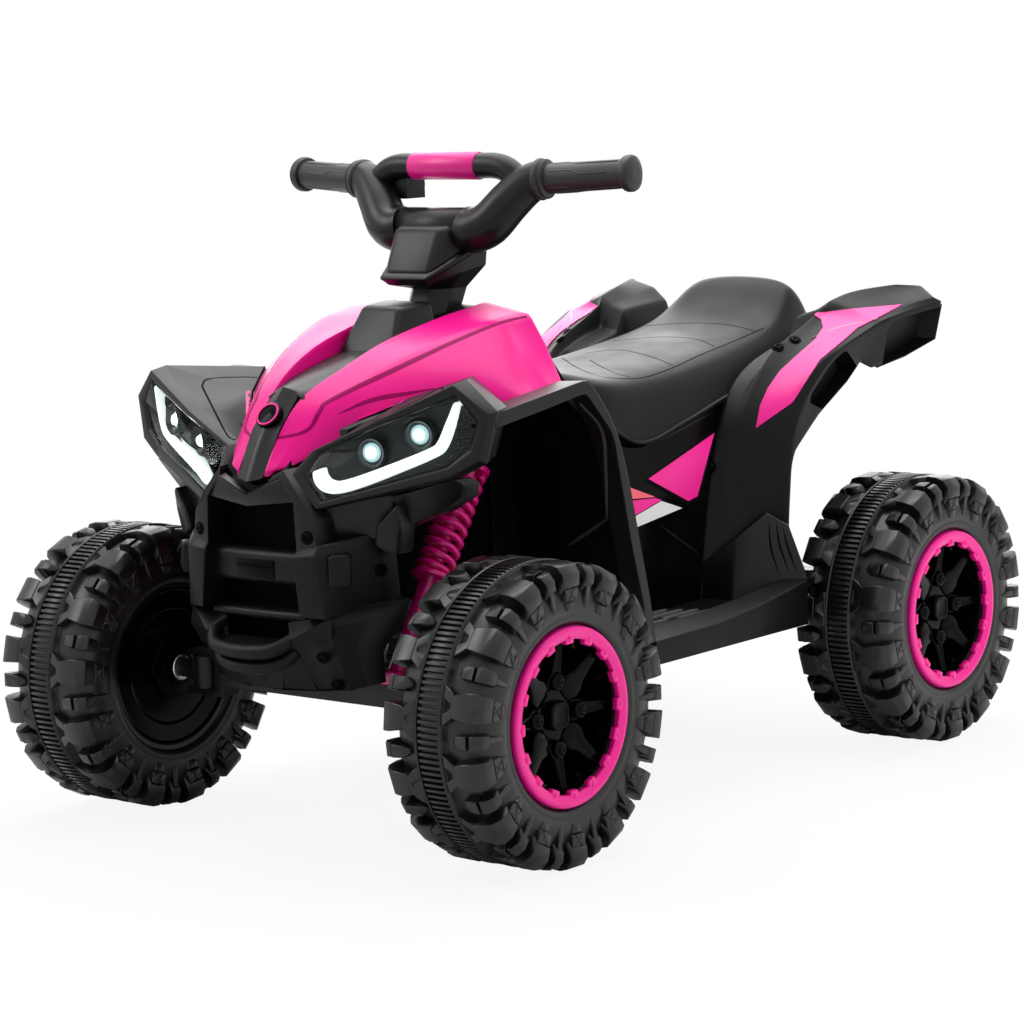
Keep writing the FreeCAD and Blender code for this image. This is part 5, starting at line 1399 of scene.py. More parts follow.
class Surface:
    """Finished pieces that seams, grooves and films are laid on, found by pixels of the photograph."""

    # A line's foot lies this deep in the surface, and its edges rise by a share of its lift.
    root = 0.4
    shoulder_share = 0.6
    # Samples between two pixels of a trail, halvings of a film's edges, and a film's longest edge in cells.
    trail_steps = 24
    film_rounds = 6
    film_reach = 3

    def __init__(self, *pieces: bpy.types.Object) -> None:
        """Reads the faces of the pieces.

        Args:
            pieces: what is laid on.
        """
        points: list[Vector] = []
        faces: list[tuple[int, ...]] = []
        for piece in pieces:
            first = len(points)
            points.extend(v.co / MM for v in piece.data.vertices)
            piece.data.calc_loop_triangles()
            faces.extend(tuple(i + first for i in t.vertices) for t in piece.data.loop_triangles)
        self.tree = BVHTree.FromPolygons(points, faces)
        self.studio = Studio()

    def seen(self, pixel: Point) -> Vector | None:
        """Returns the point of the surface behind a pixel, if there is one."""
        return self.tree.ray_cast(self.studio.place(), self.studio.ray(pixel))[0]

    def raised(self, point: Vector, lift: float) -> Vector:
        """Returns the surface's nearest point, raised along its normal."""
        near, normal = self.tree.find_nearest(point)[:2]
        return near + normal * lift

    def spot(self, pixel: Point) -> tuple[Vector, Vector]:
        """Returns the surface's point and normal behind a pixel, which lies on it."""
        point, normal = self.tree.ray_cast(self.studio.place(), self.studio.ray(pixel))[:2]
        return point, normal

    def trail(self, pixels: Sequence[Point], gap: float = 3.0) -> list[Vector]:
        """Follows a line of pixels over the surface.

        Args:
            pixels: places on the photograph.
            gap: millimetres between samples.

        Returns:
            Points on the surface.
        """
        flat = smooth_path([(x, y, 0) for x, y in pixels], self.trail_steps)
        found: list[Vector] = []
        for place in flat:
            point = self.seen(place)
            if point is not None and (not found or (point - found[-1]).length > gap):
                found.append(point)
        return found

    def line(self, path: Sequence[Vector], stroke: Stroke) -> Shape:
        """Lays a thin raised line along a path on the surface.

        Args:
            path: points on the surface.
            stroke: its form.

        Returns:
            The closed line.
        """
        shoulder = stroke.lift * self.shoulder_share
        rings = []
        for i, point in enumerate(path):
            ahead = heading(path, i)
            normal = self.tree.find_nearest(point)[1]
            side = normal.cross(ahead).normalized()
            along = i / (len(path) - 1)
            half = stroke.width / 2 * (stroke.taper + (1 - stroke.taper) * math.sin(math.pi * along))
            left, right = point - side * half, point + side * half
            rings.append([self.raised(left, -self.root), self.raised(left, shoulder),
                          self.raised(point, stroke.lift), self.raised(right, shoulder),
                          self.raised(right, -self.root)])
        return Shape().loft(rings)

    def lines(self, rows: Iterable[Sequence[Point]], stroke: Stroke) -> Shape:
        """Lays a raised line along each row of pixels.

        Args:
            rows: places on the photograph, line by line.
            stroke: the lines' form.

        Returns:
            The lines.
        """
        drawn = Shape()
        for pixels in rows:
            drawn.add(self.line(self.trail(pixels), stroke))
        return drawn

    def film(self, outline: Sequence[Point], lift: float = 0.3, cell: float = 7.0) -> Shape:
        """Lays a thin film inside an outline of pixels.

        Args:
            outline: corners on the photograph.
            lift: how far it stands proud.
            cell: largest side of its faces in pixels.

        Returns:
            The sheet, without thickness.
        """
        build = bmesh.new()
        build.faces.new([build.verts.new((x, y, 0)) for x, y in outline])
        bmesh.ops.triangulate(build, faces=build.faces)
        for _ in range(self.film_rounds):
            long_edges = [e for e in build.edges if e.calc_length() > cell]
            if long_edges:
                bmesh.ops.subdivide_edges(build, edges=long_edges, cuts=1)
                bmesh.ops.triangulate(build, faces=build.faces)
        shape = Shape()
        place = {}
        for vertex in build.verts:
            point = self.seen(vertex.co)
            if point is not None:
                place[vertex] = shape.add_points([self.raised(point, lift)])[0]
        laid = [tuple(place[v] for v in f.verts) for f in build.faces if all(v in place for v in f.verts)]
        # A face that jumps over an edge to a surface behind it is left out.
        reach = self.film_reach * cell
        shape.faces = [f for f in laid if all((shape.points[a] - shape.points[b]).length < reach
                                              for a, b in zip(f, f[1:] + f[:1]))]
        build.free()
        return shape


@dataclass
class Hood:
    """Two polished pink hood halves, with darker pink lines along their grooves as painted shade."""

    grid: Grid = (
        ((18, -437, 380), (28, -433, 383), (35, -428, 384), (41, -421, 386)),
        ((17, -412, 420), (38, -402, 418), (52, -396, 412), (62, -392, 402)),
        ((19, -381, 453), (50, -375, 447), (73, -364, 432), (88, -352, 410)),
        ((34, -340, 472), (66, -337, 463), (99, -326, 443), (122, -312, 416)),
        ((38, -290, 494), (82, -298, 482), (126, -284, 460), (156, -268, 430)),
        ((40, -235, 506), (100, -242, 500), (150, -236, 474), (188, -230, 440)),
        ((46, -188, 516), (116, -195, 511), (154, -192, 480), (182, -188, 445)),
        ((60, -141, 526), (128, -152, 516), (152, -154, 482), (170, -155, 448)))
    # How far each row's inner edge is turned down to the tank strip.
    flange: Numbers = (4, 6, 12, 20, 26, 26, 20, 12)
    wall: float = 4.0
    groove_pixels: Outline = ((268, 440), (306, 431), (320, 411), (331, 400), (400, 367), (460, 339),
                              (500, 323), (528, 316))
    groove: Stroke = Stroke(5.6, 0.35, 0.5)
    accent_pixels: Outline = ((338, 414), (372, 400), (410, 393), (437, 388))
    accent: Stroke = Stroke(5.0, 0.3, 0.1)

    def build(self) -> None:
        """Builds the halves, and the painted shade lines along their grooves."""
        rows = [[(row[0][0] - 1, row[0][1], row[0][2] - drop), *row]
                for row, drop in zip(self.grid, self.flange)]
        half = shell(rows, crisp_rows={6: 0.6}, crisp_columns={1: 0.9, 2: 0.55})
        halves = make("hood_halves", half.both(), Finishes.PINK_GLOSS,
                      Smoothing(wall=self.wall, rim_crease=0.55, levels=3), ("hood_left", "hood_right"))
        surface = Surface(halves)
        # Darker pink raised lines stand in for the shade inside the grooves and accent lines: painted shade.
        lines = surface.lines([self.groove_pixels], self.groove)
        lines.add(surface.lines([self.accent_pixels], self.accent))
        make("hood_grooves", lines.both(), Finishes.PINK_GROOVE_SHADE)


@dataclass
class Steering:
    """Handlebar with its head, arms, crossbar, grips and shield."""

    arm_path: Outline = ((43, -143, 601), (54, -144, 600), (70, -140, 607), (89, -131, 628),
                         (107, -122, 645), (124, -116.5, 652))
    arm_radii: Numbers = (23.4, 23.8, 23.4, 22.0, 20.6, 19.6)
    bend_path: Outline = ((43, -122, 665), (64, -122, 665), (80, -122, 661), (94, -122, 651),
                          (104, -123, 640))
    bend_radius: float = 13.4
    sleeve_half: float = 45.0
    sleeve_radius: float = 14.5
    collar_start: Point = (118.5, -118.5, 650.5)
    grip_end: Point = (230, -99, 656)
    grip_radius: float = 15.0
    neck: Point = (0, -148, 527)
    tilt: float = 24.0
    # Neck: height and radius of its rings, and the angles of their corners.
    neck_rings: Profile = ((508, 29), (540, 30.5))
    neck_angles: Numbers = (-68, -22, 22, 68, 112, 158, 202, 248)
    bowl_rows: Grid = (((27, -192, 545), (44, -157, 557), (45, -119, 562), (30, -100, 566)),
                       ((29, -197, 549), (45, -157, 568), (47, -118, 585), (30, -98, 590)),
                       ((31, -200.5, 551.5), (47, -159, 571), (49, -118, 588), (31, -96, 593)),
                       ((31, -200, 554), (47, -159.5, 574), (49, -118, 591), (31, -96, 596)),
                       ((29, -197, 556), (44, -159, 577), (46, -120, 597), (30, -100, 600)))
    shield_rows: Grid = (((31, -196, 555), (43, -158, 572), (44, -122, 592), (30, -104, 597)),
                         ((31, -173, 604), (40, -158, 606), (41, -126, 612), (28, -110, 612)))
    roll_profile: Profile = ((-45, 0.2), (-45, 20.5), (-43, 20.5), (-42, 22), (42, 22), (43, 20.5),
                             (45, 20.5), (45, 0.2))
    roll_place: Point = (0, -142, 601)
    sleeve_place: Point = (0, -122, 665)
    sleeve_bore: float = 12.0
    sleeve_edge: float = 0.6
    # Grip: distance and radius from the collar's start, then from the grip's end backwards.
    collar_profile: Profile = ((0, 19.5), (1.5, 21.3), (4, 21.8), (6.5, 21.0), (7.5, 19.4), (9, 19.4),
                               (10.5, 20.6), (12, 19.8), (13, 15.6))
    flange_profile: Profile = ((13, 15.0), (12.4, 17.8), (10, 18.8), (5, 18.9), (2.4, 17.6), (1.6, 14.5),
                               (0.2, 12.0), (0, 6.0))
    grip_sides: int = 40
    # Ridges: distance and turn of each bend, for every other ridge, then for those between.
    ridge_bends: Grid = (((15, 8), (38, 8), (48, 26), (96, 26)), ((20, 0), (44, 0), (54, 18), (84, 18)))
    ridge_pitch: int = 60
    ridge_radius: float = 0.9
    ridge_lift: float = 0.1
    ridge_steps: int = 6

    def head(self) -> Shape:
        """Builds the moulded head: neck, bowl and lip.

        Returns:
            The head.
        """
        rings = []
        for z, radius in self.neck_rings:
            centre = self.neck[1] + (z - self.neck[2]) * math.tan(math.radians(self.tilt))
            turns = [math.radians(a) for a in self.neck_angles]
            rings.append([Vector((radius * math.cos(a), centre + radius * math.sin(a), z)) for a in turns])
        return Shape().loft(rings + [with_mirror(row) for row in self.bowl_rows])

    def shield(self) -> Shape:
        """Returns the sloping plate between the bowl's lip and the roll above it."""
        return Shape().loft([with_mirror(row) for row in self.shield_rows])

    def roll(self) -> Shape:
        """Returns the round bar across the top of the head, with a groove where the arms begin."""
        return revolved(self.roll_profile, steps=40).moved(Matrix.Translation(self.roll_place))

    def sleeve(self) -> Shape:
        """Builds the sleeve on the crossbar.

        Returns:
            The sleeve.
        """
        half, radius, bore = self.sleeve_half, self.sleeve_radius, self.sleeve_bore
        edge = radius - self.sleeve_edge
        outline = [(-half, bore), (-half, edge), (1 - half, radius), (half - 1, radius), (half, edge),
                   (half, bore)]
        return revolved(outline, steps=48).moved(Matrix.Translation(self.sleeve_place))

    def on_grip(self, along: float, angle: float, radius: float) -> Vector:
        """Returns a point about the left grip's axis.

        Args:
            along: distance from the collar's start.
            angle: turn from straight up, in radians.
            radius: distance from the axis.

        Returns:
            The point.
        """
        start = Vector(self.collar_start)
        ahead = (Vector(self.grip_end) - start).normalized()
        side = Vector((0, 0, 1))
        side = (side - ahead * side.dot(ahead)).normalized()
        up = ahead.cross(side)
        return start + ahead * along + (side * math.cos(angle) + up * math.sin(angle)) * radius

    def grip(self) -> Shape:
        """Builds the left grip: collar, sleeve and end flange with a domed plug.

        Returns:
            The grip.
        """
        length = (Vector(self.grip_end) - Vector(self.collar_start)).length
        profile = [*self.collar_profile, *((length - s, r) for s, r in self.flange_profile)]
        turns = [math.tau * k / self.grip_sides for k in range(self.grip_sides)]
        return Shape().loft([[self.on_grip(s, a, r) for a in turns] for s, r in profile])

    def grip_lines(self) -> Shape:
        """Builds the moulded zig-zag ridges of the left grip.

        Returns:
            The ridges.
        """
        ridges = Shape()
        shares = [t / self.ridge_steps for t in range(self.ridge_steps)]
        for k, turn in enumerate(range(0, 360, self.ridge_pitch)):
            path = [self.on_grip(s, math.radians(turn + a), self.grip_radius + self.ridge_lift)
                    for s, a in self.ridge_bends[k % 2]]
            dense = [a.lerp(b, share) for a, b in zip(path, path[1:]) for share in shares]
            ridges.add(tube(dense + [path[-1]], [self.ridge_radius], sides=8))
        return ridges

    def build(self) -> None:
        """Builds the steering pieces on their body."""
        arm = tube(smooth_path(self.arm_path, steps=8), self.arm_radii, sides=32)
        bend = tube(smooth_path(self.bend_path, steps=8), [self.bend_radius], sides=28)
        bar = arm.add(bend).both().add(self.roll())
        turned = Smoothing(sharp_degrees=60)
        gripped = Smoothing(sharp_degrees=55)
        pieces = (
            ("handlebar_frame", bar, Finishes.BODY_BLACK, turned, ("handlebar",)),
            ("head_shield", self.head(), Finishes.BODY_BLACK,
             Smoothing(bevel=2.2, bevel_segments=4, bevel_degrees=16, sharp_degrees=50), ()),
            ("head_plate", self.shield(), Finishes.BODY_BLACK,
             Smoothing(bevel=7.0, bevel_segments=5, bevel_degrees=16, sharp_degrees=50), ()),
            ("pink_sleeve", self.sleeve(), Finishes.PINK_SATIN, turned, ("crossbar_sleeve",)),
            ("grip_left_moulded", self.grip(), Finishes.GRIP, gripped, ("grip_left",)),
            ("grip_right_moulded", self.grip().mirrored(), Finishes.GRIP, gripped, ("grip_right",)),
            ("grip_ridges", self.grip_lines().both(), Finishes.GRIP, Smoothing(), ()))
        for name, shape, finish, how, nodes in pieces:
            make(name, shape, finish, how, nodes, Body.STEERING)


@dataclass
class Seat:
    """Moulded seat with a low backrest, and near-black lines along its pressed seams as painted shade."""

    grid: Grid = (
        ((70, -49, 400), (59, -49, 425), (0, -49, 431)), ((74, -44, 408), (63, -45, 446), (0, -47, 452)),
        ((114, -10, 384), (104, -10, 437), (0, -10, 445)), ((119, 45, 360), (107, 45, 431), (0, 45, 437)),
        ((122, 120, 375), (104, 120, 434), (0, 120, 438)), ((122, 200, 395), (99, 205, 444), (0, 205, 447)),
        ((112, 300, 411), (92, 300, 457), (0, 300, 460)), ((105, 355, 421), (88, 355, 472), (0, 355, 477)),
        ((100, 388, 430), (76, 388, 503), (0, 386, 509)), ((97, 404, 433), (74, 406, 510), (0, 405, 516)),
        ((95, 422, 435), (72, 422, 498), (0, 422, 506)), ((95, 429, 425), (72, 429, 450), (0, 429, 455)))
    wall: float = 4.0
    lip: float = 2.6
    seam: Stroke = Stroke(1.5, 0.15)
    seam_pixels: Grid = (
        ((562, 358), (580, 369), (604, 377), (640, 378), (672, 368), (700, 355), (732, 342), (764, 328)),
        ((590, 360), (600, 366), (618, 374), (632, 377)), ((586, 353), (620, 350), (652, 357), (674, 366)),
        ((612, 341), (660, 337), (695, 339), (716, 347)), ((643, 326), (690, 323), (730, 325), (757, 332)))

    def build(self) -> None:
        """Builds the seat skin, the painted shade lines of its seams, and its lip."""
        rows = [with_mirror(row) for row in self.grid]
        cover = shell(rows, crisp_rows={1: 0.3, 9: 0.2}, crisp_columns={1: 0.25, 3: 0.25})
        skin = make("seat_skin", cover, Finishes.SEAT,
                    Smoothing(wall=self.wall, rim_crease=0.6, levels=4), ("seat",))
        # Near-black raised lines along the seams: painted shade inside them.
        make("seat_seams", Surface(skin).lines(self.seam_pixels, self.seam), Finishes.SHADE_AND_SEAM_BLACK)
        lip = tube(smooth_path([row[0] for row in self.grid[1:]], steps=6), [self.lip], sides=12)
        make("seat_lip", lip.both(), Finishes.SEAT)


@dataclass
class Fenders:
    """Front leg shields, side panels and rear fenders on both sides."""

    front: Grid = (
        ((160, -335, 434), (214, -345, 437), (240, -348, 438), (240, -346, 424)),
        ((187, -225, 441), (214, -270, 446), (240, -275, 448), (240, -272, 434)),
        ((174, -158, 448), (214, -196, 456), (240, -200, 458), (240, -205, 444)),
        ((140, -112, 405), (212, -146, 402), (240, -148, 402), (240, -162, 398)),
        ((118, -96, 290), (212, -122, 288), (240, -124, 288), (240, -138, 286)),
        ((116, -92, 222), (212, -104, 222), (240, -106, 222), (240, -120, 220)),
        ((116, -90, 177), (212, -98, 177), (240, -100, 177), (240, -114, 177)))
    side: Grid = (
        ((118, -100, 177), (119, -100, 262), (117, -102, 330), (106, -104, 392), (96, -104, 404)),
        ((131, 22, 177), (131, 26, 262), (127, 34, 322), (112, 44, 358), (102, 44, 380)),
        ((131, 127, 177), (131, 138, 250), (131, 156, 335), (117, 189, 386), (106, 189, 402)))
    # Each row runs from the shelf beside the seat over its wall, the pink band and the lip to the lower edge.
    rear: Grid = (
        ((126, 128, 177), (131, 127, 177), (143, 141, 178), (154, 154, 179), (166, 167, 180), (186, 190, 181),
         (197, 200, 182), (195, 208, 181)),
        ((126, 139, 250), (131, 138, 250), (143, 149, 253), (154, 160, 256), (166, 171, 259), (188, 189, 260),
         (200, 196, 260), (198, 205, 261)),
        ((125, 158, 335), (131, 156, 335), (145, 164, 337), (156, 172, 340), (168, 181, 345), (190, 197, 343),
         (200, 204, 335), (199, 212, 332)),
        ((113, 191, 384), (124, 189, 391), (140, 190, 392), (152, 192, 394), (170, 197, 390), (198, 212, 390),
         (205, 220, 387), (202, 262, 372)),
        ((112, 226, 404), (122, 224, 424), (146, 232, 428), (152, 238, 444), (170, 254, 440), (206, 255, 431),
         (212, 271, 434), (206, 315, 404)),
        ((112, 288, 416), (122, 286, 442), (150, 289, 446), (155, 292, 462), (168, 307, 460), (211, 293, 447),
         (216, 301, 449), (207, 339, 423)),
        ((112, 320, 422), (122, 320, 450), (151, 326, 453), (156, 332, 480), (164, 338, 476), (218, 343, 465),
         (224, 355, 468), (209, 358, 415)),
        ((112, 340, 428), (124, 337, 474), (146, 342, 480), (162, 348, 491), (182, 352, 484), (219, 354, 468),
         (225, 364, 470), (211, 370, 416)),
        ((112, 374, 432), (126, 372, 476), (146, 376, 486), (165, 385, 500), (190, 395, 490), (222, 405, 483),
         (231, 412, 478), (218, 420, 425)),
        ((114, 428, 438), (130, 432, 478), (152, 436, 494), (190, 440, 503), (206, 470, 500), (233, 455, 488),
         (238, 463, 483), (230, 460, 440)))
    vent_cells: tuple[tuple[int, int], ...] = ((3, 6), (4, 6))
    duct_cells: tuple[tuple[int, int], ...] = ((7, 6), (8, 6))
    pocket_frame: float = 7.0
    pocket_depth: float = 22.0
    # Size of a pocket's rim and floor as shares of its opening, and how far the rim lies behind it.
    pocket_shares: tuple[float, float] = (1.12, 0.9)
    pocket_back: float = 3.0
    skin: Smoothing = Smoothing(wall=4.0, levels=3)
    pocket_wall: float = 1.5
    trim_lift: float = 1.0
    trim_cell: float = 5.0
    # Greyish lines on the pink trims, painted highlights: their width, lift and taper.
    highlight_strokes: tuple[Stroke, ...] = (Stroke(1.3, 1.35, 0.3), Stroke(3.4, 1.35, 0.3))
    # The front grid's step: its width, and how far it is sunk on top and on the leg shield.
    step_width: float = 6.0
    step_sinks: tuple[Point, Point] = ((0, 0, -9), (0, 11, -2))
    trim_pixels: Outline = (
        (756, 428), (760, 406), (768, 388), (780, 371), (800, 353), (815, 340), (823, 328), (821, 320),
        (812, 314), (845, 310), (902, 305), (880, 317), (858, 328), (842, 342), (820, 360), (808, 378),
        (798, 394), (792, 403))
    highlight_pixels: Grid = (((806, 352), (820, 343), (834, 335)), ((812, 338), (838, 328), (878, 319)))
    top_rows: int = 3
    band_x: float = 205.0
    rear_crisp: dict[int, float] = field(default_factory=lambda: {1: 0.5, 2: 0.5, 3: 0.6, 4: 0.4, 5: 0.5,
                                                                  6: 0.8})

    def stepped(self) -> list[list[Point]]:
        """Adds a step in front of the front grid's outer band.

        Returns:
            The rows of the stepped grid.
        """
        grid = []
        for k, (inner, near, corner, lip) in enumerate(self.front):
            sunk = self.step_sinks[k >= self.top_rows]
            edge = Vector((self.band_x, near[1], near[2]))
            grid.append([inner, edge + Vector((-self.step_width, 0, 0)) + Vector(sunk), edge, corner, lip])
        return grid

    def pierced(self) -> tuple[bpy.types.Mesh, Shape]:
        """Cuts the vent and the duct into the left rear sheet, and builds the pockets behind them.

        Returns:
            The sheet and the pockets.
        """
        sheet = shell(self.rear, crisp_rows={6: 0.6, 7: 0.6},
                      crisp_columns=self.rear_crisp).mesh("rear_fenders")
        build = bmesh.new()
        build.from_mesh(sheet)
        build.faces.ensure_lookup_table()
        across = len(self.rear[0]) - 1
        pockets = Shape()
        openings = [[build.faces[row * across + column] for row, column in cells]
                    for cells in (self.vent_cells, self.duct_cells)]
        for faces in openings:
            bmesh.ops.inset_region(build, faces=faces, thickness=self.pocket_frame * MM, use_even_offset=True)
            hole = [e for f in faces for e in f.edges if sum(g in faces for g in e.link_faces) == 1]
            ring = [hole[0].verts[0], hole[0].verts[1]]
            while len(ring) < len(hole):
                ring.append(next(e.other_vert(ring[-1]) for e in hole
                                 if ring[-1] in e.verts and e.other_vert(ring[-1]) not in ring))
            rim = [v.co / MM for v in ring]
            middle = sum(rim, Vector()) / len(rim)
            rings = [[middle + (p - middle) * share - Vector((depth, 0, 0)) for p in rim]
                     for share, depth in zip(self.pocket_shares, (self.pocket_back, self.pocket_depth))]
            index = pockets.sheet(rings, wrap=True)
            pockets.faces.append(tuple(index[-1]))
            bmesh.ops.delete(build, geom=faces, context="FACES")
        build.to_mesh(sheet)
        build.free()
        return sheet, pockets

    def build(self) -> tuple[bpy.types.Object, ...]:
        """Builds the shells of both sides.

        Returns:
            The leg shields, the side panels and the rear fenders.
        """
        front = shell(self.stepped(), crisp_rows={2: 0.5}, crisp_columns={1: 0.6, 2: 0.8, 3: 0.8})
        shields = make("leg_shields", front.both(), Finishes.BODY_BLACK, self.skin,
                       ("front_fender_left", "front_fender_right"))
        sides = shell(self.side, crisp_rows={1: 0.3}, crisp_columns={3: 0.7})
        panels = make("side_panels", sides.both(), Finishes.GLOSS_BLACK, self.skin,
                      ("side_panel_left", "side_panel_right"))
        left, pockets = self.pierced()
        fenders = linked("rear_fenders", merged("rear_fenders", (left, mirrored_mesh(left))))
        smoothed(fenders, self.skin)
        placed(fenders, Finishes.MATT_BLACK, Body.FRAME, ("rear_fender_left", "rear_fender_right"))
        make("fender_pockets", pockets.both(), Finishes.MATT_BLACK, Smoothing(wall=self.pocket_wall))
        surface = Surface(fenders)
        film = surface.film(self.trim_pixels, self.trim_lift, self.trim_cell)
        make("pink_trims", film.both(), Finishes.PINK_FILM, Smoothing(wall=self.trim_lift, sharp_degrees=50),
             ("rear_trims",))
        # Greyish lines on the pink trims: painted highlights.
        highlight_strokes = Shape()
        for pixels, stroke in zip(self.highlight_pixels, self.highlight_strokes):
            highlight_strokes.add(surface.lines([pixels], stroke))
        make("trim_stripes", highlight_strokes.both(), Finishes.PAINTED_HIGHLIGHT_GREY)
        return shields, panels, fenders


def slab(front: Sequence[Point], push: Point, taper: float = 1.0) -> Shape:
    """Returns a plate from its front outline.

    Args:
        front: corners of the face that is seen.
        push: how far and which way the back lies.
        taper: size of the back as a share of the front.

    Returns:
        The closed plate.
    """
    middle = sum((Vector(p) for p in front), Vector()) / len(front)
    back = [middle + (Vector(p) - middle) * taper + Vector(push) for p in front]
    return Shape().loft([front, back])


@dataclass
class Mask:
    """The front mask: lamp pods, cheeks, brow, pillars and the blocks under them."""

    slant: float = 0.38
    plane_y: float = -443.0
    # The lamp's plane leans back at its inner end, above and below a level.
    lean_from: float = 130.0
    lean_span: float = 66.0
    lean_level: float = 384.0
    lean_shares: tuple[float, float] = (0.45, 0.9)
    pod: Outline = ((41, 376), (76, 344), (200, 374), (232, 390), (242, 440), (204, 470), (122, 431),
                    (54, 401))
    pod_chamfer: Numbers = (6.0, 4.0, 3.0, 3.0, 5.0, 20.0, 16.0, 12.0)
    opening: Outline = ((60, 376), (80, 354), (196, 389), (216, 406), (224, 430), (206, 455), (128, 425),
                        (65, 398))
    pod_back: Outline = ((58, -380, 418), (78, -392, 346), (186, -338, 372), (220, -326, 394),
                         (232, -318, 442), (142, -262, 463), (104, -322, 444), (70, -362, 426))
    # Bezel and opening: share of the way from the pod's edge to its opening, and depth behind the plane.
    bezel: Profile = ((0.25, -2.5), (0.72, -1.5), (1.0, 1.5), (1.0, 16.0))
    # The innermost ring is the pod's back, drawn together about a point inside the pod.
    deep_share: float = 0.75
    deep_shift: Point = (30, -90, 105)
    cap_wall: float = 2.0
    folded: Smoothing = Smoothing(bevel=1.7, bevel_segments=3, bevel_degrees=9, sharp_degrees=35)
    # Block on the side of the lower block: its middle, directions and outline, and how deep it is.
    bulge_middle: Point = (101, -424, 287)
    bulge_across: Point = (0.72, 0.69, 0)
    bulge_out: Point = (0.69, -0.72, 0)
    bulge_outline: Outline = ((-9, -15), (9, -15), (11, -12), (11, 13), (8, 16), (-8, 16), (-11, 13),
                              (-11, -12))
    bulge_half: float = 9.0
    bulge_taper: float = 1.12
    fin_push: Point = (-8, 30, 0)
    fin_taper: float = 1.1
    tunnel: Outline = ((-72, 168), (72, 168), (76, 300), (70, 372), (-70, 372), (-76, 300))
    tunnel_ends: tuple[float, float] = (-404, -396)
    recess: Outline = ((-42, -432, 378), (0, -440, 356), (42, -432, 378), (38, -416, 396), (-38, -416, 396))
    recess_push: Point = (0, 16, 4)
    fin: Outline = ((124, -400, 310), (130, -402, 329), (152, -396, 351), (152, -389, 328), (147, -389, 300),
                    (136, -398, 304))
    cheek_inner: Outline = ((64, -421, 343), (96, -408, 351), (140, -391, 359), (140, -384, 341),
                            (114, -392, 308), (86, -408, 306), (70, -416, 332))
    cheek_outer: Outline = ((140, -387, 357), (202, -366, 375), (204, -356, 368), (194, -348, 354),
                            (174, -357, 340), (136, -375, 323), (138, -380, 340))
    pillar: Outline = ((40, -441, 375), (42, -437, 384), (66, -439, 357), (80, -437, 336), (84, -436, 303),
                       (60, -441, 301), (58, -441, 352))
    brow: Outline = ((0, -447, 359), (41, -441, 375), (60, -438, 353), (0, -445, 346))
    block_rings: Grid = (
        ((60, -438, 309), (84, -436, 312), (97, -424, 314), (116, -388, 322), (116, -364, 322),
         (60, -404, 309)),
        ((59, -447, 300), (86, -443, 302), (99, -427, 306), (120, -388, 316), (120, -362, 316),
         (58, -402, 300)),
        ((66, -447, 241), (92, -438, 239), (101, -421, 243), (126, -384, 240), (126, -362, 240),
         (64, -402, 236)))

    def on_plane(self, outline: Sequence[Point], back: float) -> list[Vector]:
        """Returns points of the lamp's slanted plane, moved back from it.

        Args:
            outline: places across and up.
            back: distance behind the plane.

        Returns:
            The points.
        """
        points = []
        for x, z in outline:
            inner = min(max((self.lean_from - x) / self.lean_span, 0.0), 1.0)
            rise = z - self.lean_level
            lean = inner * rise * self.lean_shares[rise > 0]
            points.append(Vector((x, self.plane_y + self.slant * x + back + lean, z)))
        return points

    def shrunk(self, share: float) -> list[Point]:
        """Returns the outline that lies a share of the way from the pod's edge to its opening."""
        return [tuple(a + (b - a) * share for a, b in zip(p, q)) for p, q in zip(self.pod, self.opening)]

    def pod_frame(self) -> Shape:
        """Builds the left pod: outer skin, bezel with its chamfers, and the opening's inner wall.

        Returns:
            The pod.
        """
        back = [Vector(p) for p in self.pod_back]
        deep = [p * self.deep_share + Vector(self.deep_shift) for p in back]
        rim = [self.on_plane([p], depth)[0] for p, depth in zip(self.pod, self.pod_chamfer)]
        inner = [self.on_plane(self.shrunk(share), depth) for share, depth in self.bezel]
        pod = Shape()
        pod.sheet([back, rim, *inner, deep, back], wrap=True)
        return pod

    def bulge(self) -> Shape:
        """Builds the rounded block on the side of the lower left block.

        Returns:
            The block.
        """
        across, out = Vector(self.bulge_across), Vector(self.bulge_out) * self.bulge_half
        outline = [Vector(self.bulge_middle) + across * u + Vector((0, 0, v)) for u, v in self.bulge_outline]
        return slab([p + out for p in outline], out * -2, self.bulge_taper)

    def build(self) -> bpy.types.Object:
        """Builds the mask on the frame.

        Returns:
            The piece.
        """
        half = self.pod_frame()
        for outline, push in ((self.cheek_inner, (4, 26, 0)), (self.cheek_outer, (2, 24, 0)),
                              (self.pillar, (4, 34, 2)), (self.brow, (0, 22, 4))):
            half.add(slab(outline, push))
        mask = make("front_mask_moulded", half.both(), Finishes.BODY_BLACK, self.folded, ("front_mask",))
        # A near-black cap closes each pod's back: painted shade deep inside the pod.
        cap = Shape()
        cap.fan(cap.add_points(self.pod_back))
        make("pod_caps", cap.both(), Finishes.SHADE_AND_SEAM_BLACK, Smoothing(wall=self.cap_wall))
        blocks = Shape().loft(self.block_rings).add(self.bulge())
        make("lower_blocks", blocks.both(), Finishes.MATT_BLACK, self.folded)
        fins = slab(self.fin, self.fin_push, self.fin_taper).both()
        make("cheek_fins", fins, Finishes.BODY_BLACK,
             Smoothing(bevel=4.0, bevel_segments=4, bevel_degrees=12, sharp_degrees=50))
        # A near-black tunnel behind the grille: painted shade inside the nose.
        tunnel = Shape().loft([[(x, y, z) for x, z in self.tunnel] for y in self.tunnel_ends])
        make("grille_tunnel", tunnel, Finishes.SHADE_AND_SEAM_BLACK, Smoothing(bevel=0.5))
        make("nose_recess", slab(self.recess, self.recess_push), Finishes.GLOSS_BLACK, Smoothing(bevel=0.8))
        return mask


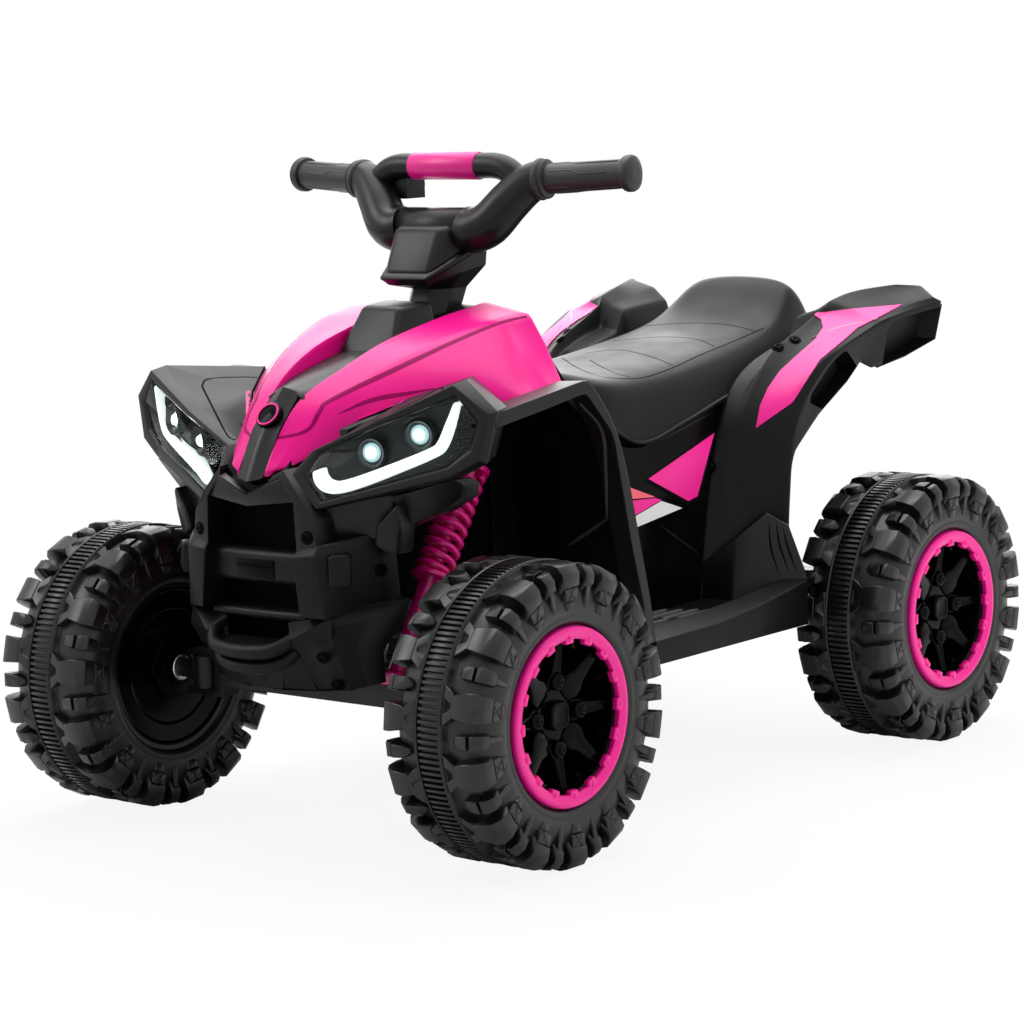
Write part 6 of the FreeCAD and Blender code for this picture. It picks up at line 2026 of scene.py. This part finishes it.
@dataclass
class Lamps:
    """Both headlights: dark buckets, light guides, projectors and clear lenses."""

    mask: Mask = field(default_factory=Mask)
    guide: Outline = ((69, 383), (73, 374), (82, 367), (98, 368), (140, 384), (178, 400), (188, 408),
                      (196, 426), (204, 449))
    guide_widths: Numbers = (6.0, 6.5, 6.5, 6.0, 5.5, 5.2, 5.0, 4.4, 2.2)
    projectors: Outline = ((114, 399), (163, 417))
    projector_depth: float = 13.0
    # Light guide's section: share of its half width, and depth behind the lamp's plane.
    guide_section: Profile = ((-1, 11), (-1, 4), (-0.8, 2.2), (0.8, 2.2), (1, 4), (1, 11))
    guide_steps: int = 6
    bucket_depths: tuple[float, float] = (2.0, 18.0)
    bucket_wall: float = 1.2
    lens_depths: tuple[float, float] = (-0.6, 1.4)
    # Louvres: how many, the lowest one's height, their pitch, and their ends along X with a shift per louvre.
    louvre_count: int = 5
    louvre_low: float = 392.0
    louvre_pitch: float = 9.0
    louvre_ends: tuple[float, float] = (186.0, 214.0)
    louvre_shift: float = 3.2
    louvre_rise: float = 6.0
    louvre_height: float = 3.0
    louvre_depth: float = 8.0
    # Projector's ring, glowing bowl and diode: place along its axis and radius.
    ring: Profile = ((0.0, 15.5), (9.0, 15.5), (10.0, 14.5), (9.0, 13.2), (4.0, 11.0), (3.0, 9.0), (0.0, 9.0))
    bowl: Profile = ((0.0, 0.1), (7.0, 0.1), (6.4, 4.2), (5.0, 7.4), (3.0, 9.6), (0.0, 9.6))
    diode: Profile = ((6.0, 0.1), (9.6, 0.1), (9.2, 2.8), (8.2, 4.8), (6.0, 5.6))

    def plate(self, backs: tuple[float, float], ends: int) -> Shape:
        """Returns a ring of the opening's outline between two depths.

        Args:
            backs: both distances behind the lamp's plane.
            ends: 2 to close both ends, or 1 to close the deeper one.

        Returns:
            The shape.
        """
        plate = Shape()
        index = plate.sheet([self.mask.on_plane(self.mask.opening, back) for back in backs], wrap=True)
        for ring in index[-ends:]:
            plate.fan(ring)
        return plate

    def louvres(self) -> Shape:
        """Builds the left bucket's louvres at its outer end.

        Returns:
            The louvres.
        """
        bars = Shape()
        start, end = self.louvre_ends
        for k in range(self.louvre_count):
            left, low = start + self.louvre_shift * k, self.louvre_low + self.louvre_pitch * k
            high = low + self.louvre_rise
            outline = ((left, low), (end, high), (end, high + self.louvre_height),
                       (left, low + self.louvre_height))
            bars.add(slab(self.mask.on_plane(outline, self.louvre_depth), (0, self.louvre_depth, 0)))
        return bars

    def guide_bar(self) -> Shape:
        """Builds the left light guide: a soft bar that follows the lower edge and turns up at both ends.

        Returns:
            The guide.
        """
        path = smooth_path([(x, 0, z) for x, z in self.guide], self.guide_steps)
        rings = []
        for i, point in enumerate(path):
            ahead = heading(path, i)
            side = Vector((-ahead.z, 0, ahead.x))
            half = blended(self.guide_widths, i / (len(path) - 1))
            ring = []
            for u, back in self.guide_section:
                flat = point + side * half * u
                ring.append(self.mask.on_plane([(flat.x, flat.z)], back)[0])
            rings.append(ring)
        return Shape().loft(rings)

    def turned(self, profile: Sequence[tuple[float, float]], steps: int) -> Shape:
        """Builds a turned part at each left projector, facing out of the lamp's plane.

        Args:
            profile: place along the axis and radius of each corner.
            steps: sides of its circle.

        Returns:
            The parts.
        """
        facing = Vector((self.mask.slant, -1, 0)).normalized()
        turn = Vector((1, 0, 0)).rotation_difference(facing).to_matrix().to_4x4()
        parts = Shape()
        for place in self.projectors:
            spot = self.mask.on_plane([place], self.projector_depth)[0]
            parts.add(revolved(profile, steps).moved(Matrix.Translation(spot) @ turn))
        return parts

    def build(self) -> None:
        """Builds the lamps on the frame."""
        make("lamp_buckets", self.plate(self.bucket_depths, ends=1).both(), Finishes.LAMP_BUCKET,
             Smoothing(wall=self.bucket_wall, sharp_degrees=30), ("headlight_buckets",))
        make("lamp_louvres", self.louvres().both(), Finishes.LAMP_BUCKET, Smoothing(sharp_degrees=30))
        make("light_guides", self.guide_bar().both(), Finishes.LIGHT_GUIDE, Smoothing(levels=1),
             ("light_strips",))
        make("projector_rings", self.turned(self.ring, steps=40).both(), Finishes.LAMP_BUCKET,
             Smoothing(sharp_degrees=50))
        clear = Smoothing(sharp_degrees=60)
        make("projector_bowls", self.turned(self.bowl, steps=32).both(), Finishes.LED_BOWL, clear,
             ("led_projectors",))
        make("projector_diodes", self.turned(self.diode, steps=24).both(), Finishes.LED, clear)
        make("lamp_lenses", self.plate(self.lens_depths, ends=2).both(), Finishes.LENS, Smoothing(bevel=0.6),
             ("headlight_lenses",))


@dataclass
class Bumper:
    """Grille bars and the front bumper: two bowed tubes, a shelf, and folded side plates."""

    upper_tube: Outline = ((-54, -440, 219), (-48, -450, 213), (-34, -460, 207), (0, -465, 205),
                           (34, -460, 207), (48, -450, 213), (54, -440, 219))
    lower_tube: Outline = ((-52, -438, 204), (-44, -446, 196), (-28, -454, 190), (0, -458, 188),
                           (28, -454, 190), (44, -446, 196), (52, -438, 204))
    plates: tuple[tuple[Outline, Point], ...] = (
        (((57, -452, 219), (96, -434, 221), (89, -401, 163), (60, -419, 163)), (-6, 14, 3)),
        (((57, -452, 219), (94, -431, 241), (96, -434, 221)), (-4, 14, -2)),
        (((96, -434, 221), (94, -431, 241), (100, -417, 249), (148, -374, 256), (140, -376, 232),
          (116, -381, 203), (108, -370, 168), (89, -401, 163)), (-12, 8, 0)),
        (((57, -452, 219), (42, -438, 233), (62, -424, 240), (94, -431, 241)), (0, 4, -10)),
        (((38, -445, 201), (57, -452, 219), (60, -419, 163), (22, -427, 162)), (-4, 12, 4)),
        (((0, -449, 198), (38, -445, 201), (22, -427, 162), (0, -428, 162)), (0, 12, 4)))
    shelf: Outline = ((-56, -430, 214), (-40, -456, 210), (0, -464, 208), (40, -456, 210), (56, -430, 214))
    bar_profiles: Grid = (
        ((-400, 300), (-424, 303), (-430, 301), (-433, 296), (-433, 275), (-431, 271), (-427, 269),
         (-400, 269)),
        ((-400, 243), (-428, 244), (-433, 242), (-435, 239), (-434, 235), (-430, 233), (-400, 233)))
    bar_half: float = 62.0
    bow: float = 4.0
    bow_steps: int = 12
    label: Outline = ((-25, 274), (25, 274), (25, 293), (-25, 293))
    label_y: float = -437.6
    label_thickness: float = 4.0
    shelf_push: Point = (0, 6, -10)
    tube_radii: tuple[float, float] = (7.5, 7.0)
    folded: Smoothing = Smoothing(bevel=1.6, bevel_segments=3, bevel_degrees=9, sharp_degrees=35)

    def bars(self) -> Shape:
        """Builds the two grille bars, bowed forwards in the middle.

        Returns:
            The bars.
        """
        bars = Shape()
        for profile in self.bar_profiles:
            rings = []
            for k in range(self.bow_steps + 1):
                share = k / (self.bow_steps / 2) - 1
                bend = self.bow * (1 - share ** 2)
                rings.append([(share * self.bar_half, y - bend, z) for y, z in profile])
            bars.add(Shape().loft(rings))
        return bars

    def build(self) -> bpy.types.Object:
        """Builds the bars and the bumper on the frame.

        Returns:
            The bumper.
        """
        make("grille_bars_moulded", self.bars(), Finishes.MATT_BLACK, Smoothing(sharp_degrees=50),
             ("grille_bars",))
        bare = slab([(x, self.label_y, z) for x, z in self.label], (0, self.label_thickness, 0))
        make("bare_label_plate", bare, Finishes.GLOSS_BLACK, Smoothing(bevel=0.5))
        half = Shape()
        for outline, push in self.plates:
            half.add(slab(outline, push))
        whole = half.both().add(slab(self.shelf, self.shelf_push))
        bumper = make("bumper_plates", whole, Finishes.MATT_BLACK, self.folded, ("front_bumper",))
        tubes = Shape()
        for path, radius in zip((self.upper_tube, self.lower_tube), self.tube_radii):
            tubes.add(tube(smooth_path(path, steps=6), [radius]))
        make("bumper_tubes", tubes, Finishes.MATT_BLACK)
        return bumper


@dataclass
class FrontSprings:
    """The two coil springs round the front shocks."""

    spread: float = 100.0
    foot: Point = (0.0, -344.0, 169.0)
    rake: float = 31.8
    low: float = 111.0
    high: float = 227.0
    radius: float = 17.0
    wire: float = 3.9
    turns: float = 9.0
    turn_steps: int = 28
    wire_sides: int = 12
    travel: float = 12.0

    def coil_tree(self) -> bpy.types.NodeTree:
        """Builds a tree that winds a wire into a coil along Z.

        Returns:
            The tree.
        """
        tree, entry = new_tree("wound_spring", {"Shape": "NodeSocketGeometry", "Turns": "NodeSocketFloat",
                                                "Radius": "NodeSocketFloat", "Length": "NodeSocketFloat",
                                                "Wire": "NodeSocketFloat", "Finish": "NodeSocketMaterial"})
        spiral = add_node(tree, "GeometryNodeCurveSpiral", None,
                          {"Resolution": self.turn_steps, "Rotations": entry.outputs["Turns"],
                           "Start Radius": entry.outputs["Radius"],
                           "End Radius": entry.outputs["Radius"], "Height": entry.outputs["Length"]})
        section = add_node(tree, "GeometryNodeCurvePrimitiveCircle", None,
                           {"Resolution": self.wire_sides, "Radius": entry.outputs["Wire"]})
        wound = add_node(tree, "GeometryNodeCurveToMesh", None,
                         {"Curve": spiral.outputs[0], "Profile Curve": section.outputs[0], "Fill Caps": True})
        close_tree(tree, entry, wound.outputs[0])
        return tree

    def build(self) -> None:
        """Winds both springs and sets them on the frame."""
        axis = Vector((0, math.sin(math.radians(self.rake)), math.cos(math.radians(self.rake))))
        length = self.high - self.low - 2 * self.wire
        coil = grown(bpy.data.meshes.new("wire"), self.coil_tree(),
                     {"Turns": self.turns, "Radius": self.radius * MM, "Length": length * MM,
                      "Wire": self.wire * MM, "Finish": Finishes.PINK_COAT.material()})
        lean = Vector((0, 0, 1)).rotation_difference(axis).to_matrix().to_4x4()
        pair = []
        for side in (-1, 1):
            start = Vector((side * self.spread, self.foot[1], self.foot[2])) + axis * (self.low + self.wire)
            copy = coil.copy()
            copy.transform(Matrix.Translation(start * MM) @ lean)
            pair.append(copy)
        mesh = merged("springs", pair)
        mesh.shade_smooth()
        springs = placed(linked("coil_springs", mesh), Finishes.PINK_COAT, Body.FRAME, ("front_springs",))
        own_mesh(springs)


@dataclass
class Liners:
    """Splash walls beside the shocks, the bulkhead behind the legs and the body under the dash."""

    guard_x: float = 64.0
    guard: Outline = ((-398, 300), (-398, 380), (-340, 415), (-160, 438), (-102, 438), (-102, 205),
                      (-300, 205), (-345, 216), (-385, 242))
    # Bulkhead behind the legs and the hood: outer and inner half widths, place and height of each row.
    wall_rows: Table = ((114, 0, -97, 180), (118, 0, -98, 290), (142, 0, -114, 400),
                        (170, 0, -150, 444), (146, 44, -157, 484), (120, 62, -157, 510))
    dash: Outline = ((-116, 490), (-108, 466), (-58, 405), (-46, 398), (-46, 345), (-100, 345), (-116, 420))
    dash_half: float = 96.0
    thickness: float = 3.0

    def build(self) -> None:
        """Builds the walls on the frame."""
        # The splash guards and the bulkhead are near-black and barely reflecting: painted shade on walls deep
        # in shadow.
        guard = slab([(self.guard_x, y, z) for y, z in self.guard], (-self.thickness, 0, 0))
        make("splash_guards", guard.both(), Finishes.SHADE_AND_SEAM_BLACK, Smoothing(bevel=0.6))
        wall = shell([[(inner, y, z), (outer, y, z)] for outer, inner, y, z in self.wall_rows])
        make("bulkhead", wall.both(), Finishes.SHADE_AND_SEAM_BLACK, Smoothing(wall=self.thickness))
        dash = Shape().loft([[(x, y, z) for y, z in self.dash] for x in (-self.dash_half, self.dash_half)])
        make("dash_body", dash, Finishes.BODY_BLACK, Smoothing(bevel=4.0, bevel_segments=3))


@dataclass
class HiddenWorks:
    """Chassis, drive, electrics and other CAD shapes that need only rounded edges and a finish."""

    rows: tuple[tuple[str, Finish, Body, float], ...] = (
        ("chassis", Finishes.BODY_BLACK, Body.FRAME, 0.8), ("battery", Finishes.BATTERY, Body.FRAME, 1.5),
        ("control_box", Finishes.CONTROL, Body.FRAME, 1.5), ("motors", Finishes.STEEL, Body.FRAME, 0.6),
        ("gearboxes", Finishes.BODY_BLACK, Body.FRAME, 1.2), ("rear_axle", Finishes.STEEL, Body.FRAME, 0.5),
        ("column_bushes", Finishes.BODY_BLACK, Body.FRAME, 0.5),
        ("charge_socket", Finishes.GLOSS_BLACK, Body.FRAME, 0.4),
        ("shock_bodies", Finishes.PINK_COAT, Body.FRAME, 0.6),
        ("steering_column", Finishes.STEEL, Body.STEERING, 0.6),
        ("front_axle_beam", Finishes.BODY_BLACK, Body.FRONT_AXLE, 1.0),
        ("shock_rods", Finishes.PINK_COAT, Body.FRONT_AXLE, 0.6),
        ("knuckle_left", Finishes.BODY_BLACK, Body.KNUCKLE_LEFT, 0.8),
        ("knuckle_right", Finishes.BODY_BLACK, Body.KNUCKLE_RIGHT, 0.8),
        ("tie_rod", Finishes.BODY_BLACK, Body.TIE_ROD, 0.6),
        ("power_switch", Finishes.GLOSS_BLACK, Body.POWER, 0.5),
        ("direction_switch", Finishes.GLOSS_BLACK, Body.DIRECTION, 0.5),
        ("throttle_button", Finishes.PINK_SATIN, Body.THROTTLE, 0.8),
        ("throttle_housing", Finishes.BODY_BLACK, Body.STEERING, 1.5))

    def build(self) -> None:
        """Dresses each of the nodes."""
        for node, finish, body, bevel in self.rows:
            cad_piece(f"{node}_dressed", node, finish, body, bevel)


@dataclass
class Trays:
    """Foot trays with a raised outer rim and tread ribs, and the kick plates behind them."""

    # Stations along the tray: place, top of the outer wall, rim and floor heights.
    stations: Table = ((-100, 177, 187, 177), (12, 179, 189, 177), (89, 187, 194, 178), (178, 201, 203, 181))
    outer_x: float = 240.0
    rim_x: float = 213.0
    inner_x: float = 114.0
    bottom: float = 152.0
    # A rib's width, length and height.
    rib: tuple[float, float, float] = (7.0, 64.0, 4.5)
    rib_rows: tuple[tuple[Point, int], ...] = (((134, -88, 176), 5), ((141, -14, 176), 5))
    rib_step: Point = (14.5, 9.0, 0.0)
    # A rib's ends taper over this length to this share of its width.
    rib_taper: tuple[float, float] = (8.0, 0.5)
    # Width of the rim's inner slope, height of the inner wall's foot and undercut of the outer wall.
    rim_slope: float = 6.0
    inner_foot: float = 12.0
    undercut: float = 10.0
    groove: Stroke = Stroke(2.4, 0.3, 0.2)
    kick_top: Outline = ((131, 132, 219), (162, 154, 246), (190, 174, 273), (212, 183, 259))
    kick_low: Outline = ((131, 129, 176), (170, 132, 176), (204, 160, 196), (238, 181, 201))
    groove_pixels: Grid = (
        ((769, 522), (771, 548), (779, 574)), ((776, 523), (780, 546), (789, 572)),
        ((783, 528), (788, 548), (797, 572)))

    def tray(self) -> Shape:
        """Builds the left tray.

        Returns:
            The tray.
        """
        rings = []
        for y, wall, rim, floor in self.stations:
            rings.append([(self.outer_x, y, self.bottom), (self.outer_x, y, wall), (self.rim_x, y, rim),
                          (self.rim_x - self.rim_slope, y, floor), (self.inner_x, y, floor),
                          (self.inner_x, y, self.bottom + self.inner_foot),
                          (self.outer_x - self.undercut, y, self.bottom)])
        return Shape().loft(rings)

    def tread(self) -> bpy.types.Mesh:
        """Builds the left tray's ribs, in two staggered rows.

        Returns:
            The ribs' mesh.
        """
        width, length, height = self.rib
        reach, slim = self.rib_taper
        stations = ((0, slim), (reach, 1.0), (length - reach, 1.0), (length, slim))
        form = Shape().loft([[(-width * s / 2, y, 0), (-width * s / 2, y, height), (width * s / 2, y, height),
                              (width * s / 2, y, 0)] for y, s in stations])
        rows = []
        for start, count in self.rib_rows:
            seed = finished("rib", form.moved(Matrix.Translation(start)), Smoothing(bevel=0.7))
            rows.append(grown(seed, Repeat.ROW.tree(),
                              {"Count": count, "Step": [v * MM for v in self.rib_step],
                                                        "Finish": Finishes.PAINTED_LIGHT_GREY.material()}))
        return merged("tread", rows)

    def build(self) -> None:
        """Builds both trays with their treads and kick plates."""
        how = Smoothing(bevel=1.6, bevel_segments=3, bevel_degrees=12)
        for side in ("left", "right"):
            tray = self.tray() if side == "left" else self.tray().mirrored()
            make(f"foot_tray_{side}_moulded", tray, Finishes.MATT_BLACK, how, (f"foot_tray_{side}",))
            tread = self.tread() if side == "left" else mirrored_mesh(self.tread())
            # The ribs are coloured light grey: painted light on the tread.
            placed(linked(f"tread_ribs_{side}", tread), Finishes.PAINTED_LIGHT_GREY, Body.FRAME)
        kick = Shape()
        kick.sheet([self.kick_low, self.kick_top])
        plates = make("kick_plates", kick.both(), Finishes.BODY_BLACK,
                      Smoothing(wall=6.0, bevel=1.8, bevel_segments=3, bevel_degrees=9, sharp_degrees=35))
        # The grooves are near-black raised lines: painted shade inside them.
        grooves = Surface(plates).lines(self.groove_pixels, self.groove)
        make("kick_grooves", grooves.both(), Finishes.SHADE_AND_SEAM_BLACK)


@dataclass
class Covers:
    """Tank cover with its scoop and dash, the nose strip with a plain badge, and the panel under the tail."""

    # Stations of the tank cover: place, half width, height at the edge, at two thirds and in the middle.
    tank: Table = (
        (-384, 24, 447, 452, 455), (-342, 40, 458, 464, 467), (-296, 46, 469, 475, 477),
        (-262, 50, 476, 481, 483), (-226, 52, 487, 492, 494), (-190, 54, 501, 507, 509),
        (-141, 62, 520, 524, 525), (-112, 98, 488, 514, 521), (-53, 102, 424, 437, 441))
    tank_share: float = 0.66
    # Room for the two rockers: half length, radius and places.
    rocker: tuple[float, float] = (7.8, 11.2)
    rocker_places: Outline = ((38, -85, 482), (-38, -85, 482))
    scoop_foot: Outline = ((40, -266, 474), (46, -194, 486), (-46, -194, 486), (-40, -266, 474))
    scoop_top: Outline = ((26, -236, 527), (33, -192, 530), (-33, -192, 530), (-26, -236, 527))
    nose: Table = ((-439, 17, 374, 371), (-414, 18, 419, 423), (-380, 17, 453, 459))
    nose_bend: float = 6.0
    tail: Outline = ((100, 425, 430), (100, 400, 380), (100, 360, 330), (102, 327, 280), (108, 323, 187))
    # How far the tail bows out in its middle, row by row.
    tail_bulge: Numbers = (20.0, 50.0, 90.0, 112.0, 20.0)
    tail_return: tuple[float, float] = (16.0, -42.0)
    wall: float = 3.0
    badge_pixel: Point = (270, 416)
    badge_radius: float = 14.5
    # Badge: place along its axis and radius of its middle, then place and distance in from its radius.
    badge_bore: Profile = ((-6, 0.2), (1.6, 0.2))
    badge_disc: Profile = ((1.6, 1.0), (0.8, 0.0), (-6.0, 0.0))
    badge_ring: Profile = ((1.0, 3.6), (2.4, 3.4), (2.4, 1.6), (1.0, 1.4))

    def tank_sheet(self) -> Shape:
        """Builds the tank cover's upper surface.

        Returns:
            The sheet.
        """
        rows = []
        for y, half, edge, mid, top in self.tank:
            rows.append(with_mirror([(half, y, edge), (half * self.tank_share, y, mid), (0, y, top)]))
        return shell(rows, crisp_rows={6: 0.3}, crisp_columns={1: 0.35, 3: 0.35})

    def nose_sheet(self) -> Shape:
        """Builds the nose strip's upper surface, bent along the middle.

        Returns:
            The sheet.
        """
        rows = [[(half, y, edge), (0, y - self.nose_bend, top), (-half, y, edge)]
                for y, half, edge, top in self.nose]
        return shell(rows, crisp_rows={0: 1.0, 2: 1.0}, crisp_columns={0: 1.0, 1: 0.6, 2: 1.0})

    def badge(self, nose: bpy.types.Object) -> None:
        """Sets a plain disc and a thin ring on the nose strip.

        Args:
            nose: the finished strip.
        """
        point, normal = Surface(nose).spot(self.badge_pixel)
        middle = Vector((0, point.y, point.z + 1))
        facing = Vector((0, normal.y, normal.z)).normalized()
        turn = Matrix.Translation(middle) @ Vector((1, 0, 0)).rotation_difference(facing).to_matrix().to_4x4()
        radius = self.badge_radius
        edge = [(x, radius - inset) for x, inset in self.badge_disc]
        disc = revolved([*self.badge_bore, *edge], steps=40)
        make("bare_badge", disc.moved(turn), Finishes.GLOSS_BLACK)
        ring = revolved([(x, radius - inset) for x, inset in self.badge_ring], steps=40)
        make("badge_ring", ring.moved(turn), Finishes.PINK_GLOSS)

    def build(self) -> None:
        """Builds the covers on the frame."""
        how = Smoothing(wall=self.wall, levels=2)
        tank = linked("tank_cover_moulded", self.tank_sheet().mesh("tank_cover_moulded"))
        smoothed(tank, how)
        reach, radius = self.rocker
        wells = Shape()
        well = revolved([(-reach, 0.2), (-reach, radius), (reach, radius), (reach, 0.2)], steps=32)
        for place in self.rocker_places:
            wells.add(well.moved(Matrix.Translation(place)))
        hollowed(tank, wells)
        placed(tank, Finishes.BODY_BLACK, Body.FRAME, ("tank_cover",))
        nose = make("nose_strip_moulded", self.nose_sheet(), Finishes.BODY_BLACK, how, ("nose_strip",))
        self.badge(nose)
        scoop = Shape().loft([self.scoop_foot, self.scoop_top])
        make("tank_scoop", scoop, Finishes.BODY_BLACK,
             Smoothing(bevel=6.0, bevel_segments=5, sharp_degrees=50))
        out, forward = self.tail_return
        rows = [with_mirror([(x + out, y + forward, z), (x, y, z), (0, y + bulge, z)])
                for (x, y, z), bulge in zip(self.tail, self.tail_bulge)]
        tail = shell(rows, crisp_columns={1: 0.5, 3: 0.5})
        make("tail_panel", tail, Finishes.BODY_BLACK, how, ("tail_cover",))


@dataclass
class Graphics:
    """Plain films and pressed lines on the side panels, painted shade lines in the pods' grooves, and painted
    highlights along the leg shields' edges.
    """

    dark_pixels: Outline = ((644, 481), (717, 428), (700, 498), (688, 505))
    films: tuple[tuple[str, Finish, Outline], ...] = (
        ("pink_side_film", Finishes.PINK_FILM, ((648, 479), (714, 433), (697, 496), (688, 501))),
        ("coral_side_film", Finishes.CORAL_FILM, ((620, 484), (655, 497), (620, 500))),
        ("pink_side_band", Finishes.PINK_FILM, ((620, 502), (655, 498), (661, 500), (620, 524))),
        ("white_side_film", Finishes.WHITE_FILM, ((661, 501), (682, 508), (620, 534), (620, 525))))
    crease_pixels: Grid = (((660, 525), (680, 540), (702, 556)), ((641, 448), (680, 430), (724, 406)))
    pod_pixels: Grid = (((202, 386), (208, 379), (240, 377), (268, 378)),
                        ((202, 386), (215, 412), (228, 436), (237, 440)))
    # Lighter lines along the leg shields' edges: painted highlights.
    shield_pixels: Grid = (((580, 403), (602, 430), (606, 470), (607, 519)),
                           ((607, 519), (590, 531), (569, 545)))
    patch_pixels: Outline = ((246, 391), (262, 391), (252, 411), (246, 415))
    crease: Stroke = Stroke(2.4, 0.8, 0.4)
    pod_groove: Stroke = Stroke(2.0, 0.2)
    shield_edge: Stroke = Stroke(4.0, 1.2, 0.6)
    film_wall: float = 0.4
    film_lift: float = 0.8
    patch_lift: float = 0.3
    patch_cell: float = 4.0

    def build(self, panels: bpy.types.Object, mask: bpy.types.Object, shields: bpy.types.Object) -> None:
        """Lays the films and lines.

        Args:
            panels: the finished side panels.
            mask: the finished front mask.
            shields: the finished leg shields.
        """
        thin = Smoothing(wall=self.film_wall)
        surface, pods, legs = Surface(panels), Surface(mask), Surface(shields)
        border = surface.film(self.dark_pixels, self.film_wall)
        make("side_film_border", border.both(), Finishes.SHADE_AND_SEAM_BLACK, thin)
        for name, finish, outline in self.films:
            make(name, surface.film(outline, self.film_lift).both(), finish, thin)
        make("panel_creases", surface.lines(self.crease_pixels, self.crease).both(), Finishes.BODY_BLACK)
        # Near-black lines in the pods' grooves: painted shade.
        make("pod_grooves", pods.lines(self.pod_pixels, self.pod_groove).both(), Finishes.SHADE_AND_SEAM_BLACK)
        patch = pods.film(self.patch_pixels, self.patch_lift, self.patch_cell)
        make("pod_patches", patch.both(), Finishes.PINK_GLOSS, thin)
        make("shield_creases", legs.lines(self.shield_pixels, self.shield_edge).both(), Finishes.PAINTED_LIGHT_GREY)


@dataclass
class Screws:
    """Cross-recessed screws, each in a near-black ring of painted shade standing for its well, on both sides.
    """

    radius: float = 4.4
    height: float = 2.4
    arm: float = 2.9
    half_slot: float = 0.8
    sink: float = 1.5
    well_radius: float = 7.0
    well_steps: Profile = ((0.0, -2), (0.0, 0.3), (0.6, 0.5))
    well_sides: int = 20
    # Head: height of its foot, the shoulder's share of its height and the top's share of its radius.
    head_foot: float = -2.0
    head_shoulder: float = 0.6
    head_top: float = 0.86
    pixels: Outline = ((307, 538), (381, 570), (323, 658), (338, 685), (711, 467), (778, 347), (795, 340))

    def head(self) -> Shape:
        """Builds one screw head along Z with its cross recess.

        Returns:
            The head.
        """
        arm, half = self.arm, self.half_slot
        quarter = [(arm, -half), (arm, half), (half, half)]
        cross = [(x * c - y * s, x * s + y * c) for c, s in ((1, 0), (0, 1), (-1, 0), (0, -1))
                 for x, y in quarter]
        rim = [Vector((x, y)).normalized() for x, y in cross]
        wide, slim = self.radius, self.radius * self.head_top
        rings = [[(p.x * r, p.y * r, z) for p in rim] for r, z in (
            (wide, self.head_foot), (wide, self.height * self.head_shoulder), (slim, self.height))]
        rings += [[(x, y, z) for x, y in cross] for z in (self.height, self.height - self.sink)]
        return Shape().loft(rings)

    def well(self) -> Shape:
        """Builds the dark ring round a screw, painted shade of its well.

        Returns:
            The ring.
        """
        turns = [math.tau * k / self.well_sides for k in range(self.well_sides)]
        stations = [(self.well_radius - inset, z) for inset, z in self.well_steps]
        return Shape().loft([[(r * math.cos(a), r * math.sin(a), z) for a in turns] for r, z in stations])

    def studded(self, name: str, shape: Shape, spots: Sequence[tuple[Vector, Vector]], finish: Finish,
                stands_for: Sequence[str] = ()) -> None:
        """Sets a small shape on each spot.

        Args:
            name: the piece's name.
            shape: what is repeated, along Z.
            spots: places and facings.
            finish: its surface.
            stands_for: the CAD nodes that it replaces.
        """
        points = bpy.data.meshes.new(name)
        points.from_pydata([p * MM for p, _ in spots], [], [])
        facing = points.attributes.new("facing", "FLOAT_VECTOR", "POINT")
        for cell, (_, normal) in zip(facing.data, spots):
            cell.vector = normal
        holder = linked("repeated", finished(name, shape, Smoothing(sharp_degrees=30)))
        mesh = grown(points, Repeat.SPOTS.tree(), {"Shape": holder, "Finish": finish.material()})
        bpy.data.objects.remove(holder)
        placed(linked(name, mesh), finish, Body.FRAME, stands_for)

    def build(self, *pieces: bpy.types.Object) -> None:
        """Sets the screws on finished pieces.

        Args:
            pieces: what the screws hold.
        """
        surface = Surface(*pieces)
        flip = Matrix.Scale(-1, 3, (1, 0, 0))
        spots = []
        for pixel in self.pixels:
            point, normal = surface.spot(pixel)
            spots += [(point, normal), (flip @ point, flip @ normal)]
        # The rings round the screws are painted shade.
        self.studded("screw_wells", self.well(), spots, Finishes.SHADE_AND_SEAM_BLACK)
        self.studded("cross_screws", self.head(), spots, Finishes.GLOSS_BLACK, ("body_screws",))


def main() -> None:
    """Builds the studio and every sub-assembly."""
    logging.basicConfig(level=logging.INFO, format="%(name)s: %(message)s")
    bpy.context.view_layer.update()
    Studio().build()
    WheelSet().build()
    Hood().build()
    Steering().build()
    Seat().build()
    shields, panels, fenders = Fenders().build()
    mask = Mask().build()
    Lamps().build()
    bumper = Bumper().build()
    FrontSprings().build()
    Liners().build()
    HiddenWorks().build()
    Trays().build()
    Covers().build()
    Graphics().build(panels, mask, shields)
    Screws().build(mask, bumper, panels, fenders, bpy.data.objects["lower_blocks"])


if __name__ == "__main__":
    main()
